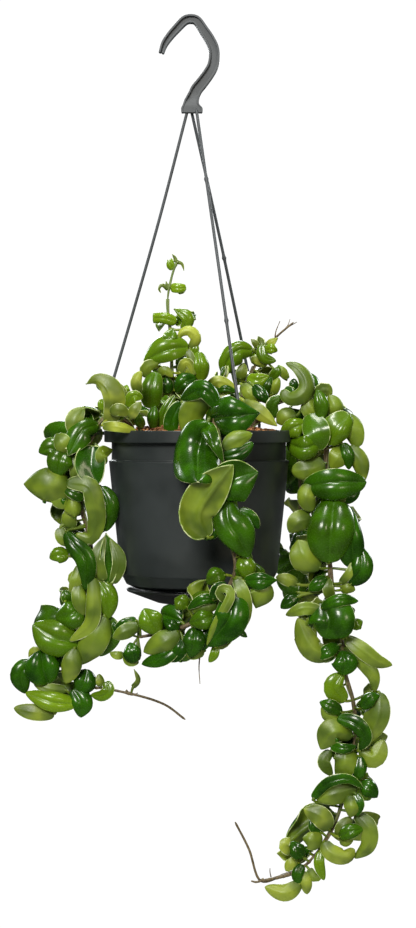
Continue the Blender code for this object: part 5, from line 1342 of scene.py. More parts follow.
DRAWN_TWIG = (
    dark("DD", 10, 7, 252, 350, 4, 238, 350, 10, 227, 361, 10, 224, 376, 6, fresh=0.1),
    pale("FF", 4, 4, 240, 379, 5, 242, 371, 7, 244, 363, 5, fresh=0.1),
    pale("FF", 2.2, 2.2, 258, 347, 2, 255, 343, 3, 251, 339, 2, fresh=0.4, tip=0.8),
    pale("FF", 2.6, 2.6, 266, 346, 4, 272, 342, 6, 278, 338, 4, fresh=0.4, tip=0.8),
    dark("DD", 3.8, 3.8, 266, 350, 7, 272, 349, 10, 277, 351, 7, fresh=0.35),
    dark("FF", 3.5, 4.5, 262, 345, 4, 264, 357, 7, 276, 361, 5),
    pale("FF", 3.5, 3.5, 261, 367, 2, 265, 360, 4, 271, 362, 3),
    pale("FF", 2.8, 2.8, 251, 361, 3, 256, 360, 5, 261, 365, 3, fresh=0.3),
    dark("FF", 5, 6.5, 248, 377, 7, 257, 380, 11, 269, 376, 8, fresh=0.25, tip=0.5),
    dark("DD", 4.5, 5, 254, 386, 29, 262, 395, 34, 268, 403, 32, fresh=-0.4),
    dark("FF", 3, 3, 266, 395, 8, 267, 386, 11, 272, 377, 8, fresh=-0.3),
    pale("FF", 3.5, 3.5, 273, 394, 8, 276, 385, 10, 279, 378, 8, fresh=-0.3),
    dark("FF", 3.5, 3.5, 271, 378, 6, 277, 371, 8, 279, 365, 6, fresh=-0.2, tip=0.8),
    pale("FF", 2.8, 2.8, 287, 379, 5, 283, 371, 7, 279, 365, 5, fresh=-0.3, tip=0.8),
    pale("FF", 5, 4.5, 242, 385, 24, 249, 393, 30, 259, 403, 28, fresh=-0.1),
    pale("SS", 5.5, 5.5, 244, 401, 34, 258, 411, 42, 277, 426, 40, fresh=0.35, tip=0.6),
    dark("FF", 4.5, 4.5, 274, 417, 32, 272, 404, 36, 281, 396, 34, fresh=-0.3),
)
DRAWN = {"vine_left": DRAWN_LEFT, "vine_front": DRAWN_FRONT, "vine_right": DRAWN_RIGHT,
         "shoot_left": DRAWN_SHOOT_LEFT, "shoot_upright": DRAWN_UPRIGHT, "shoot_centre": DRAWN_CENTRE,
         "shoot_twig": DRAWN_TWIG}

# Each twig is its radius in millimetres and its places in the picture, with their depths.
TWIGS = {
    "shoot_twig": ((0.6, (275, 338, -9), (276, 331, -9), (280, 321, -9)),
                   (0.7, (277, 336, -9), (285, 329, -9), (297, 322, -9)),
                   (0.5, (284, 330, -9), (288, 325, -9), (290, 319, -9))),
    "vine_front": ((0.6, (200, 654, 86), (199, 668, 86), (200, 684, 86)),),
    "vine_left": ((0.8, (126, 690, 18), (131, 695, 18), (138, 693, 18)),),
    "vine_right": ((1.9, (299, 871, 14), (280, 877, 14), (260, 881, 14)),
                   (1.3, (264, 879, 14), (257, 882, 14), (251, 881, 14)),
                   (0.6, (271, 877, 15), (270, 872, 15), (270, 868, 15))),
}


def pictured(places: Array, depth: Array) -> Array:
    """Points in the shared frame that the camera sees at places in the picture.

    Args:
        places: Rows of the place across and down, in pixels.
        depth: How far in front of the pot's axis each point stands.

    Returns:
        The points, one row each.
    """
    scale = (VIEW_DISTANCE - depth) / FOCAL_PIXELS
    return np.column_stack([VIEW_X + (places[:, 0] - AXIS_PIXEL) * scale, -depth,
                            VIEW_Z + (HORIZON_PIXEL - places[:, 1]) * scale])


class Shell:
    """Gathers the points and faces of one mesh, in millimetres."""

    def __init__(self) -> None:
        """Starts with nothing in it."""
        self.points: list[Array] = []
        self.faces: list[Array] = []
        self.skins: list[Array] = []
        self.uvs: list[Array] = []
        self.tones: list[Array] = []
        self.count = 0

    def add(self, points: Array, faces: Sequence[Array], skins: Sequence[int | Array] = (),
            uv: Array | None = None, tone: float | Array = 0.0) -> None:
        """Adds points and the faces on them.

        Args:
            points: One row for each point.
            faces: Arrays of faces, each with one number of corners, numbered within these points.
            skins: The material number of each array of faces, or one for each face in it.
            uv: Where each point lies on its own surface, from 0 to 1.
            tone: How fresh and pale each point is, from 0 to 1.
        """
        count = len(points)
        self.points.append(points)
        self.uvs.append(np.zeros((count, 2)) if uv is None else uv)
        self.tones.append(np.broadcast_to(tone, (count,)))
        for index, block in enumerate(faces):
            skin = skins[index] if index < len(skins) else 0
            self.faces.append(np.asarray(block, int) + self.count)
            self.skins.append(np.broadcast_to(skin, (len(block),)))
        self.count += count

    def build(self, name: str, materials: Sequence[Material], smooth: bool = True) -> bpy.types.Object:
        """The gathered mesh as an object at the origin, with its UV map and tones.

        Args:
            name: The object's name.
            materials: Its materials, in the order of their numbers.
            smooth: Whether its faces are shaded as one surface.

        Returns:
            The object.
        """
        points = np.vstack(self.points) * MM
        loops = np.concatenate([block.ravel() for block in self.faces])
        sizes = np.concatenate([np.full(len(block), block.shape[1]) for block in self.faces])
        mesh = bpy.data.meshes.new(name)
        mesh.vertices.add(len(points))
        mesh.vertices.foreach_set("co", points.ravel())
        mesh.loops.add(len(loops))
        mesh.loops.foreach_set("vertex_index", loops)
        mesh.polygons.add(len(sizes))
        mesh.polygons.foreach_set("loop_start", np.cumsum(sizes) - sizes)
        for finish in materials:
            mesh.materials.append(finish)
        mesh.polygons.foreach_set("material_index", np.concatenate(self.skins))
        mesh.polygons.foreach_set("use_smooth", np.full(len(sizes), smooth))
        mesh.update(calc_edges=True)
        layer = mesh.uv_layers.new(name="blade")
        layer.uv.foreach_set("vector", np.vstack(self.uvs)[loops].ravel())
        tones = mesh.attributes.new("tone", "FLOAT", "POINT")
        tones.data.foreach_set("value", np.concatenate(self.tones))
        mesh.validate()
        made = bpy.data.objects.new(name, mesh)
        bpy.context.scene.collection.objects.link(made)
        return made


def around(count: int) -> Array:
    """Even places round a circle, in radians."""
    return np.linspace(0, 2 * math.pi, count, endpoint=False)


def ring_faces(rings: int, sides: int) -> Array:
    """Faces between rings of points that close on themselves, counter-clockwise about their way on.

    Args:
        rings: How many rings there are.
        sides: How many points a ring has.

    Returns:
        The faces, four corners each.
    """
    low, side = np.meshgrid(np.arange(rings - 1), np.arange(sides), indexing="ij")
    after = (side + 1) % sides
    faces = [low * sides + side, low * sides + after, (low + 1) * sides + after, (low + 1) * sides + side]
    return np.stack(faces, axis=2).reshape(-1, 4)


def closed_faces(rings: int, sides: int) -> Array:
    """Faces between rings of which the last joins the first."""
    return ring_faces(rings + 1, sides) % (rings * sides)


def solid_faces(rings: int, sides: int) -> list[Array]:
    """Faces between rings, and the two that close their ends."""
    last = (rings - 1) * sides
    return [ring_faces(rings, sides), np.stack([np.arange(sides)[::-1], np.arange(last, last + sides)])]


def tube_points(route: Array, tangents: Array, across: Array, wide: Array, deep: Array,
                sides: int) -> Array:
    """Rings of points round a route.

    Each ring is an ellipse: the half width along the across vector, and the half depth along the
    vector square to it.

    Args:
        route: The route's points.
        tangents: The route's way on, at each point.
        across: A vector across the route, at each point.
        wide: The half width at each point.
        deep: The half depth at each point.
        sides: How many points a ring has.

    Returns:
        All points, ring by ring.
    """
    turns = around(sides)[None, :, None]
    other = np.cross(tangents, across)
    ring = across[:, None] * np.cos(turns) * wide[:, None, None]
    ring = ring + other[:, None] * np.sin(turns) * deep[:, None, None]
    return (route[:, None] + ring).reshape(-1, 3)


def add_tube(shell: Shell, route: Array, radii: Array, sides: int, tone: float | Array = 0.0) -> None:
    """Adds a round closed tube along a route to a shell.

    Args:
        shell: The shell.
        route: The route's points.
        radii: The radius at each point.
        sides: How many points a ring has.
        tone: The tube's tone, or one for each point of the route.
    """
    points = tube_points(route, *carried_frames(route), radii, radii, sides)
    tones = np.repeat(np.broadcast_to(tone, (len(route),)), sides)
    shell.add(points, solid_faces(len(route), sides), tone=tones)


def softened(profile: Sequence[tuple[float, float]], radius: float, steps: int = 4) -> Array:
    """A closed outline with each corner rounded by a short curve.

    The curve is quadratic: it leaves each side at the radius from the corner, or at 0.45 of a side
    that is shorter, and the corner is its middle point. A point a little before and after each
    curve keeps the flat between two curves looking flat.

    Args:
        profile: The outline's corners.
        radius: The corners' radius.
        steps: How many points a curve has.

    Returns:
        The rounded outline's points.
    """
    corners = np.array(profile, float)
    share = np.linspace(0, 1, steps)[:, None]
    runs = []
    for before, corner, after in zip(np.roll(corners, 1, 0), corners, np.roll(corners, -1, 0)):
        sides = (before - corner, after - corner)
        near, far = (corner + side * min(radius / np.linalg.norm(side), CURVE_END) for side in sides)
        first, last = (corner + side * min(HOLD * radius / np.linalg.norm(side), HOLD_END)
                       for side in sides)
        curve = near * (1 - share) ** 2 + 2 * corner * share * (1 - share) + far * share ** 2
        runs += [first, curve, last]
    return np.vstack(runs)


def lathed(radii: Array, heights: Array, sides: int) -> Array:
    """A profile's points turned about the pot's axis, ring by ring.

    Args:
        radii: The radius of each ring.
        heights: The height of each ring, or a grid with the height of each point.
        sides: How many points a ring has.

    Returns:
        The points.
    """
    turns = around(sides)
    heights = np.broadcast_to(heights.reshape(len(radii), -1), (len(radii), sides))
    radii = radii[:, None]
    points = [POT_X + radii * np.cos(turns), radii * np.sin(turns), heights]
    return np.stack(points, axis=2).reshape(-1, 3)


def cut(target: bpy.types.Object, cutters: Shell) -> None:
    """Cuts the cutters' shape out of an object's mesh.

    Args:
        target: The object.
        cutters: The shape to take away.
    """
    tool = cutters.build(target.name + "_cutter", ())
    modifier = target.modifiers.new("cut", "BOOLEAN")
    modifier.operation = "DIFFERENCE"
    modifier.object = tool
    graph = bpy.context.evaluated_depsgraph_get()
    mesh = bpy.data.meshes.new_from_object(target.evaluated_get(graph))
    target.modifiers.clear()
    old = target.data
    target.data = mesh
    mesh.name = target.name
    bpy.data.meshes.remove(old)
    bpy.data.objects.remove(tool)


def dressed(made: bpy.types.Object, node: str, creased: bool = False) -> None:
    """Hands a finished piece to the frame and reports it.

    Args:
        made: The piece.
        node: The part's node that it replaces.
        creased: Whether its sharp edges are marked as sharp.
    """
    if creased:
        made.data.set_sharp_from_angle(angle=CREASE)
    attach(made, "root")
    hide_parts(node)
    log.info("%s: %d faces", made.name, len(made.data.polygons))


class Paint:
    """One material: adds shader nodes and links them.

    MIDS and WIDE are values of a noise between which a blend runs, FINE and COARSE a noise's detail.
    FIRST, SECOND and MIXED are the numbers of the mix node's colour sockets.
    """

    MIDS = (0.3, 0.7)
    WIDE = (0.2, 0.8)
    FINE = 4.0
    COARSE = 2.0
    FIRST = 6
    SECOND = 7
    MIXED = 2

    def __init__(self, name: str) -> None:
        """Starts a material.

        Args:
            name: Its name.
        """
        self.material = bpy.data.materials.new(name)
        self.material.use_nodes = True
        self.tree = self.material.node_tree
        self.shader = self.tree.nodes["Principled BSDF"]

    def node(self, kind: str, inputs: dict[str | int, object] | None = None,
             **settings: object) -> bpy.types.Node:
        """Adds a node.

        Args:
            kind: Its type.
            inputs: Constants for its inputs, or sockets to link to them, by name or number.
            settings: Its other settings.

        Returns:
            The node.
        """
        made = self.tree.nodes.new(kind)
        for name, value in settings.items():
            setattr(made, name, value)
        for name, value in (inputs or {}).items():
            self.feed(made.inputs[name], value)
        return made

    def feed(self, socket: Socket, value: object) -> None:
        """Sets an input, or links it.

        Args:
            socket: The input.
            value: A constant, or the socket to link.
        """
        if isinstance(value, Socket):
            self.tree.links.new(value, socket)
        elif isinstance(value, tuple) and len(value) == 3 and socket.type == "RGBA":
            socket.default_value = (*value, 1.0)
        else:
            socket.default_value = value

    def place(self, scale: tuple[float, float, float] = (1.0, 1.0, 1.0)) -> Socket:
        """The place on the object, in metres, stretched by a scale."""
        source = self.node("ShaderNodeTexCoord").outputs["Object"]
        return self.node("ShaderNodeMapping", {"Vector": source, "Scale": scale}).outputs["Vector"]

    def on_blade(self, axis: str) -> Socket:
        """The place across a blade, X, or along it, Y, from 0 to 1."""
        flat = self.node("ShaderNodeUVMap", uv_map="blade").outputs["UV"]
        return self.node("ShaderNodeSeparateXYZ", {"Vector": flat}).outputs[axis]

    def noise(self, where: Socket, scale: float, detail: float = 3.0, rough: float = 0.55) -> Socket:
        """A noise from 0 to 1."""
        values = {"Vector": where, "Scale": scale, "Detail": detail, "Roughness": rough}
        return self.node("ShaderNodeTexNoise", values).outputs["Fac"]

    def tone(self) -> Socket:
        """The mesh's own tone, from 0 to 1."""
        return self.node("ShaderNodeAttribute", attribute_name="tone").outputs["Fac"]

    def maths(self, operation: str, first: object, second: object = 0.0) -> Socket:
        """The result of an operation on two values."""
        return self.node("ShaderNodeMath", {0: first, 1: second}, operation=operation).outputs[0]

    def span(self, value: object, low: float, high: float, start: float = 0.0,
             end: float = 1.0) -> Socket:
        """A value's place from low to high, smoothed, as a value from start to end."""
        values = {"Value": value, "From Min": low, "From Max": high, "To Min": start, "To Max": end}
        return self.node("ShaderNodeMapRange", values, interpolation_type="SMOOTHSTEP").outputs["Result"]

    def rough(self, value: Socket, limits: Pair, usual: float, change: Pair) -> Socket:
        """A roughness that changes from its usual value with a noise between two limits."""
        return self.span(value, *limits, usual + change[0], usual + change[1])

    def mix(self, share: object, first: object, second: object) -> Socket:
        """One colour fading to another."""
        values = {"Factor": share, self.FIRST: first, self.SECOND: second}
        return self.node("ShaderNodeMix", values, data_type="RGBA").outputs[self.MIXED]

    def bump(self, height: Socket, strength: float, distance: float) -> None:
        """Gives the surface a fine relief."""
        values = {"Height": height, "Strength": strength, "Distance": distance}
        self.feed(self.shader.inputs["Normal"], self.node("ShaderNodeBump", values).outputs["Normal"])

    def finish(self, colour: object, roughness: object, **constants: float) -> Material:
        """Sets the shader's inputs.

        Args:
            colour: The colour, or its socket.
            roughness: The roughness, or its socket.
            constants: Other inputs, with an underscore for each space in their names.

        Returns:
            The material.
        """
        for name, value in {"Base_Color": colour, "Roughness": roughness, **constants}.items():
            self.feed(self.shader.inputs[name.replace("_", " ")], value)
        return self.material


@dataclass(frozen=True)
class LeafTop:
    """The waxy upper side: dark green where it is old and fresh green where it is young."""

    deep: Colour = (0.007, 0.038, 0.0005)
    mid: Colour = (0.023, 0.098, 0.0008)
    fresh: Colour = (0.15, 0.26, 0.006)
    vein: Colour = (0.045, 0.135, 0.004)
    roughness: float = 0.25
    cloud_scale: float = 60.0
    grain_scale: float = 700.0
    vein_half: float = 0.025
    vein_strength: float = 0.4
    tones: Pair = (0.05, 0.95)
    grain: Pair = (0.3, 0.75)
    gloss: Pair = (-0.03, 0.06)
    relief: Pair = (0.12, 0.0003)

    def make(self) -> Material:
        """Makes the material: clouds of two greens, a fresh tone, a midrib and a fine grain.

        Returns:
            The material.
        """
        paint = Paint("leaf_top")
        where = paint.place()
        fine = paint.noise(where, self.grain_scale, paint.FINE)
        clouds = paint.noise(where, self.cloud_scale)
        old = paint.mix(paint.span(clouds, *paint.MIDS), self.deep, self.mid)
        green = paint.mix(paint.span(paint.tone(), *self.tones), old, self.fresh)
        aside = paint.maths("ABSOLUTE", paint.maths("SUBTRACT", paint.on_blade("X"), 0.5))
        midrib = paint.span(aside, 0.0, self.vein_half, self.vein_strength, 0.0)
        gloss = paint.rough(fine, self.grain, self.roughness, self.gloss)
        paint.bump(fine, *self.relief)
        return paint.finish(paint.mix(midrib, green, self.vein), gloss,
                            Coat_Weight=0.2, Coat_Roughness=0.07, Specular_IOR_Level=0.34)


@dataclass(frozen=True)
class LeafUnder:
    """The paler, duller under side, yellow where it is young, with painted shade in random olive patches
    and towards the stalk.
    """

    old: Colour = (0.125, 0.200, 0.008)
    fresh: Colour = (0.33, 0.39, 0.036)
    # base is the dark olive of the painted shade.
    base: Colour = (0.040, 0.080, 0.004)
    roughness: float = 0.42
    cloud_scale: float = 75.0
    painted_shade_scale: float = 40.0
    grain_scale: float = 900.0
    shade: float = 0.8
    cloud_share: float = 0.5
    tone_share: float = 0.7
    tones: Pair = (0.1, 1.0)
    painted_shade_patches: Pair = (0.40, 0.66)
    stalk_reach: Pair = (0.02, 0.35)
    gloss: Pair = (-0.06, 0.08)
    relief: Pair = (0.2, 0.0003)

    def make(self) -> Material:
        """Makes the material: two greens by tone and clouds, painted shade in random olive patches and
        towards the stalk, and a fine grain.

        Returns:
            The material.
        """
        paint = Paint("leaf_under")
        where = paint.place()
        clouds = paint.maths("MULTIPLY", paint.noise(where, self.cloud_scale), self.cloud_share)
        fine = paint.noise(where, self.grain_scale, paint.FINE)
        young = paint.maths("ADD", paint.maths("MULTIPLY", paint.tone(), self.tone_share), clouds)
        green = paint.mix(paint.span(young, *self.tones), self.old, self.fresh)
        # Painted shade: random patches of the dark olive base, standing in for shade on the leaf's folds
        # and edges.
        broad = paint.noise(where, self.painted_shade_scale, paint.COARSE)
        painted_shade_patches = paint.span(broad, *self.painted_shade_patches, 0.0, self.shade)
        green = paint.mix(painted_shade_patches, green, self.base)
        # Painted shade: the underside darkens to the olive base towards the stalk, where shade falls at the
        # leaf's base.
        painted_shade_near_stalk = paint.span(paint.on_blade("Y"), *self.stalk_reach, self.shade, 0.0)
        gloss = paint.rough(fine, paint.MIDS, self.roughness, self.gloss)
        paint.bump(fine, *self.relief)
        return paint.finish(paint.mix(painted_shade_near_stalk, green, self.base), gloss)


@dataclass(frozen=True)
class LeafMargin:
    """The thin rim of a leaf, pale partly as its own colour and partly as a painted edge highlight."""

    green: Colour = (0.20, 0.31, 0.05)
    pale: Colour = (0.58, 0.64, 0.34)
    roughness: float = 0.35
    cloud_scale: float = 160.0
    grain_scale: float = 800.0
    clouds: Pair = (0.38, 0.62)
    gloss: Pair = (0.0, 0.1)

    def make(self) -> Material:
        """Makes the material: clouds of green and pale, and a fine grain.

        Returns:
            The material.
        """
        paint = Paint("leaf_margin")
        where = paint.place()
        clouds = paint.noise(where, self.cloud_scale)
        # The pale clouds are partly the margin's own colour and partly a painted edge highlight.
        colour = paint.mix(paint.span(clouds, *self.clouds), self.green, self.pale)
        fine = paint.noise(where, self.grain_scale)
        return paint.finish(colour, paint.rough(fine, paint.MIDS, self.roughness, self.gloss))


@dataclass(frozen=True)
class StemBark:
    """A stem: brown and woody where its tone is low, green where it is high."""

    brown: Colour = (0.055, 0.037, 0.016)
    grey: Colour = (0.19, 0.145, 0.070)
    green: Colour = (0.13, 0.20, 0.045)
    roughness: float = 0.6
    streak_scale: float = 900.0
    streak_stretch: tuple[float, float, float] = (1.0, 1.0, 0.3)
    tones: Pair = (0.1, 0.9)
    gloss: Pair = (-0.1, 0.1)
    relief: Pair = (0.4, 0.0005)

    def make(self) -> Material:
        """Makes the material: upright streaks of brown and grey, and green by tone.

        Returns:
            The material.
        """
        paint = Paint("stem_bark")
        streaks = paint.noise(paint.place(self.streak_stretch), self.streak_scale, paint.FINE)
        wood = paint.mix(paint.span(streaks, *paint.MIDS), self.brown, self.grey)
        colour = paint.mix(paint.span(paint.tone(), *self.tones), wood, self.green)
        paint.bump(streaks, *self.relief)
        return paint.finish(colour, paint.rough(streaks, paint.WIDE, self.roughness, self.gloss))


@dataclass(frozen=True)
class Moulded:
    """Moulded plastic: two close greys, faint scuffs that run one way, and a soft sheen."""

    name: str
    dark: Colour
    light: Colour
    roughness: float
    stretch: tuple[float, float, float] = (1.0, 1.0, 1.0)
    scuff: float = 0.25
    cloud_scale: float = 22.0
    scuff_scale: float = 420.0
    grain_scale: float = 1500.0
    scuff_detail: Pair = (5.0, 0.7)
    scuffed: Pair = (0.58, 0.8)
    cloudy: float = 0.45
    clouds: Pair = (0.25, 0.75)
    gloss: Pair = (-0.04, 0.06)
    relief: Pair = (0.12, 0.0002)

    def make(self) -> Material:
        """Makes the material: clouds of the two greys, pale scuffs and a fine grain.

        Returns:
            The material.
        """
        paint = Paint(self.name)
        where = paint.place()
        broad = paint.noise(where, self.cloud_scale, paint.COARSE)
        marks = paint.noise(paint.place(self.stretch), self.scuff_scale, *self.scuff_detail)
        scuffs = paint.span(marks, *self.scuffed, 0.0, self.scuff)
        base = paint.mix(paint.span(broad, *paint.MIDS, 0.0, self.cloudy), self.dark, self.light)
        sheen = paint.rough(broad, self.clouds, self.roughness, self.gloss)
        paint.bump(paint.noise(where, self.grain_scale, paint.COARSE), *self.relief)
        return paint.finish(paint.mix(scuffs, base, self.light), paint.maths("ADD", sheen, scuffs))


@dataclass(frozen=True)
class Bark:
    """Shredded bark: chips from dark brown to orange, rough all over."""

    dark: Colour = (0.07, 0.028, 0.012)
    brown: Colour = (0.22, 0.085, 0.03)
    orange: Colour = (0.46, 0.2, 0.07)
    grain_scale: float = 380.0
    cloud_scale: float = 90.0
    stretch: tuple[float, float, float] = (1.0, 1.0, 1.6)
    detail: Pair = (6.0, 0.65)
    cloud_share: float = 0.4
    tones: Pair = (0.35, 1.1)
    roughness: Pair = (0.75, 0.95)
    relief: Pair = (0.6, 0.001)

    def make(self) -> Material:
        """Makes the material: a brown grain, and orange by tone and clouds.

        Returns:
            The material.
        """
        paint = Paint("bark")
        where = paint.place(self.stretch)
        grain = paint.noise(where, self.grain_scale, *self.detail)
        clouds = paint.maths("MULTIPLY", paint.noise(where, self.cloud_scale), self.cloud_share)
        base = paint.mix(paint.span(grain, *paint.MIDS), self.dark, self.brown)
        light = paint.span(paint.maths("ADD", paint.tone(), clouds), *self.tones)
        paint.bump(grain, *self.relief)
        rough = paint.span(grain, *paint.WIDE, *self.roughness)
        return paint.finish(paint.mix(light, base, self.orange), rough)


@dataclass(frozen=True)
class Greens:
    """The plant's four materials, which all its pieces share."""

    top: Material
    under: Material
    margin: Material
    bark: Material

    @classmethod
    def make(cls) -> "Greens":
        """Makes them."""
        return cls(LeafTop().make(), LeafUnder().make(), LeafMargin().make(), StemBark().make())


@dataclass
class Blade:
    """One leaf's fine mesh: a fleshy blade in two lobes with a crease between, and its stalk."""

    leaf: Leaf
    tone: float
    thick: float = 1.4
    crease: float = 0.12
    crease_width: float = 0.13
    lobe: float = 0.09
    lump: float = 0.3
    roll: float = 1.15
    roll_start: float = 0.42
    roll_span: float = 0.58
    flare: float = 0.25
    steepest: float = 2.7
    start: float = 0.004
    reach: float = 0.984
    evenness: float = 0.45
    column_power: float = 1.15
    base_reach: float = 0.08
    base_swell: float = 0.3
    rim_thinning: float = 0.42
    rim_steps: int = 3
    large_from: float = 33.0
    middle_from: float = 21.0
    stalk_sides: int = 8
    stalk_stations: int = 7
    stalk_into: float = 1.2
    stalk_flat: float = 0.75
    stalk_uv: Pair = (0.3, 0.25)
    stalk_tilt: float = 0.02
    stalk_share: Pair = (0.7, 0.3)
    stalk_from: float = 34.0
    roll_turns: Pair = (0.5, 0.7)
    roll_share: Pair = (0.45, 0.9)
    fade_power: float = 0.6
    lobe_power: float = 0.9
    lump_turns: Pair = (0.8, 1.4)
    lump_slants: Pair = (-0.8, 1.6)
    lump_first: float = 1.2
    lump_less: float = 0.4

    def grade(self) -> Grade:
        """How finely a leaf of this length is drawn.

        Returns:
            The grade.
        """
        if self.leaf.length > self.large_from:
            return Grade.LARGE
        return Grade.MIDDLE if self.leaf.length > self.middle_from else Grade.SMALL

    def outline(self, along: Array) -> Array:
        """The half width's share along the blade."""
        return outline(along)

    def section(self, along: Array, across: Array, chance: Array) -> tuple[Array, Array]:
        """How far each point lies beside and above the midrib, before the blade bends and twists.

        Each half is followed outwards in short steps. Its slope grows evenly with the way by the
        form's curl. From the half's middle to its margin a roll is added, which comes and goes
        along the blade as a sine wave. The form's bulge and ripple are then added.

        Args:
            along: Places along the blade.
            across: Places across it.
            chance: Nine draws from 0 to 1, of which the first six set the roll.

        Returns:
            The way to the right and the lift, each as a grid.
        """
        form = self.leaf.form
        half = spread(self.leaf.width / 2, self.outline(along), along)[:, None]
        aside = np.zeros((len(along), len(across)))
        lift = np.zeros_like(aside)
        middle = len(across) // 2
        for sign, curl, start in ((-1, form.curl_left, 0), (1, form.curl_right, 3)):
            turns, phase, strength = chance[start:start + 3]
            wave = np.sin(2 * math.pi * (chanced(self.roll_turns, turns) * along + phase))[:, None]
            roll = self.roll * chanced(self.roll_share, strength) * (wave + self.flare * -np.sign(curl))
            columns = np.arange(middle, -1, -1) if sign < 0 else np.arange(middle, len(across))
            reach = np.abs(across[columns])
            place = (reach[1:] + reach[:-1])[None] / 2
            outer = np.clip((place - self.roll_start) / self.roll_span, 0, 1)
            slope = curl * place * half / (self.leaf.width / 2) + roll * outer * outer * (3 - 2 * outer)
            slope = np.clip(slope, -self.steepest, self.steepest)
            step = np.diff(reach)[None] * half
            aside[:, columns[1:]] = sign * np.cumsum(np.cos(slope) * step, axis=1)
            lift[:, columns[1:]] = np.cumsum(np.sin(slope) * step, axis=1)
        return aside, rippled(self.leaf, along[:, None], across[None], half, lift)

    def bent(self, along: Array, aside: Array, lift: Array) -> Array:
        """The section's points carried along the midrib, as the part's own blades are."""
        return carried(self.leaf, along, aside, lift)

    def normals(self, points: Array) -> tuple[Array, Array]:
        """The grid's normals on the dark side, and its vectors to the right."""
        aside = np.gradient(points, axis=1)
        return units(np.cross(np.gradient(points, axis=0), aside)), units(aside)

    def middle(self, along: Array, across: Array, chance: Array) -> tuple[Array, Array, Array]:
        """The blade's middle surface with its relief.

        The crease sinks as a bell curve about the midrib. Each lobe swells as half a sine wave
        between midrib and margin, and both fade at the two ends. Three long sine waves give the
        surface its slow lumps.

        Args:
            along: Places along the blade.
            across: Places across it.
            chance: Nine draws from 0 to 1 for the lumps and the roll.

        Returns:
            The grid of points, its normals on the dark side and its vectors to the right.
        """
        bare = self.bent(along, *self.section(along, across, chance))
        half = (self.leaf.width / 2 * self.outline(along))[:, None]
        fade = np.sin(math.pi * np.clip(along, 0, 1))[:, None] ** self.fade_power
        relief = -self.crease * half * fade * np.exp(-(across / self.crease_width) ** 2)[None]
        lobes = np.sin(math.pi * np.abs(across) ** self.lobe_power)[None]
        relief = relief + self.lobe * half * fade * lobes
        for wave in range(3):
            turns, slant, phase = chance[3 * wave:3 * wave + 3]
            place = chanced(self.lump_turns, turns) * along[:, None]
            place = place + chanced(self.lump_slants, slant) * across[None] + phase
            strength = self.lump_first - self.lump_less * wave
            relief = relief + self.lump * fade * np.sin(2 * math.pi * place) * strength / 2
        points = bare + self.normals(bare)[0] * relief[..., None]
        return points, *self.normals(points)

    def add(self, shell: Shell, rng: np.random.Generator) -> None:
        """Adds the blade and its stalk to a shell.

        Each row is a closed ring: the dark side from left to right, a round margin, the pale side
        back, and the other margin.

        Args:
            shell: What they are added to.
            rng: Where the nine draws for the roll and the lumps come from.
        """
        rows, columns = self.grade().value
        steps = np.linspace(0, 1, rows)
        rounded = (1 - self.evenness) * (1 - np.cos(math.pi * steps)) / 2
        along = self.start + self.reach * (self.evenness * steps + rounded)
        spaced = np.linspace(-1, 1, columns)
        across = np.sign(spaced) * np.abs(spaced) ** self.column_power
        middle, normals, aside = self.middle(along, across, rng.uniform(0, 1, CHANCES))
        base = np.exp(-along / self.base_reach)[:, None, None]
        rim = (np.abs(across) ** 3)[None, :, None]
        deep = self.thick * (1 - self.rim_thinning * rim + self.base_swell * base) / 2
        top = middle + normals * deep
        under = middle - normals * deep
        edges = {}
        for side, column in ((-1, 0), (1, columns - 1)):
            angles = np.linspace(0, math.pi, self.rim_steps + 2)[1:-1][None, :, None]
            depth = deep[:, column][:, None]
            out = side * aside[:, column][:, None]
            up = normals[:, column][:, None]
            ways = up * np.cos(angles) + out * np.sin(angles)
            edges[side] = middle[:, column][:, None] + ways * depth
        ring = np.concatenate([top, edges[1], under[:, ::-1], edges[-1][:, ::-1]], axis=1)
        sides = ring.shape[1]
        rim_across = np.full(self.rim_steps, 1.0)
        flat = np.concatenate([across, rim_across, across[::-1], -rim_across])
        uv = np.stack(np.broadcast_arrays(0.5 + flat[None] / 2, along[:, None]), axis=2)
        face_row = np.full(sides, Skin.MARGIN.value)
        face_row[:columns - 1] = Skin.TOP.value
        face_row[columns + self.rim_steps:2 * columns + self.rim_steps - 1] = Skin.UNDER.value
        faces, caps = solid_faces(rows, sides)
        skins = (np.tile(face_row, rows - 1), np.array([Skin.UNDER.value, Skin.MARGIN.value]))
        blocks = [faces[:, [0, 3, 2, 1]], caps[:, ::-1]]
        shell.add(ring.reshape(-1, 3), blocks, skins, uv.reshape(-1, 2), self.tone)
        self.add_stalk(shell)

    def add_stalk(self, shell: Shell) -> None:
        """Adds the stalk: a bent tube from the stem's middle into the blade's base.

        Its route is a cubic that leaves along the line from root to base and comes in along the
        blade's midrib.

        Args:
            shell: What it is added to.
        """
        leaf = self.leaf
        count = self.stalk_stations
        steps = np.linspace(0, 1, count)[:, None]
        end = leaf.base + leaf.out * self.stalk_into
        span = np.linalg.norm(end - leaf.root)
        leave = unit(leaf.base - leaf.root) * span
        arrive = leaf.out * span
        route = leaf.root * (2 * steps ** 3 - 3 * steps ** 2 + 1)
        route = route + end * (3 * steps ** 2 - 2 * steps ** 3)
        route = route + leave * (steps ** 3 - 2 * steps ** 2 + steps)
        route = route + arrive * (steps ** 3 - steps ** 2)
        tangents = units(np.gradient(route, axis=0))
        across = np.cross(leaf.up, leaf.out) + self.stalk_tilt * leaf.up
        across = units(across - tangents * (tangents @ across)[:, None])
        share = chanced(self.stalk_share, min(leaf.length / self.stalk_from, 1))
        wide = np.linspace(1.0, STALK_HALF, count) * share
        deep = wide * np.linspace(1, self.stalk_flat, count)
        points = tube_points(route, tangents, across, wide, deep, self.stalk_sides)
        skins = (Skin.UNDER.value, Skin.UNDER.value)
        uv = np.tile(self.stalk_uv, (len(points), 1))
        shell.add(points, solid_faces(count, self.stalk_sides), skins, uv, self.tone)


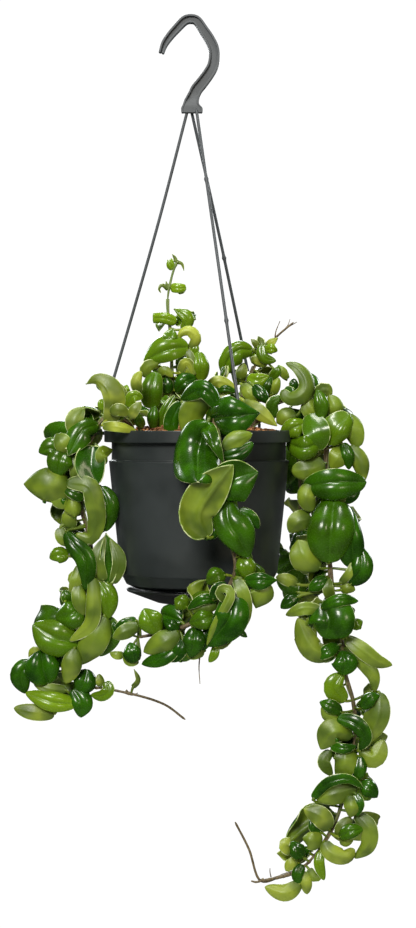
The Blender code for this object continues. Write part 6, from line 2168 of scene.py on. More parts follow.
@dataclass
class DrawnBlade(Blade):
    """A leaf whose midrib and halves follow what the front view shows."""

    drawn: Drawn | None = None
    midrib: Array | None = None
    liveliness: float = 0.42
    spread: float = 0.08
    crease: float = 0.06
    lobe: float = 0.05
    lump: float = 0.1
    start: float = 0.0005
    reach: float = 0.999
    steepest: float = 1.5
    least_shown: float = 0.3
    wave_turns: Pair = (0.4, 0.6)
    thick_share: Pair = (0.35, 0.12)
    skew: float = 0.95
    power: float = 0.5
    point: Pair = (0.1, 0.6)
    seen_along: tuple[float, float, int] = (0.03, 0.97, 13)
    seen_across: int = 9

    @classmethod
    def stand(cls, leaf: Drawn, route: Array, stem: Stem, rng: np.random.Generator) -> "DrawnBlade":
        """Places a drawn leaf in front of its stem.

        Args:
            leaf: The leaf as drawn.
            route: The stem's route.
            stem: The stem.
            rng: Draws how much younger or older the leaf is than its stem.

        Returns:
            The blade.
        """
        places = np.array(leaf.midrib_pixels, float)
        scale = FOCAL_PIXELS / (VIEW_DISTANCE + route[:, 1])
        across = AXIS_PIXEL + (route[:, 0] - VIEW_X) * scale
        down = HORIZON_PIXEL - (route[:, 2] - VIEW_Z) * scale
        closest = np.hypot(across[None] - places[:, :1], down[None] - places[:, 1:2]).argmin(1)
        midrib = smooth_route(pictured(places, places[:, 2] - route[closest, 1]), DRAWN_STEP)
        out = unit(midrib[1] - midrib[0])
        up = (CAMERA - midrib[0]) * (1 if leaf.dark else -1)
        up = unit(up - out * (up @ out))
        length = float(np.linalg.norm(np.diff(midrib, axis=0), axis=1).sum())
        width = leaf.left.width + leaf.right.width
        placed = Leaf(route[closest[0]], midrib[0], out, up, length, width, FLAT)
        tone = float(np.clip(stem.fresh + leaf.fresh + rng.normal(0, cls.spread), 0, 1))
        thick = min(cls.thick, chanced(cls.thick_share, width))
        return cls(placed, tone, thick, drawn=leaf, midrib=midrib)

    def outline(self, along: Array) -> Array:
        """The half width's share along the blade: a sine to a power that grows with its tip's point."""
        power = self.power + self.drawn.tip * (self.point[0] + self.point[1] * along)
        return np.sin(math.pi * along ** self.skew) ** power

    def section(self, along: Array, across: Array, chance: Array) -> tuple[Array, Array]:
        """How far each point lies to the viewer's left of the midrib and towards the viewer.

        Each half is followed outwards in short steps. Its slope goes evenly from the one beside the
        midrib to the one at the margin, and a slow sine wave along the blade is added to it. The
        steps are stretched so that the half shows its width.

        Args:
            along: Places along the blade.
            across: Places across it.
            chance: Nine draws from 0 to 1, of which the first six set the wave.

        Returns:
            The way to the left and the way towards the viewer, each as a grid.
        """
        aside = np.zeros((len(along), len(across)))
        lift = np.zeros_like(aside)
        middle = len(across) // 2
        facing = 1 if self.drawn.dark else -1
        for sign, start in ((-1, 0), (1, 3)):
            half = self.drawn.left if sign == facing else self.drawn.right
            columns = np.arange(middle, -1, -1) if sign < 0 else np.arange(middle, len(across))
            reach = np.abs(across[columns])
            place = (reach[1:] + reach[:-1])[None] / 2
            turns, phase, strength = chance[start:start + 3]
            wave = np.sin(2 * math.pi * (chanced(self.wave_turns, turns) * along + phase))[:, None]
            slope = half.near + (half.far - half.near) * place
            slope = slope + self.liveliness * (0.5 + strength) * wave * place
            slope = np.clip(slope, -self.steepest, self.steepest)
            step = np.diff(reach)[None]
            shown = (np.cos(slope) * step).sum(axis=1)[:, None]
            wide = spread(half.width, self.outline(along), along)[:, None]
            stretch = wide / np.maximum(shown, self.least_shown)
            aside[:, columns[1:]] = sign * facing * np.cumsum(np.cos(slope) * step * stretch, axis=1)
            lift[:, columns[1:]] = np.cumsum(np.sin(slope) * step * stretch, axis=1)
        return aside, lift

    def bent(self, along: Array, aside: Array, lift: Array) -> Array:
        """The section's points carried along the drawn midrib, square to it and to the view.

        Args:
            along: Places along the blade.
            aside: How far each point lies to the viewer's left, as a grid.
            lift: How far it lies towards the viewer, as a grid.

        Returns:
            A grid of points, one row for each place along.
        """
        share = np.linspace(0, 1, len(self.midrib))
        slopes = np.gradient(self.midrib, axis=0)
        middle, ahead = (np.column_stack([np.interp(along, share, values[:, axis]) for axis in range(3)])
                         for values in (self.midrib, slopes))
        ahead = units(ahead)
        left = units(np.cross(CAMERA - middle, ahead))
        near = np.cross(ahead, left)
        return middle[:, None] + left[:, None] * aside[..., None] + near[:, None] * lift[..., None]

    def surface(self) -> Array:
        """A coarse grid of the blade's points, to see what it covers.

        Returns:
            The points.
        """
        along = np.linspace(*self.seen_along)
        across = np.linspace(-1, 1, self.seen_across)
        return self.bent(along, *self.section(along, across, np.full(CHANCES, 0.5))).reshape(-1, 3)


def sight(points: Array) -> Array:
    """Where the camera sees points, in millimetres at the pot's axis."""
    ways = points - CAMERA
    return ways[:, [0, 2]] / ways[:, 1:2] * VIEW_DISTANCE


class Foreground:
    """What the drawn leaves cover in the front view."""

    REACH = 2.6
    DEPTH = 3.0
    HIDDEN = 0.12
    COVERED = 0.72
    COVERED_ABOVE = 0.6

    def __init__(self, blades: Sequence[DrawnBlade]) -> None:
        """Keeps each drawn leaf's points, where they are seen and the box round them.

        Args:
            blades: The drawn leaves.
        """
        self.covers = []
        for blade in blades:
            points = blade.surface()
            seen = sight(points)
            self.covers.append((seen, points[:, 1], seen.min(0) - self.REACH, seen.max(0) + self.REACH))

    def turns_away(self, leaf: Leaf) -> bool:
        """Whether a leaf would hide a drawn one, cross it, or stick out beside them all.

        It hides one where enough of its points are seen within a drawn leaf's outline and stand
        before that leaf or close behind it. It sticks out where too many of its points are seen
        beside every drawn leaf.

        Args:
            leaf: The leaf.

        Returns:
            True where the leaf is in the way.
        """
        points = blade_points(leaf, Layout.ROWS, Layout.COLUMNS)
        seen = sight(points)
        hidden = np.zeros(len(points), bool)
        covered = np.zeros(len(points), bool)
        for cover, depth, low, high in self.covers:
            if (seen.max(0) < low).any() or (seen.min(0) > high).any():
                continue
            gaps = np.linalg.norm(seen[:, None] - cover[None], axis=2)
            closest = gaps.argmin(1)
            near = gaps[np.arange(len(points)), closest] < self.REACH
            hidden |= near & (points[:, 1] < depth[closest] + self.DEPTH)
            covered |= near
        if hidden.mean() > self.HIDDEN:
            return True
        least = self.COVERED if points[:, 2].mean() < RIM_TOP else self.COVERED_ABOVE
        return bool(covered.mean() < least)


@dataclass
class Vine:
    """One stem with its leaves: a piece of wood and a piece of leaves, which stand for one node."""

    stem: Stem
    route: Array
    leaves: list[Leaf]
    drawn: list[DrawnBlade]
    seed: int
    sides: int = 10
    knot: float = 0.55
    knot_reach: float = 1.8
    rough: float = 0.06
    spread: float = 0.16
    small_tone: float = 0.25
    small_length: float = 22.0
    bud_length: float = 11.0
    bud_shape: float = 0.55
    bud_stalk: float = 1.5
    core: float = 0.65
    bundle: float = 1.4
    woody: float = 0.9
    strands: int = 3
    strand_sides: int = 6
    strand_radius: float = 0.65
    strand_pitch: float = 130.0
    strand_sway: float = 0.1
    strand_end: float = 0.8
    strand_tone: float = 0.28
    sway_pitch: float = 9.0
    twig_taper: float = 0.45
    twig_rough: Pair = (0.85, 1.15)
    green_from: float = 0.55
    greening: float = 0.7
    bare_rate: float = 20.0
    tip_share: float = 0.5

    def build(self, greens: Greens, foreground: Foreground) -> None:
        """Builds both pieces.

        Args:
            greens: The plant's materials.
            foreground: What the drawn leaves cover in the front view.
        """
        name = self.stem.name
        rng = np.random.default_rng(self.seed)
        leaves = Shell()
        kept = [leaf for leaf in self.leaves if not (self.drawn and foreground.turns_away(leaf))]
        log.info("%s: %d drawn, %d of %d others", name, len(self.drawn), len(kept), len(self.leaves))
        for blade in self.drawn:
            blade.add(leaves, rng)
        for leaf in kept + self.buds():
            tone = self.stem.fresh + rng.normal(0, self.spread)
            tone = tone + self.small_tone * (leaf.length < self.small_length)
            Blade(leaf, float(np.clip(tone, 0, 1))).add(leaves, rng)
        made = leaves.build(name + "_leaves", (greens.top, greens.under, greens.margin))
        dressed(made, name)
        wood = Shell()
        self.add_stem(wood, rng)
        dressed(wood.build(name + "_stem", (greens.bark,)), name)

    def buds(self) -> list[Leaf]:
        """Places two small young leaves at the tip, one each side, unless the stem ends bare.

        Returns:
            The leaves.
        """
        if self.stem.name in BARE_ENDS:
            return []
        tangents, sides = carried_frames(self.route)
        found = []
        for sign in (-1, 1):
            out = unit(tangents[-1] + 0.5 * sign * sides[-1])
            up = unit(sign * sides[-1] - out * (out @ sides[-1]) * sign)
            base = self.route[-1] + out * self.bud_stalk
            width = self.bud_shape * self.bud_length
            found.append(Leaf(self.route[-2], base, out, up, self.bud_length, width, FLAT))
        return found

    def add_stem(self, shell: Shell, rng: np.random.Generator) -> None:
        """Adds the stem's tube, swollen where each leaf leaves it, its root strands and its twigs.

        A woody stem is brown all along. Another one is brown below and green at its tip.

        Args:
            shell: What they are added to.
            rng: Where the roughness comes from.
        """
        stem = self.stem
        share = np.linspace(0, 1, len(self.route))
        radii = stem.root_radius + (stem.tip_radius - stem.root_radius) * share
        tone = np.clip(stem.fresh + (share - self.green_from) * self.greening, 0, 1)
        tone = tone * (stem.name not in WOODY_ENDS)
        self.add_strands(shell, np.maximum(radii * self.bundle, self.woody * stem.root_radius), tone)
        bare = np.clip((share - self.strand_end) * self.bare_rate, 0, 1)
        radii = radii * (self.core + (1 - self.core) * bare)
        roots = np.array([leaf.root for leaf in self.leaves])
        gaps = np.sqrt(((self.route[:, None] - roots[None]) ** 2).sum(2)).min(1)
        radii = radii + self.knot * np.exp(-(gaps / self.knot_reach) ** 2)
        radii = radii * (1 + self.rough * rng.uniform(-1, 1, len(self.route)))
        radii[-1] = radii[-1] * self.tip_share
        add_tube(shell, self.route, radii, self.sides, tone)
        for thick, *twig in TWIGS.get(stem.name, ()):
            places = np.array(twig, float)
            line = smooth_route(pictured(places, places[:, 2]), DRAWN_STEP)
            radii = np.linspace(thick, self.twig_taper * thick, len(line))
            radii = radii * rng.uniform(*self.twig_rough, len(line))
            add_tube(shell, line, radii, self.strand_sides, float(tone[-1]))

    def add_strands(self, shell: Shell, radii: Array, tone: Array) -> None:
        """Adds the thin roots that wind along the stem, each beside its core.

        Args:
            shell: What they are added to.
            radii: The radius of the whole bundle, at each point of the route.
            tone: The stem's tone, at each point of the route.
        """
        count = int(len(self.route) * self.strand_end)
        tangents, across = carried_frames(self.route)
        other = np.cross(tangents, across)
        way = np.arange(len(self.route)) * ROUTE_STEP
        thin = np.full(count, self.strand_radius)
        offset = (radii - self.strand_radius)[:, None]
        for number in range(self.strands):
            sway = self.strand_sway * np.sin(way / self.sway_pitch + 2 * number)
            turn = 2 * math.pi * (number / self.strands + way / self.strand_pitch + sway)
            line = self.route + (across * np.cos(turn)[:, None] + other * np.sin(turn)[:, None]) * offset
            strand_tone = tone[:count] + self.strand_tone * number
            add_tube(shell, line[:count], thin, self.strand_sides, strand_tone)


@dataclass
class Pot:
    """The pot with its rim, its drain holes and the three lugs that the rods drop through."""

    sides: int = 144
    edge: float = 0.6
    post_hole: float = 6.3
    drains: int = 6
    drain_circle: float = 36.0
    drain_radius: float = 4.0
    drain_sides: int = 24
    drain_past: float = 3.0
    lug_thick: float = 3.0
    lug_hole: float = 1.7
    lug_sunk: float = 1.2
    lug_edge: float = 0.35
    lug_sides: int = 48

    def profile(self) -> list[tuple[float, float]]:
        """Gives the wall's closed outline, counter-clockwise with the radius to the right.

        Returns:
            Its corners, as radius and height: the outside, the skirt and the inside.
        """
        wall = POT_WALL
        lip = RIM_TOP - RIM_LIP
        outside = [(self.post_hole, POT_LOW), (50.5, POT_LOW), (57.6, POT_LOW + 3.2)]
        outside += [(FOOT_RADIUS, FOOT_TOP), (FOOT_RADIUS + 0.6, FOOT_TOP + 0.4), (BODY_RADIUS, STEP_LOW)]
        outside += [(NECK_RADIUS, STEP_LOW + 0.6)]
        skirt = [(NECK_RADIUS, lip), (RIM_RADIUS - wall, lip), (RIM_RADIUS - wall, SKIRT_LOW)]
        skirt += [(RIM_RADIUS, SKIRT_LOW), (RIM_RADIUS, RIM_TOP)]
        inside = [(NECK_RADIUS - wall + 0.2, RIM_TOP), (NECK_RADIUS - wall, STEP_LOW + 0.2)]
        inside += [(BODY_RADIUS - wall, STEP_LOW - 1.2), (FOOT_RADIUS - wall + 0.5, FOOT_TOP)]
        inside += [(56.4, POT_LOW + 4.6), (49.8, POT_LOW + wall), (self.post_hole, POT_LOW + wall)]
        return outside + skirt + inside

    def add_lug(self, shell: Shell, angle: float) -> None:
        """Adds one lug: a rounded tab with a hole, its section swept round the hole.

        In each direction the tab reaches to its half circle outwards, and to its straight sides
        and its sunk root inwards.

        Args:
            shell: What it is added to.
            angle: Where it stands on the rim, in degrees.
        """
        turn = math.radians(angle)
        ways = around(self.lug_sides)
        root = LUG_REACH - RIM_RADIUS + self.lug_sunk
        sideways = LUG_HALF / np.maximum(np.abs(np.sin(ways)), TINY)
        inwards = root / np.maximum(-np.cos(ways), TINY)
        reach = np.where(np.cos(ways) >= 0, LUG_HALF, np.minimum(sideways, inwards))
        low = LUG_TOP - self.lug_thick
        section = softened([(0, low), (1, low), (1, LUG_TOP), (0, LUG_TOP)], self.lug_edge)
        share = section[:, 0][:, None]
        distance = self.lug_hole + (reach[None] - self.lug_hole) * np.clip(share, 0, 1)
        ahead = LUG_REACH + distance * np.cos(ways)
        aside = distance * np.sin(ways)
        points = np.stack([POT_X + ahead * math.cos(turn) - aside * math.sin(turn),
                           ahead * math.sin(turn) + aside * math.cos(turn),
                           np.repeat(section[:, 1][:, None], self.lug_sides, axis=1)], axis=2)
        shell.add(points.reshape(-1, 3), [closed_faces(len(section), self.lug_sides)])

    def build(self, finish: Material) -> None:
        """Builds the wall, cuts its drain holes, and adds the lugs.

        Args:
            finish: The pot's material.
        """
        wall = Shell()
        profile = softened(self.profile(), self.edge)
        faces = closed_faces(len(profile), self.sides)
        wall.add(lathed(profile[:, 0], profile[:, 1], self.sides), [faces])
        pot = wall.build("pot_wall", (finish,))
        cutters = Shell()
        for index in range(self.drains):
            turn = 2 * math.pi * index / self.drains
            x = POT_X + self.drain_circle * math.cos(turn)
            y = self.drain_circle * math.sin(turn)
            ends = (POT_LOW - self.drain_past, POT_LOW + POT_WALL + self.drain_past)
            route = np.array([(x, y, z) for z in ends])
            add_tube(cutters, route, np.full(2, self.drain_radius), self.drain_sides)
        cut(pot, cutters)
        dressed(pot, "pot", creased=True)
        lugs = Shell()
        for rod in RODS:
            self.add_lug(lugs, rod.angle)
        dressed(lugs.build("pot_lugs", (finish,)), "pot", creased=True)


@dataclass
class Saucer:
    """The shallow saucer that snaps under the pot by its centre post."""

    sides: int = 144
    wall: float = 1.3
    edge: float = 0.5
    head: float = 3.6
    gap: float = 0.3

    def build(self, finish: Material) -> None:
        """Builds the dish and its post: an outline turned about the pot's axis.

        Args:
            finish: Its material.
        """
        floor = SAUCER_LOW + self.wall
        ledge = POT_LOW + POT_WALL + self.gap
        neck = POT_LOW - self.gap
        ring = [(SAUCER_BASE, SAUCER_LOW), (SAUCER_RADIUS - 0.4, SAUCER_TOP - 1.8)]
        ring += [(SAUCER_RADIUS, SAUCER_TOP), (SAUCER_RADIUS - 1.2, SAUCER_TOP)]
        ring += [(SAUCER_BASE + 0.5, floor), (10.0, floor), (9.0, neck), (6.0, neck), (6.0, ledge)]
        ring += [(7.5, ledge)]
        ring += [(4.6, ledge + self.head), (0, ledge + self.head), (0, SAUCER_LOW)]
        soft = softened(ring, self.edge)
        soft = soft[soft[:, 0] > 1.0]
        shell = Shell()
        shell.add(lathed(soft[:, 0], soft[:, 1], self.sides), solid_faces(len(soft), self.sides))
        dressed(shell.build("saucer_dish", (finish,)), "saucer", creased=True)


@dataclass
class Soil:
    """The bark mix: one lumpy mass that fills the pot, and loose chips on its top."""

    rings: int = 44
    sides: int = 120
    outer: float = 66.8
    inner: float = 0.6
    lump: float = 0.9
    waves: tuple = ((0.61, 0.23, 0.0, 1.0), (-0.35, 0.47, 1.3, 1.0), (1.1, 0.9, 2.1, 0.6),
                    (-1.2, 1.3, 0.0, 0.6))
    wave_sum: float = 3.2
    edge_rate: float = 8.0
    chips: int = 300
    chip_circle: float = 63.0
    chip_above: float = 1.1
    chip_sunk: float = 0.6
    chip_least: tuple[float, float, float] = (1.6, 1.0, 0.6)
    chip_most: tuple[float, float, float] = (4.6, 2.6, 1.3)
    chip_tilt: float = 0.45
    chip_rough: float = 0.22
    chip_sides: int = 8
    chip_turn: float = 0.4
    chip_power: float = 0.6
    chip_rings: tuple = ((-0.95, 0.55), (-0.4, 1.0), (0.4, 1.0), (0.95, 0.55))
    seed: int = 5

    def top(self, radius: Array, turn: Array) -> Array:
        """The height of the top: the low mound with four crossing waves of lumps on it.

        Args:
            radius: How far each point lies from the pot's axis.
            turn: Its angle about the axis.

        Returns:
            The heights.
        """
        share = radius / NECK_RADIUS
        x = radius * np.cos(turn)
        y = radius * np.sin(turn)
        lumps = np.zeros_like(x)
        for across, ahead, phase, strength in self.waves:
            lumps = lumps + np.sin(across * x + ahead * y + phase) * strength
        fade = np.clip((1 - share) * self.edge_rate, 0, 1)
        return mound(share) - self.lump + self.lump * lumps / self.wave_sum * fade

    def build_mass(self, finish: Material) -> None:
        """Builds the mass: the underside as the part has it, and the lumpy top.

        Args:
            finish: The bark's material.
        """
        low = [(9.0, POT_LOW + 7.0), (9.0, POT_LOW + 1.9), (49.6, POT_LOW + 1.9), (56.1, POT_LOW + 4.9)]
        low += [(FOOT_RADIUS - 1.4, FOOT_TOP), (BODY_RADIUS - 1.9, STEP_LOW - 1.4)]
        low += [(67.3, STEP_LOW - 0.1)]
        under = np.array(low)
        radii = np.linspace(self.outer, self.inner, self.rings)
        top = self.top(radii[:, None], around(self.sides)[None])
        heights = np.concatenate([np.repeat(under[:, 1:], self.sides, axis=1), top])
        radii = np.concatenate([under[:, 0], radii])
        shell = Shell()
        shell.add(lathed(radii, heights, self.sides), solid_faces(len(radii), self.sides))
        dressed(shell.build("soil_mass", (finish,)), "soil")

    def build_chips(self, finish: Material) -> None:
        """Builds the chips: small rounded boxes, each turned and roughened by chance.

        Args:
            finish: The bark's material.
        """
        rng = np.random.default_rng(self.seed)
        points, faces = self.chip()
        rise = np.array([0, 0, 1.0])
        shell = Shell()
        for index in range(self.chips):
            radius = self.chip_circle * math.sqrt((index + 0.5) / self.chips)
            turn = index * GOLDEN * 2 * math.pi
            size = rng.uniform(self.chip_least, self.chip_most)
            rough = points * size * (1 + self.chip_rough * rng.uniform(-1, 1, points.shape))
            yaw = rng.uniform(0, 2 * math.pi)
            tilt = rng.uniform(-self.chip_tilt, self.chip_tilt)
            axis = np.array([math.cos(yaw), math.sin(yaw), 0])
            other = np.array([-math.sin(yaw), math.cos(yaw), 0])
            lean = axis * math.cos(tilt) + rise * math.sin(tilt)
            upright = rise * math.cos(tilt) - axis * math.sin(tilt)
            middle = np.array([POT_X + radius * math.cos(turn), radius * math.sin(turn), 0])
            above = rng.uniform(-self.chip_sunk, self.chip_above - self.chip_sunk)
            middle[2] = soil_height(middle[0], middle[1]) + above
            placed = middle + rough[:, :1] * lean + rough[:, 1:2] * other + rough[:, 2:] * upright
            shell.add(placed, [faces], tone=rng.uniform(0, 1))
        dressed(shell.build("soil_chips", (finish,), smooth=False), "soil")

    def chip(self) -> tuple[Array, Array]:
        """Makes one rounded box, a unit from its middle to each side, of four rings.

        Returns:
            Its points and its faces.
        """
        turns = around(self.chip_sides) + self.chip_turn
        square = np.stack([np.cos(turns), np.sin(turns)], axis=1)
        square = np.sign(square) * np.abs(square) ** self.chip_power
        rings = [np.column_stack([square * share, np.full(self.chip_sides, z)])
                 for z, share in self.chip_rings]
        return np.vstack(rings), ring_faces(len(rings), self.chip_sides)

    def build(self, finish: Material) -> None:
        """Builds both pieces."""
        self.build_mass(finish)
        self.build_chips(finish)


# The beam's middle line, as (across, height), and its width at shares of its length.
HOOK_LINE = (
    (-22.4, -23.7), (-19.8, -16.5), (-15.2, -9.9), (-9.3, -3.3), (-4.0, 2.0), (0.6, 3.4), (5.9, 2.0),
    (11.1, -5.3), (15.8, -12.5), (19.1, -19.8), (19.7, -27.0), (18.4, -34.2), (15.1, -40.2), (9.8, -47.4),
    (5.2, -53.3), (2.6, -60.6), (2.2, -64.0),
)
HOOK_WIDTHS = ((0, 4.2), (0.08, 5.6), (0.26, 6.8), (0.34, 6.8), (0.6, 8.5), (1, 9.6))
# The foot's rings: the height, the left and right edges and the web's thickness.
HOOK_FOOT = (
    (-59.0, -2.9, 7.9, 3.3), (-61.0, -4.0, 7.5, 4.7), (-63.0, -4.7, 7.4, 6.0), (-64.6, -5.2, 7.8, 6.8),
    (-65.8, -5.7, 8.7, 7.1), (-67.0, -6.4, 10.1, 7.1), (-68.2, -6.7, 10.5, 7.1), (-70.2, -6.6, 10.4, 7.1),
    (HOOK_BASE, -6.2, 9.9, 7.1),
)


@dataclass
class Hook:
    """The hook: a curved beam of I section that ends in a flared foot, which holds the rods."""

    depth: float = 8.0
    flange: float = 1.6
    web: float = 2.5
    corner: float = 0.3
    foot_start: float = -56.5
    socket_gap: float = 0.3
    socket_sides: int = 16
    socket_past: float = 3.0

    def ring(self, place: Array, side: Array, width: float, web: float) -> Array:
        """One ring of the beam: an I section with its corners rounded.

        Args:
            place: The section's middle.
            side: The unit vector across the beam.
            width: The section's width.
            web: The web's thickness.

        Returns:
            The ring's points.
        """
        half = width / 2
        deep = self.depth / 2
        quarter = [(half, deep), (half - self.flange, deep), (half - self.flange, web / 2)]
        corners = quarter + [(-u, v) for u, v in reversed(quarter)]
        corners += [(-u, -v) for u, v in quarter]
        corners += [(u, -v) for u, v in reversed(quarter)]
        section = softened(corners, self.corner, 3)
        return place + side * section[:, :1] + np.array([[0, 1, 0]]) * section[:, 1:]

    def build(self, finish: Material) -> None:
        """Builds the beam, which widens into its foot, and cuts the rods' sockets.

        Args:
            finish: Its material.
        """
        route = smooth_route([(x, 0, z) for x, z in HOOK_LINE])
        across = np.cross((0, 1, 0), units(np.gradient(route, axis=0)))
        widths = np.interp(np.linspace(0, 1, len(route)), *zip(*HOOK_WIDTHS))
        rings = [self.ring(place, side, width, self.web)
                 for place, side, width in zip(route, across, widths) if place[2] > self.foot_start]
        for height, left, right, web in HOOK_FOOT:
            place = np.array(((left + right) / 2, 0, height))
            rings.append(self.ring(place, np.array([[-1, 0, 0]]), right - left, web))
        shell = Shell()
        faces = solid_faces(len(rings), len(rings[0]))
        shell.add(np.vstack(rings), [block[:, ::-1] for block in faces])
        beam = shell.build("hook_beam", (finish,))
        cutters = Shell()
        for rod in RODS:
            route = rod_route(rod)
            away = unit(route[3] - route[0])
            reach = SOCKET_DEPTH + self.socket_past
            line = np.array([route[0] - away * self.socket_gap, route[0] + away * reach])
            add_tube(cutters, line, np.full(2, Rods.radius + self.socket_gap), self.socket_sides)
        cut(beam, cutters)
        dressed(beam, "hook", creased=True)


@dataclass
class Rods:
    """The three thin rods of the hanger, each with a knob under its lug and a few moulding nubs."""

    radius: float = 1.25
    sides: int = 16
    nubs: tuple = (("rod_front", -126.0), ("rod_front", -238.0), ("rod_back", -184.0))
    nub: float = 0.7
    nub_reach: float = 1.3
    knob: tuple = ((7.2, 1.25), (2.2, 1.25), (1.6, 2.0), (1.2, 2.1), (0.5, 2.1), (0.0, 1.8), (-0.4, 1.1))

    def build(self, finish: Material) -> None:
        """Builds them, each a tube that swells as a bell curve at a nub and ends in its knob.

        Args:
            finish: Their material.
        """
        for rod in RODS:
            fine = rod_route(rod)
            lug = int(np.argmax(fine[:, 2] < RIM_TOP + 2))
            foot = np.array(rod_ends(rod.angle)[-1])
            route = np.vstack([fine[:lug - 1], [foot + (0, 0, height) for height, _ in self.knob]])
            radii = np.concatenate([np.full(lug - 1, self.radius), [radius for _, radius in self.knob]])
            for name, height in self.nubs:
                if name == rod.name:
                    radii = radii + self.nub * np.exp(-((route[:, 2] - height) / self.nub_reach) ** 2)
            shell = Shell()
            add_tube(shell, route, radii, self.sides)
            dressed(shell.build(rod.name + "_wire", (finish,)), rod.name)


@dataclass(frozen=True)
class Lamp:
    """A square lamp that looks at the pot: its place and side in metres, power, colour and shine.

    shine is how much of it shows in glossy surfaces.
    """

    name: str
    place: Colour
    size: float
    watts: float
    colour: Colour
    shine: float

    def build(self) -> None:
        """Builds the lamp and turns it to the pot."""
        data = bpy.data.lights.new(self.name, "AREA")
        data.energy = self.watts
        data.size = self.size
        data.color = self.colour
        data.specular_factor = self.shine
        made = bpy.data.objects.new(self.name, data)
        made.location = self.place
        aim = Vector((POT_X * MM, 0, -0.4)) - made.location
        made.rotation_euler = aim.to_track_quat("-Z", "Y").to_euler()
        bpy.context.scene.collection.objects.link(made)


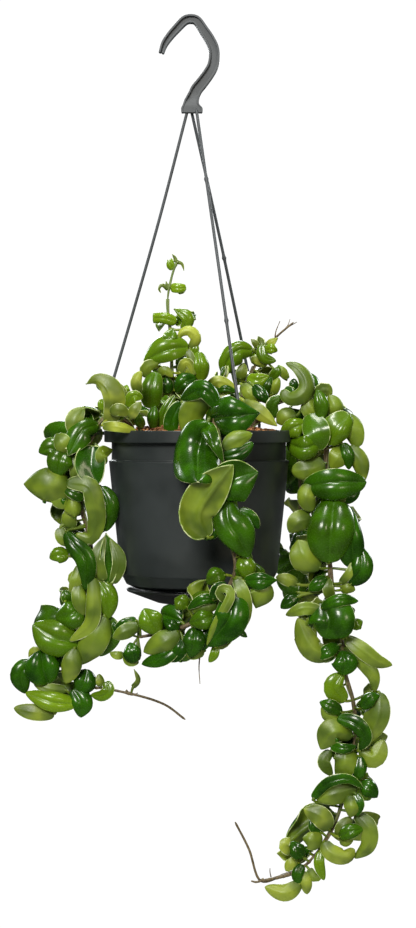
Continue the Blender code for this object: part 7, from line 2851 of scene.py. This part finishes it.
@dataclass
class Studio:
    """The white studio: bright surroundings, small lamps for crisp highlights, a floor and the camera."""

    backdrop: float = 1.05
    sky: float = 0.04
    floor_height: float = -1.0
    floor_radius: float = 1.1
    floor_sides: int = 64
    floor_cloud: float = 3.0
    floor_pale: Colour = (0.78, 0.78, 0.77)
    floor_white: Colour = (0.82, 0.82, 0.81)
    floor_roughness: float = 0.8
    lamps: tuple[Lamp, ...] = (
        Lamp("key", (-0.5, -1.7, 0.6), 0.6, 39.0, (1.0, 0.98, 0.92), 4.2),
        Lamp("fill", (0.9, -1.5, 0.0), 0.4, 5.5, (1.0, 0.86, 0.66), 0.15),
        Lamp("top", (0.1, -0.4, 1.1), 0.5, 19.0, (1.0, 0.98, 0.92), 0.4),
        Lamp("back_left", (-1.1, 0.9, 0.2), 0.5, 12.0, (0.95, 1.0, 1.0), 0.3),
        Lamp("back_right", (1.2, 1.0, 0.3), 0.6, 16.0, (0.95, 1.0, 1.0), 0.3),
        Lamp("back", (-0.2, 1.7, 0.5), 0.8, 24.0, (0.95, 1.0, 1.0), 0.3),
    )

    def build(self) -> None:
        """Builds it all."""
        self.build_camera()
        self.build_world()
        for lamp in self.lamps:
            lamp.build()
        self.build_floor()

    def build_world(self) -> None:
        """Sets the plain view, and surroundings that look brighter than they light the plant."""
        scene = bpy.context.scene
        scene.view_settings.view_transform = "Standard"
        scene.view_settings.look = "None"
        world = bpy.data.worlds.new("studio")
        scene.world = world
        world.use_nodes = True
        nodes = world.node_tree.nodes
        links = world.node_tree.links
        choice = nodes.new("ShaderNodeMixShader")
        links.new(nodes.new("ShaderNodeLightPath").outputs["Is Camera Ray"], choice.inputs[0])
        glows = ((nodes.new("ShaderNodeBackground"), self.sky), (nodes["Background"], self.backdrop))
        for index, (glow, strength) in enumerate(glows):
            glow.inputs["Color"].default_value = WHITE
            glow.inputs["Strength"].default_value = strength
            links.new(glow.outputs[0], choice.inputs[index + 1])
        links.new(choice.outputs[0], nodes["World Output"].inputs["Surface"])

    def build_floor(self) -> None:
        """Adds a pale round floor below the hanging plant."""
        turns = around(self.floor_sides)
        reach = self.floor_radius / MM
        depth = np.full(self.floor_sides, self.floor_height / MM)
        shell = Shell()
        rim = np.column_stack([reach * np.cos(turns), reach * np.sin(turns), depth])
        shell.add(rim, [np.arange(self.floor_sides)[None]])
        paint = Paint("floor")
        clouds = paint.noise(paint.place(), self.floor_cloud)
        shade = paint.mix(clouds, self.floor_pale, self.floor_white)
        floor = shell.build("floor", (paint.finish(shade, self.floor_roughness),))
        floor.visible_glossy = False
        floor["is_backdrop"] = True

    def build_camera(self) -> None:
        """Adds the camera, level and square to the front, its horizon a little above the middle."""
        data = bpy.data.cameras.new("camera")
        data.sensor_width = SENSOR
        data.lens = SENSOR * FOCAL_PIXELS / IMAGE_HEIGHT
        data.shift_y = (HORIZON_PIXEL - IMAGE_HEIGHT / 2) / IMAGE_HEIGHT
        made = bpy.data.objects.new("camera", data)
        made.location = (VIEW_X * MM, -VIEW_DISTANCE * MM, VIEW_Z * MM)
        made.rotation_euler = (math.pi / 2, 0, 0)
        bpy.context.scene.collection.objects.link(made)
        bpy.context.scene.camera = made


CHARCOAL = Moulded("charcoal", (0.0165, 0.021, 0.0215), (0.050, 0.0595, 0.061), 0.40, (1.0, 1.0, 0.08))
BLACK = Moulded("saucer_plastic", (0.008, 0.009, 0.009), (0.022, 0.023, 0.023), 0.36, (1.0, 1.0, 0.4))
GREY = Moulded("hanger_plastic", (0.036, 0.042, 0.049), (0.082, 0.093, 0.105), 0.52,
               (1.0, 1.0, 0.3), 0.15)


def build_plant() -> None:
    """Builds each stem with its leaves: those drawn in front, and those of the layout beside them."""
    layout = Layout(STEMS)
    greens = Greens.make()
    rng = np.random.default_rng(DRAWN_SEED)
    blades = {stem.name: [DrawnBlade.stand(leaf, layout.routes[stem.name], stem, rng)
                          for leaf in DRAWN.get(stem.name, ())] for stem in STEMS}
    foreground = Foreground([blade for group in blades.values() for blade in group])
    for number, stem in enumerate(STEMS):
        name = stem.name
        vine = Vine(stem, layout.routes[name], layout.leaves[name], blades[name], VINE_SEED + number)
        vine.build(greens, foreground)


def main() -> None:
    """Builds the plant, its pot and its hanger, and the studio round them, and logs their visual size."""
    logging.basicConfig(level=logging.INFO, format="%(name)s: %(message)s")
    Studio().build()
    hanger = GREY.make()
    Pot().build(CHARCOAL.make())
    Saucer().build(BLACK.make())
    Soil().build(Bark().make())
    Hook().build(hanger)
    Rods().build(hanger)
    build_plant()
    sizes = {"cad": [list(corner) for corner in CAD_BOX],
             "visual": [list(corner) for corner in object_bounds()]}
    low, high = (np.array(corner) for corner in sizes["visual"])
    log.info("visual size in mm: %s", np.round((high - low) / MM, 1).tolist())


if __name__ == "__main__":
    main()
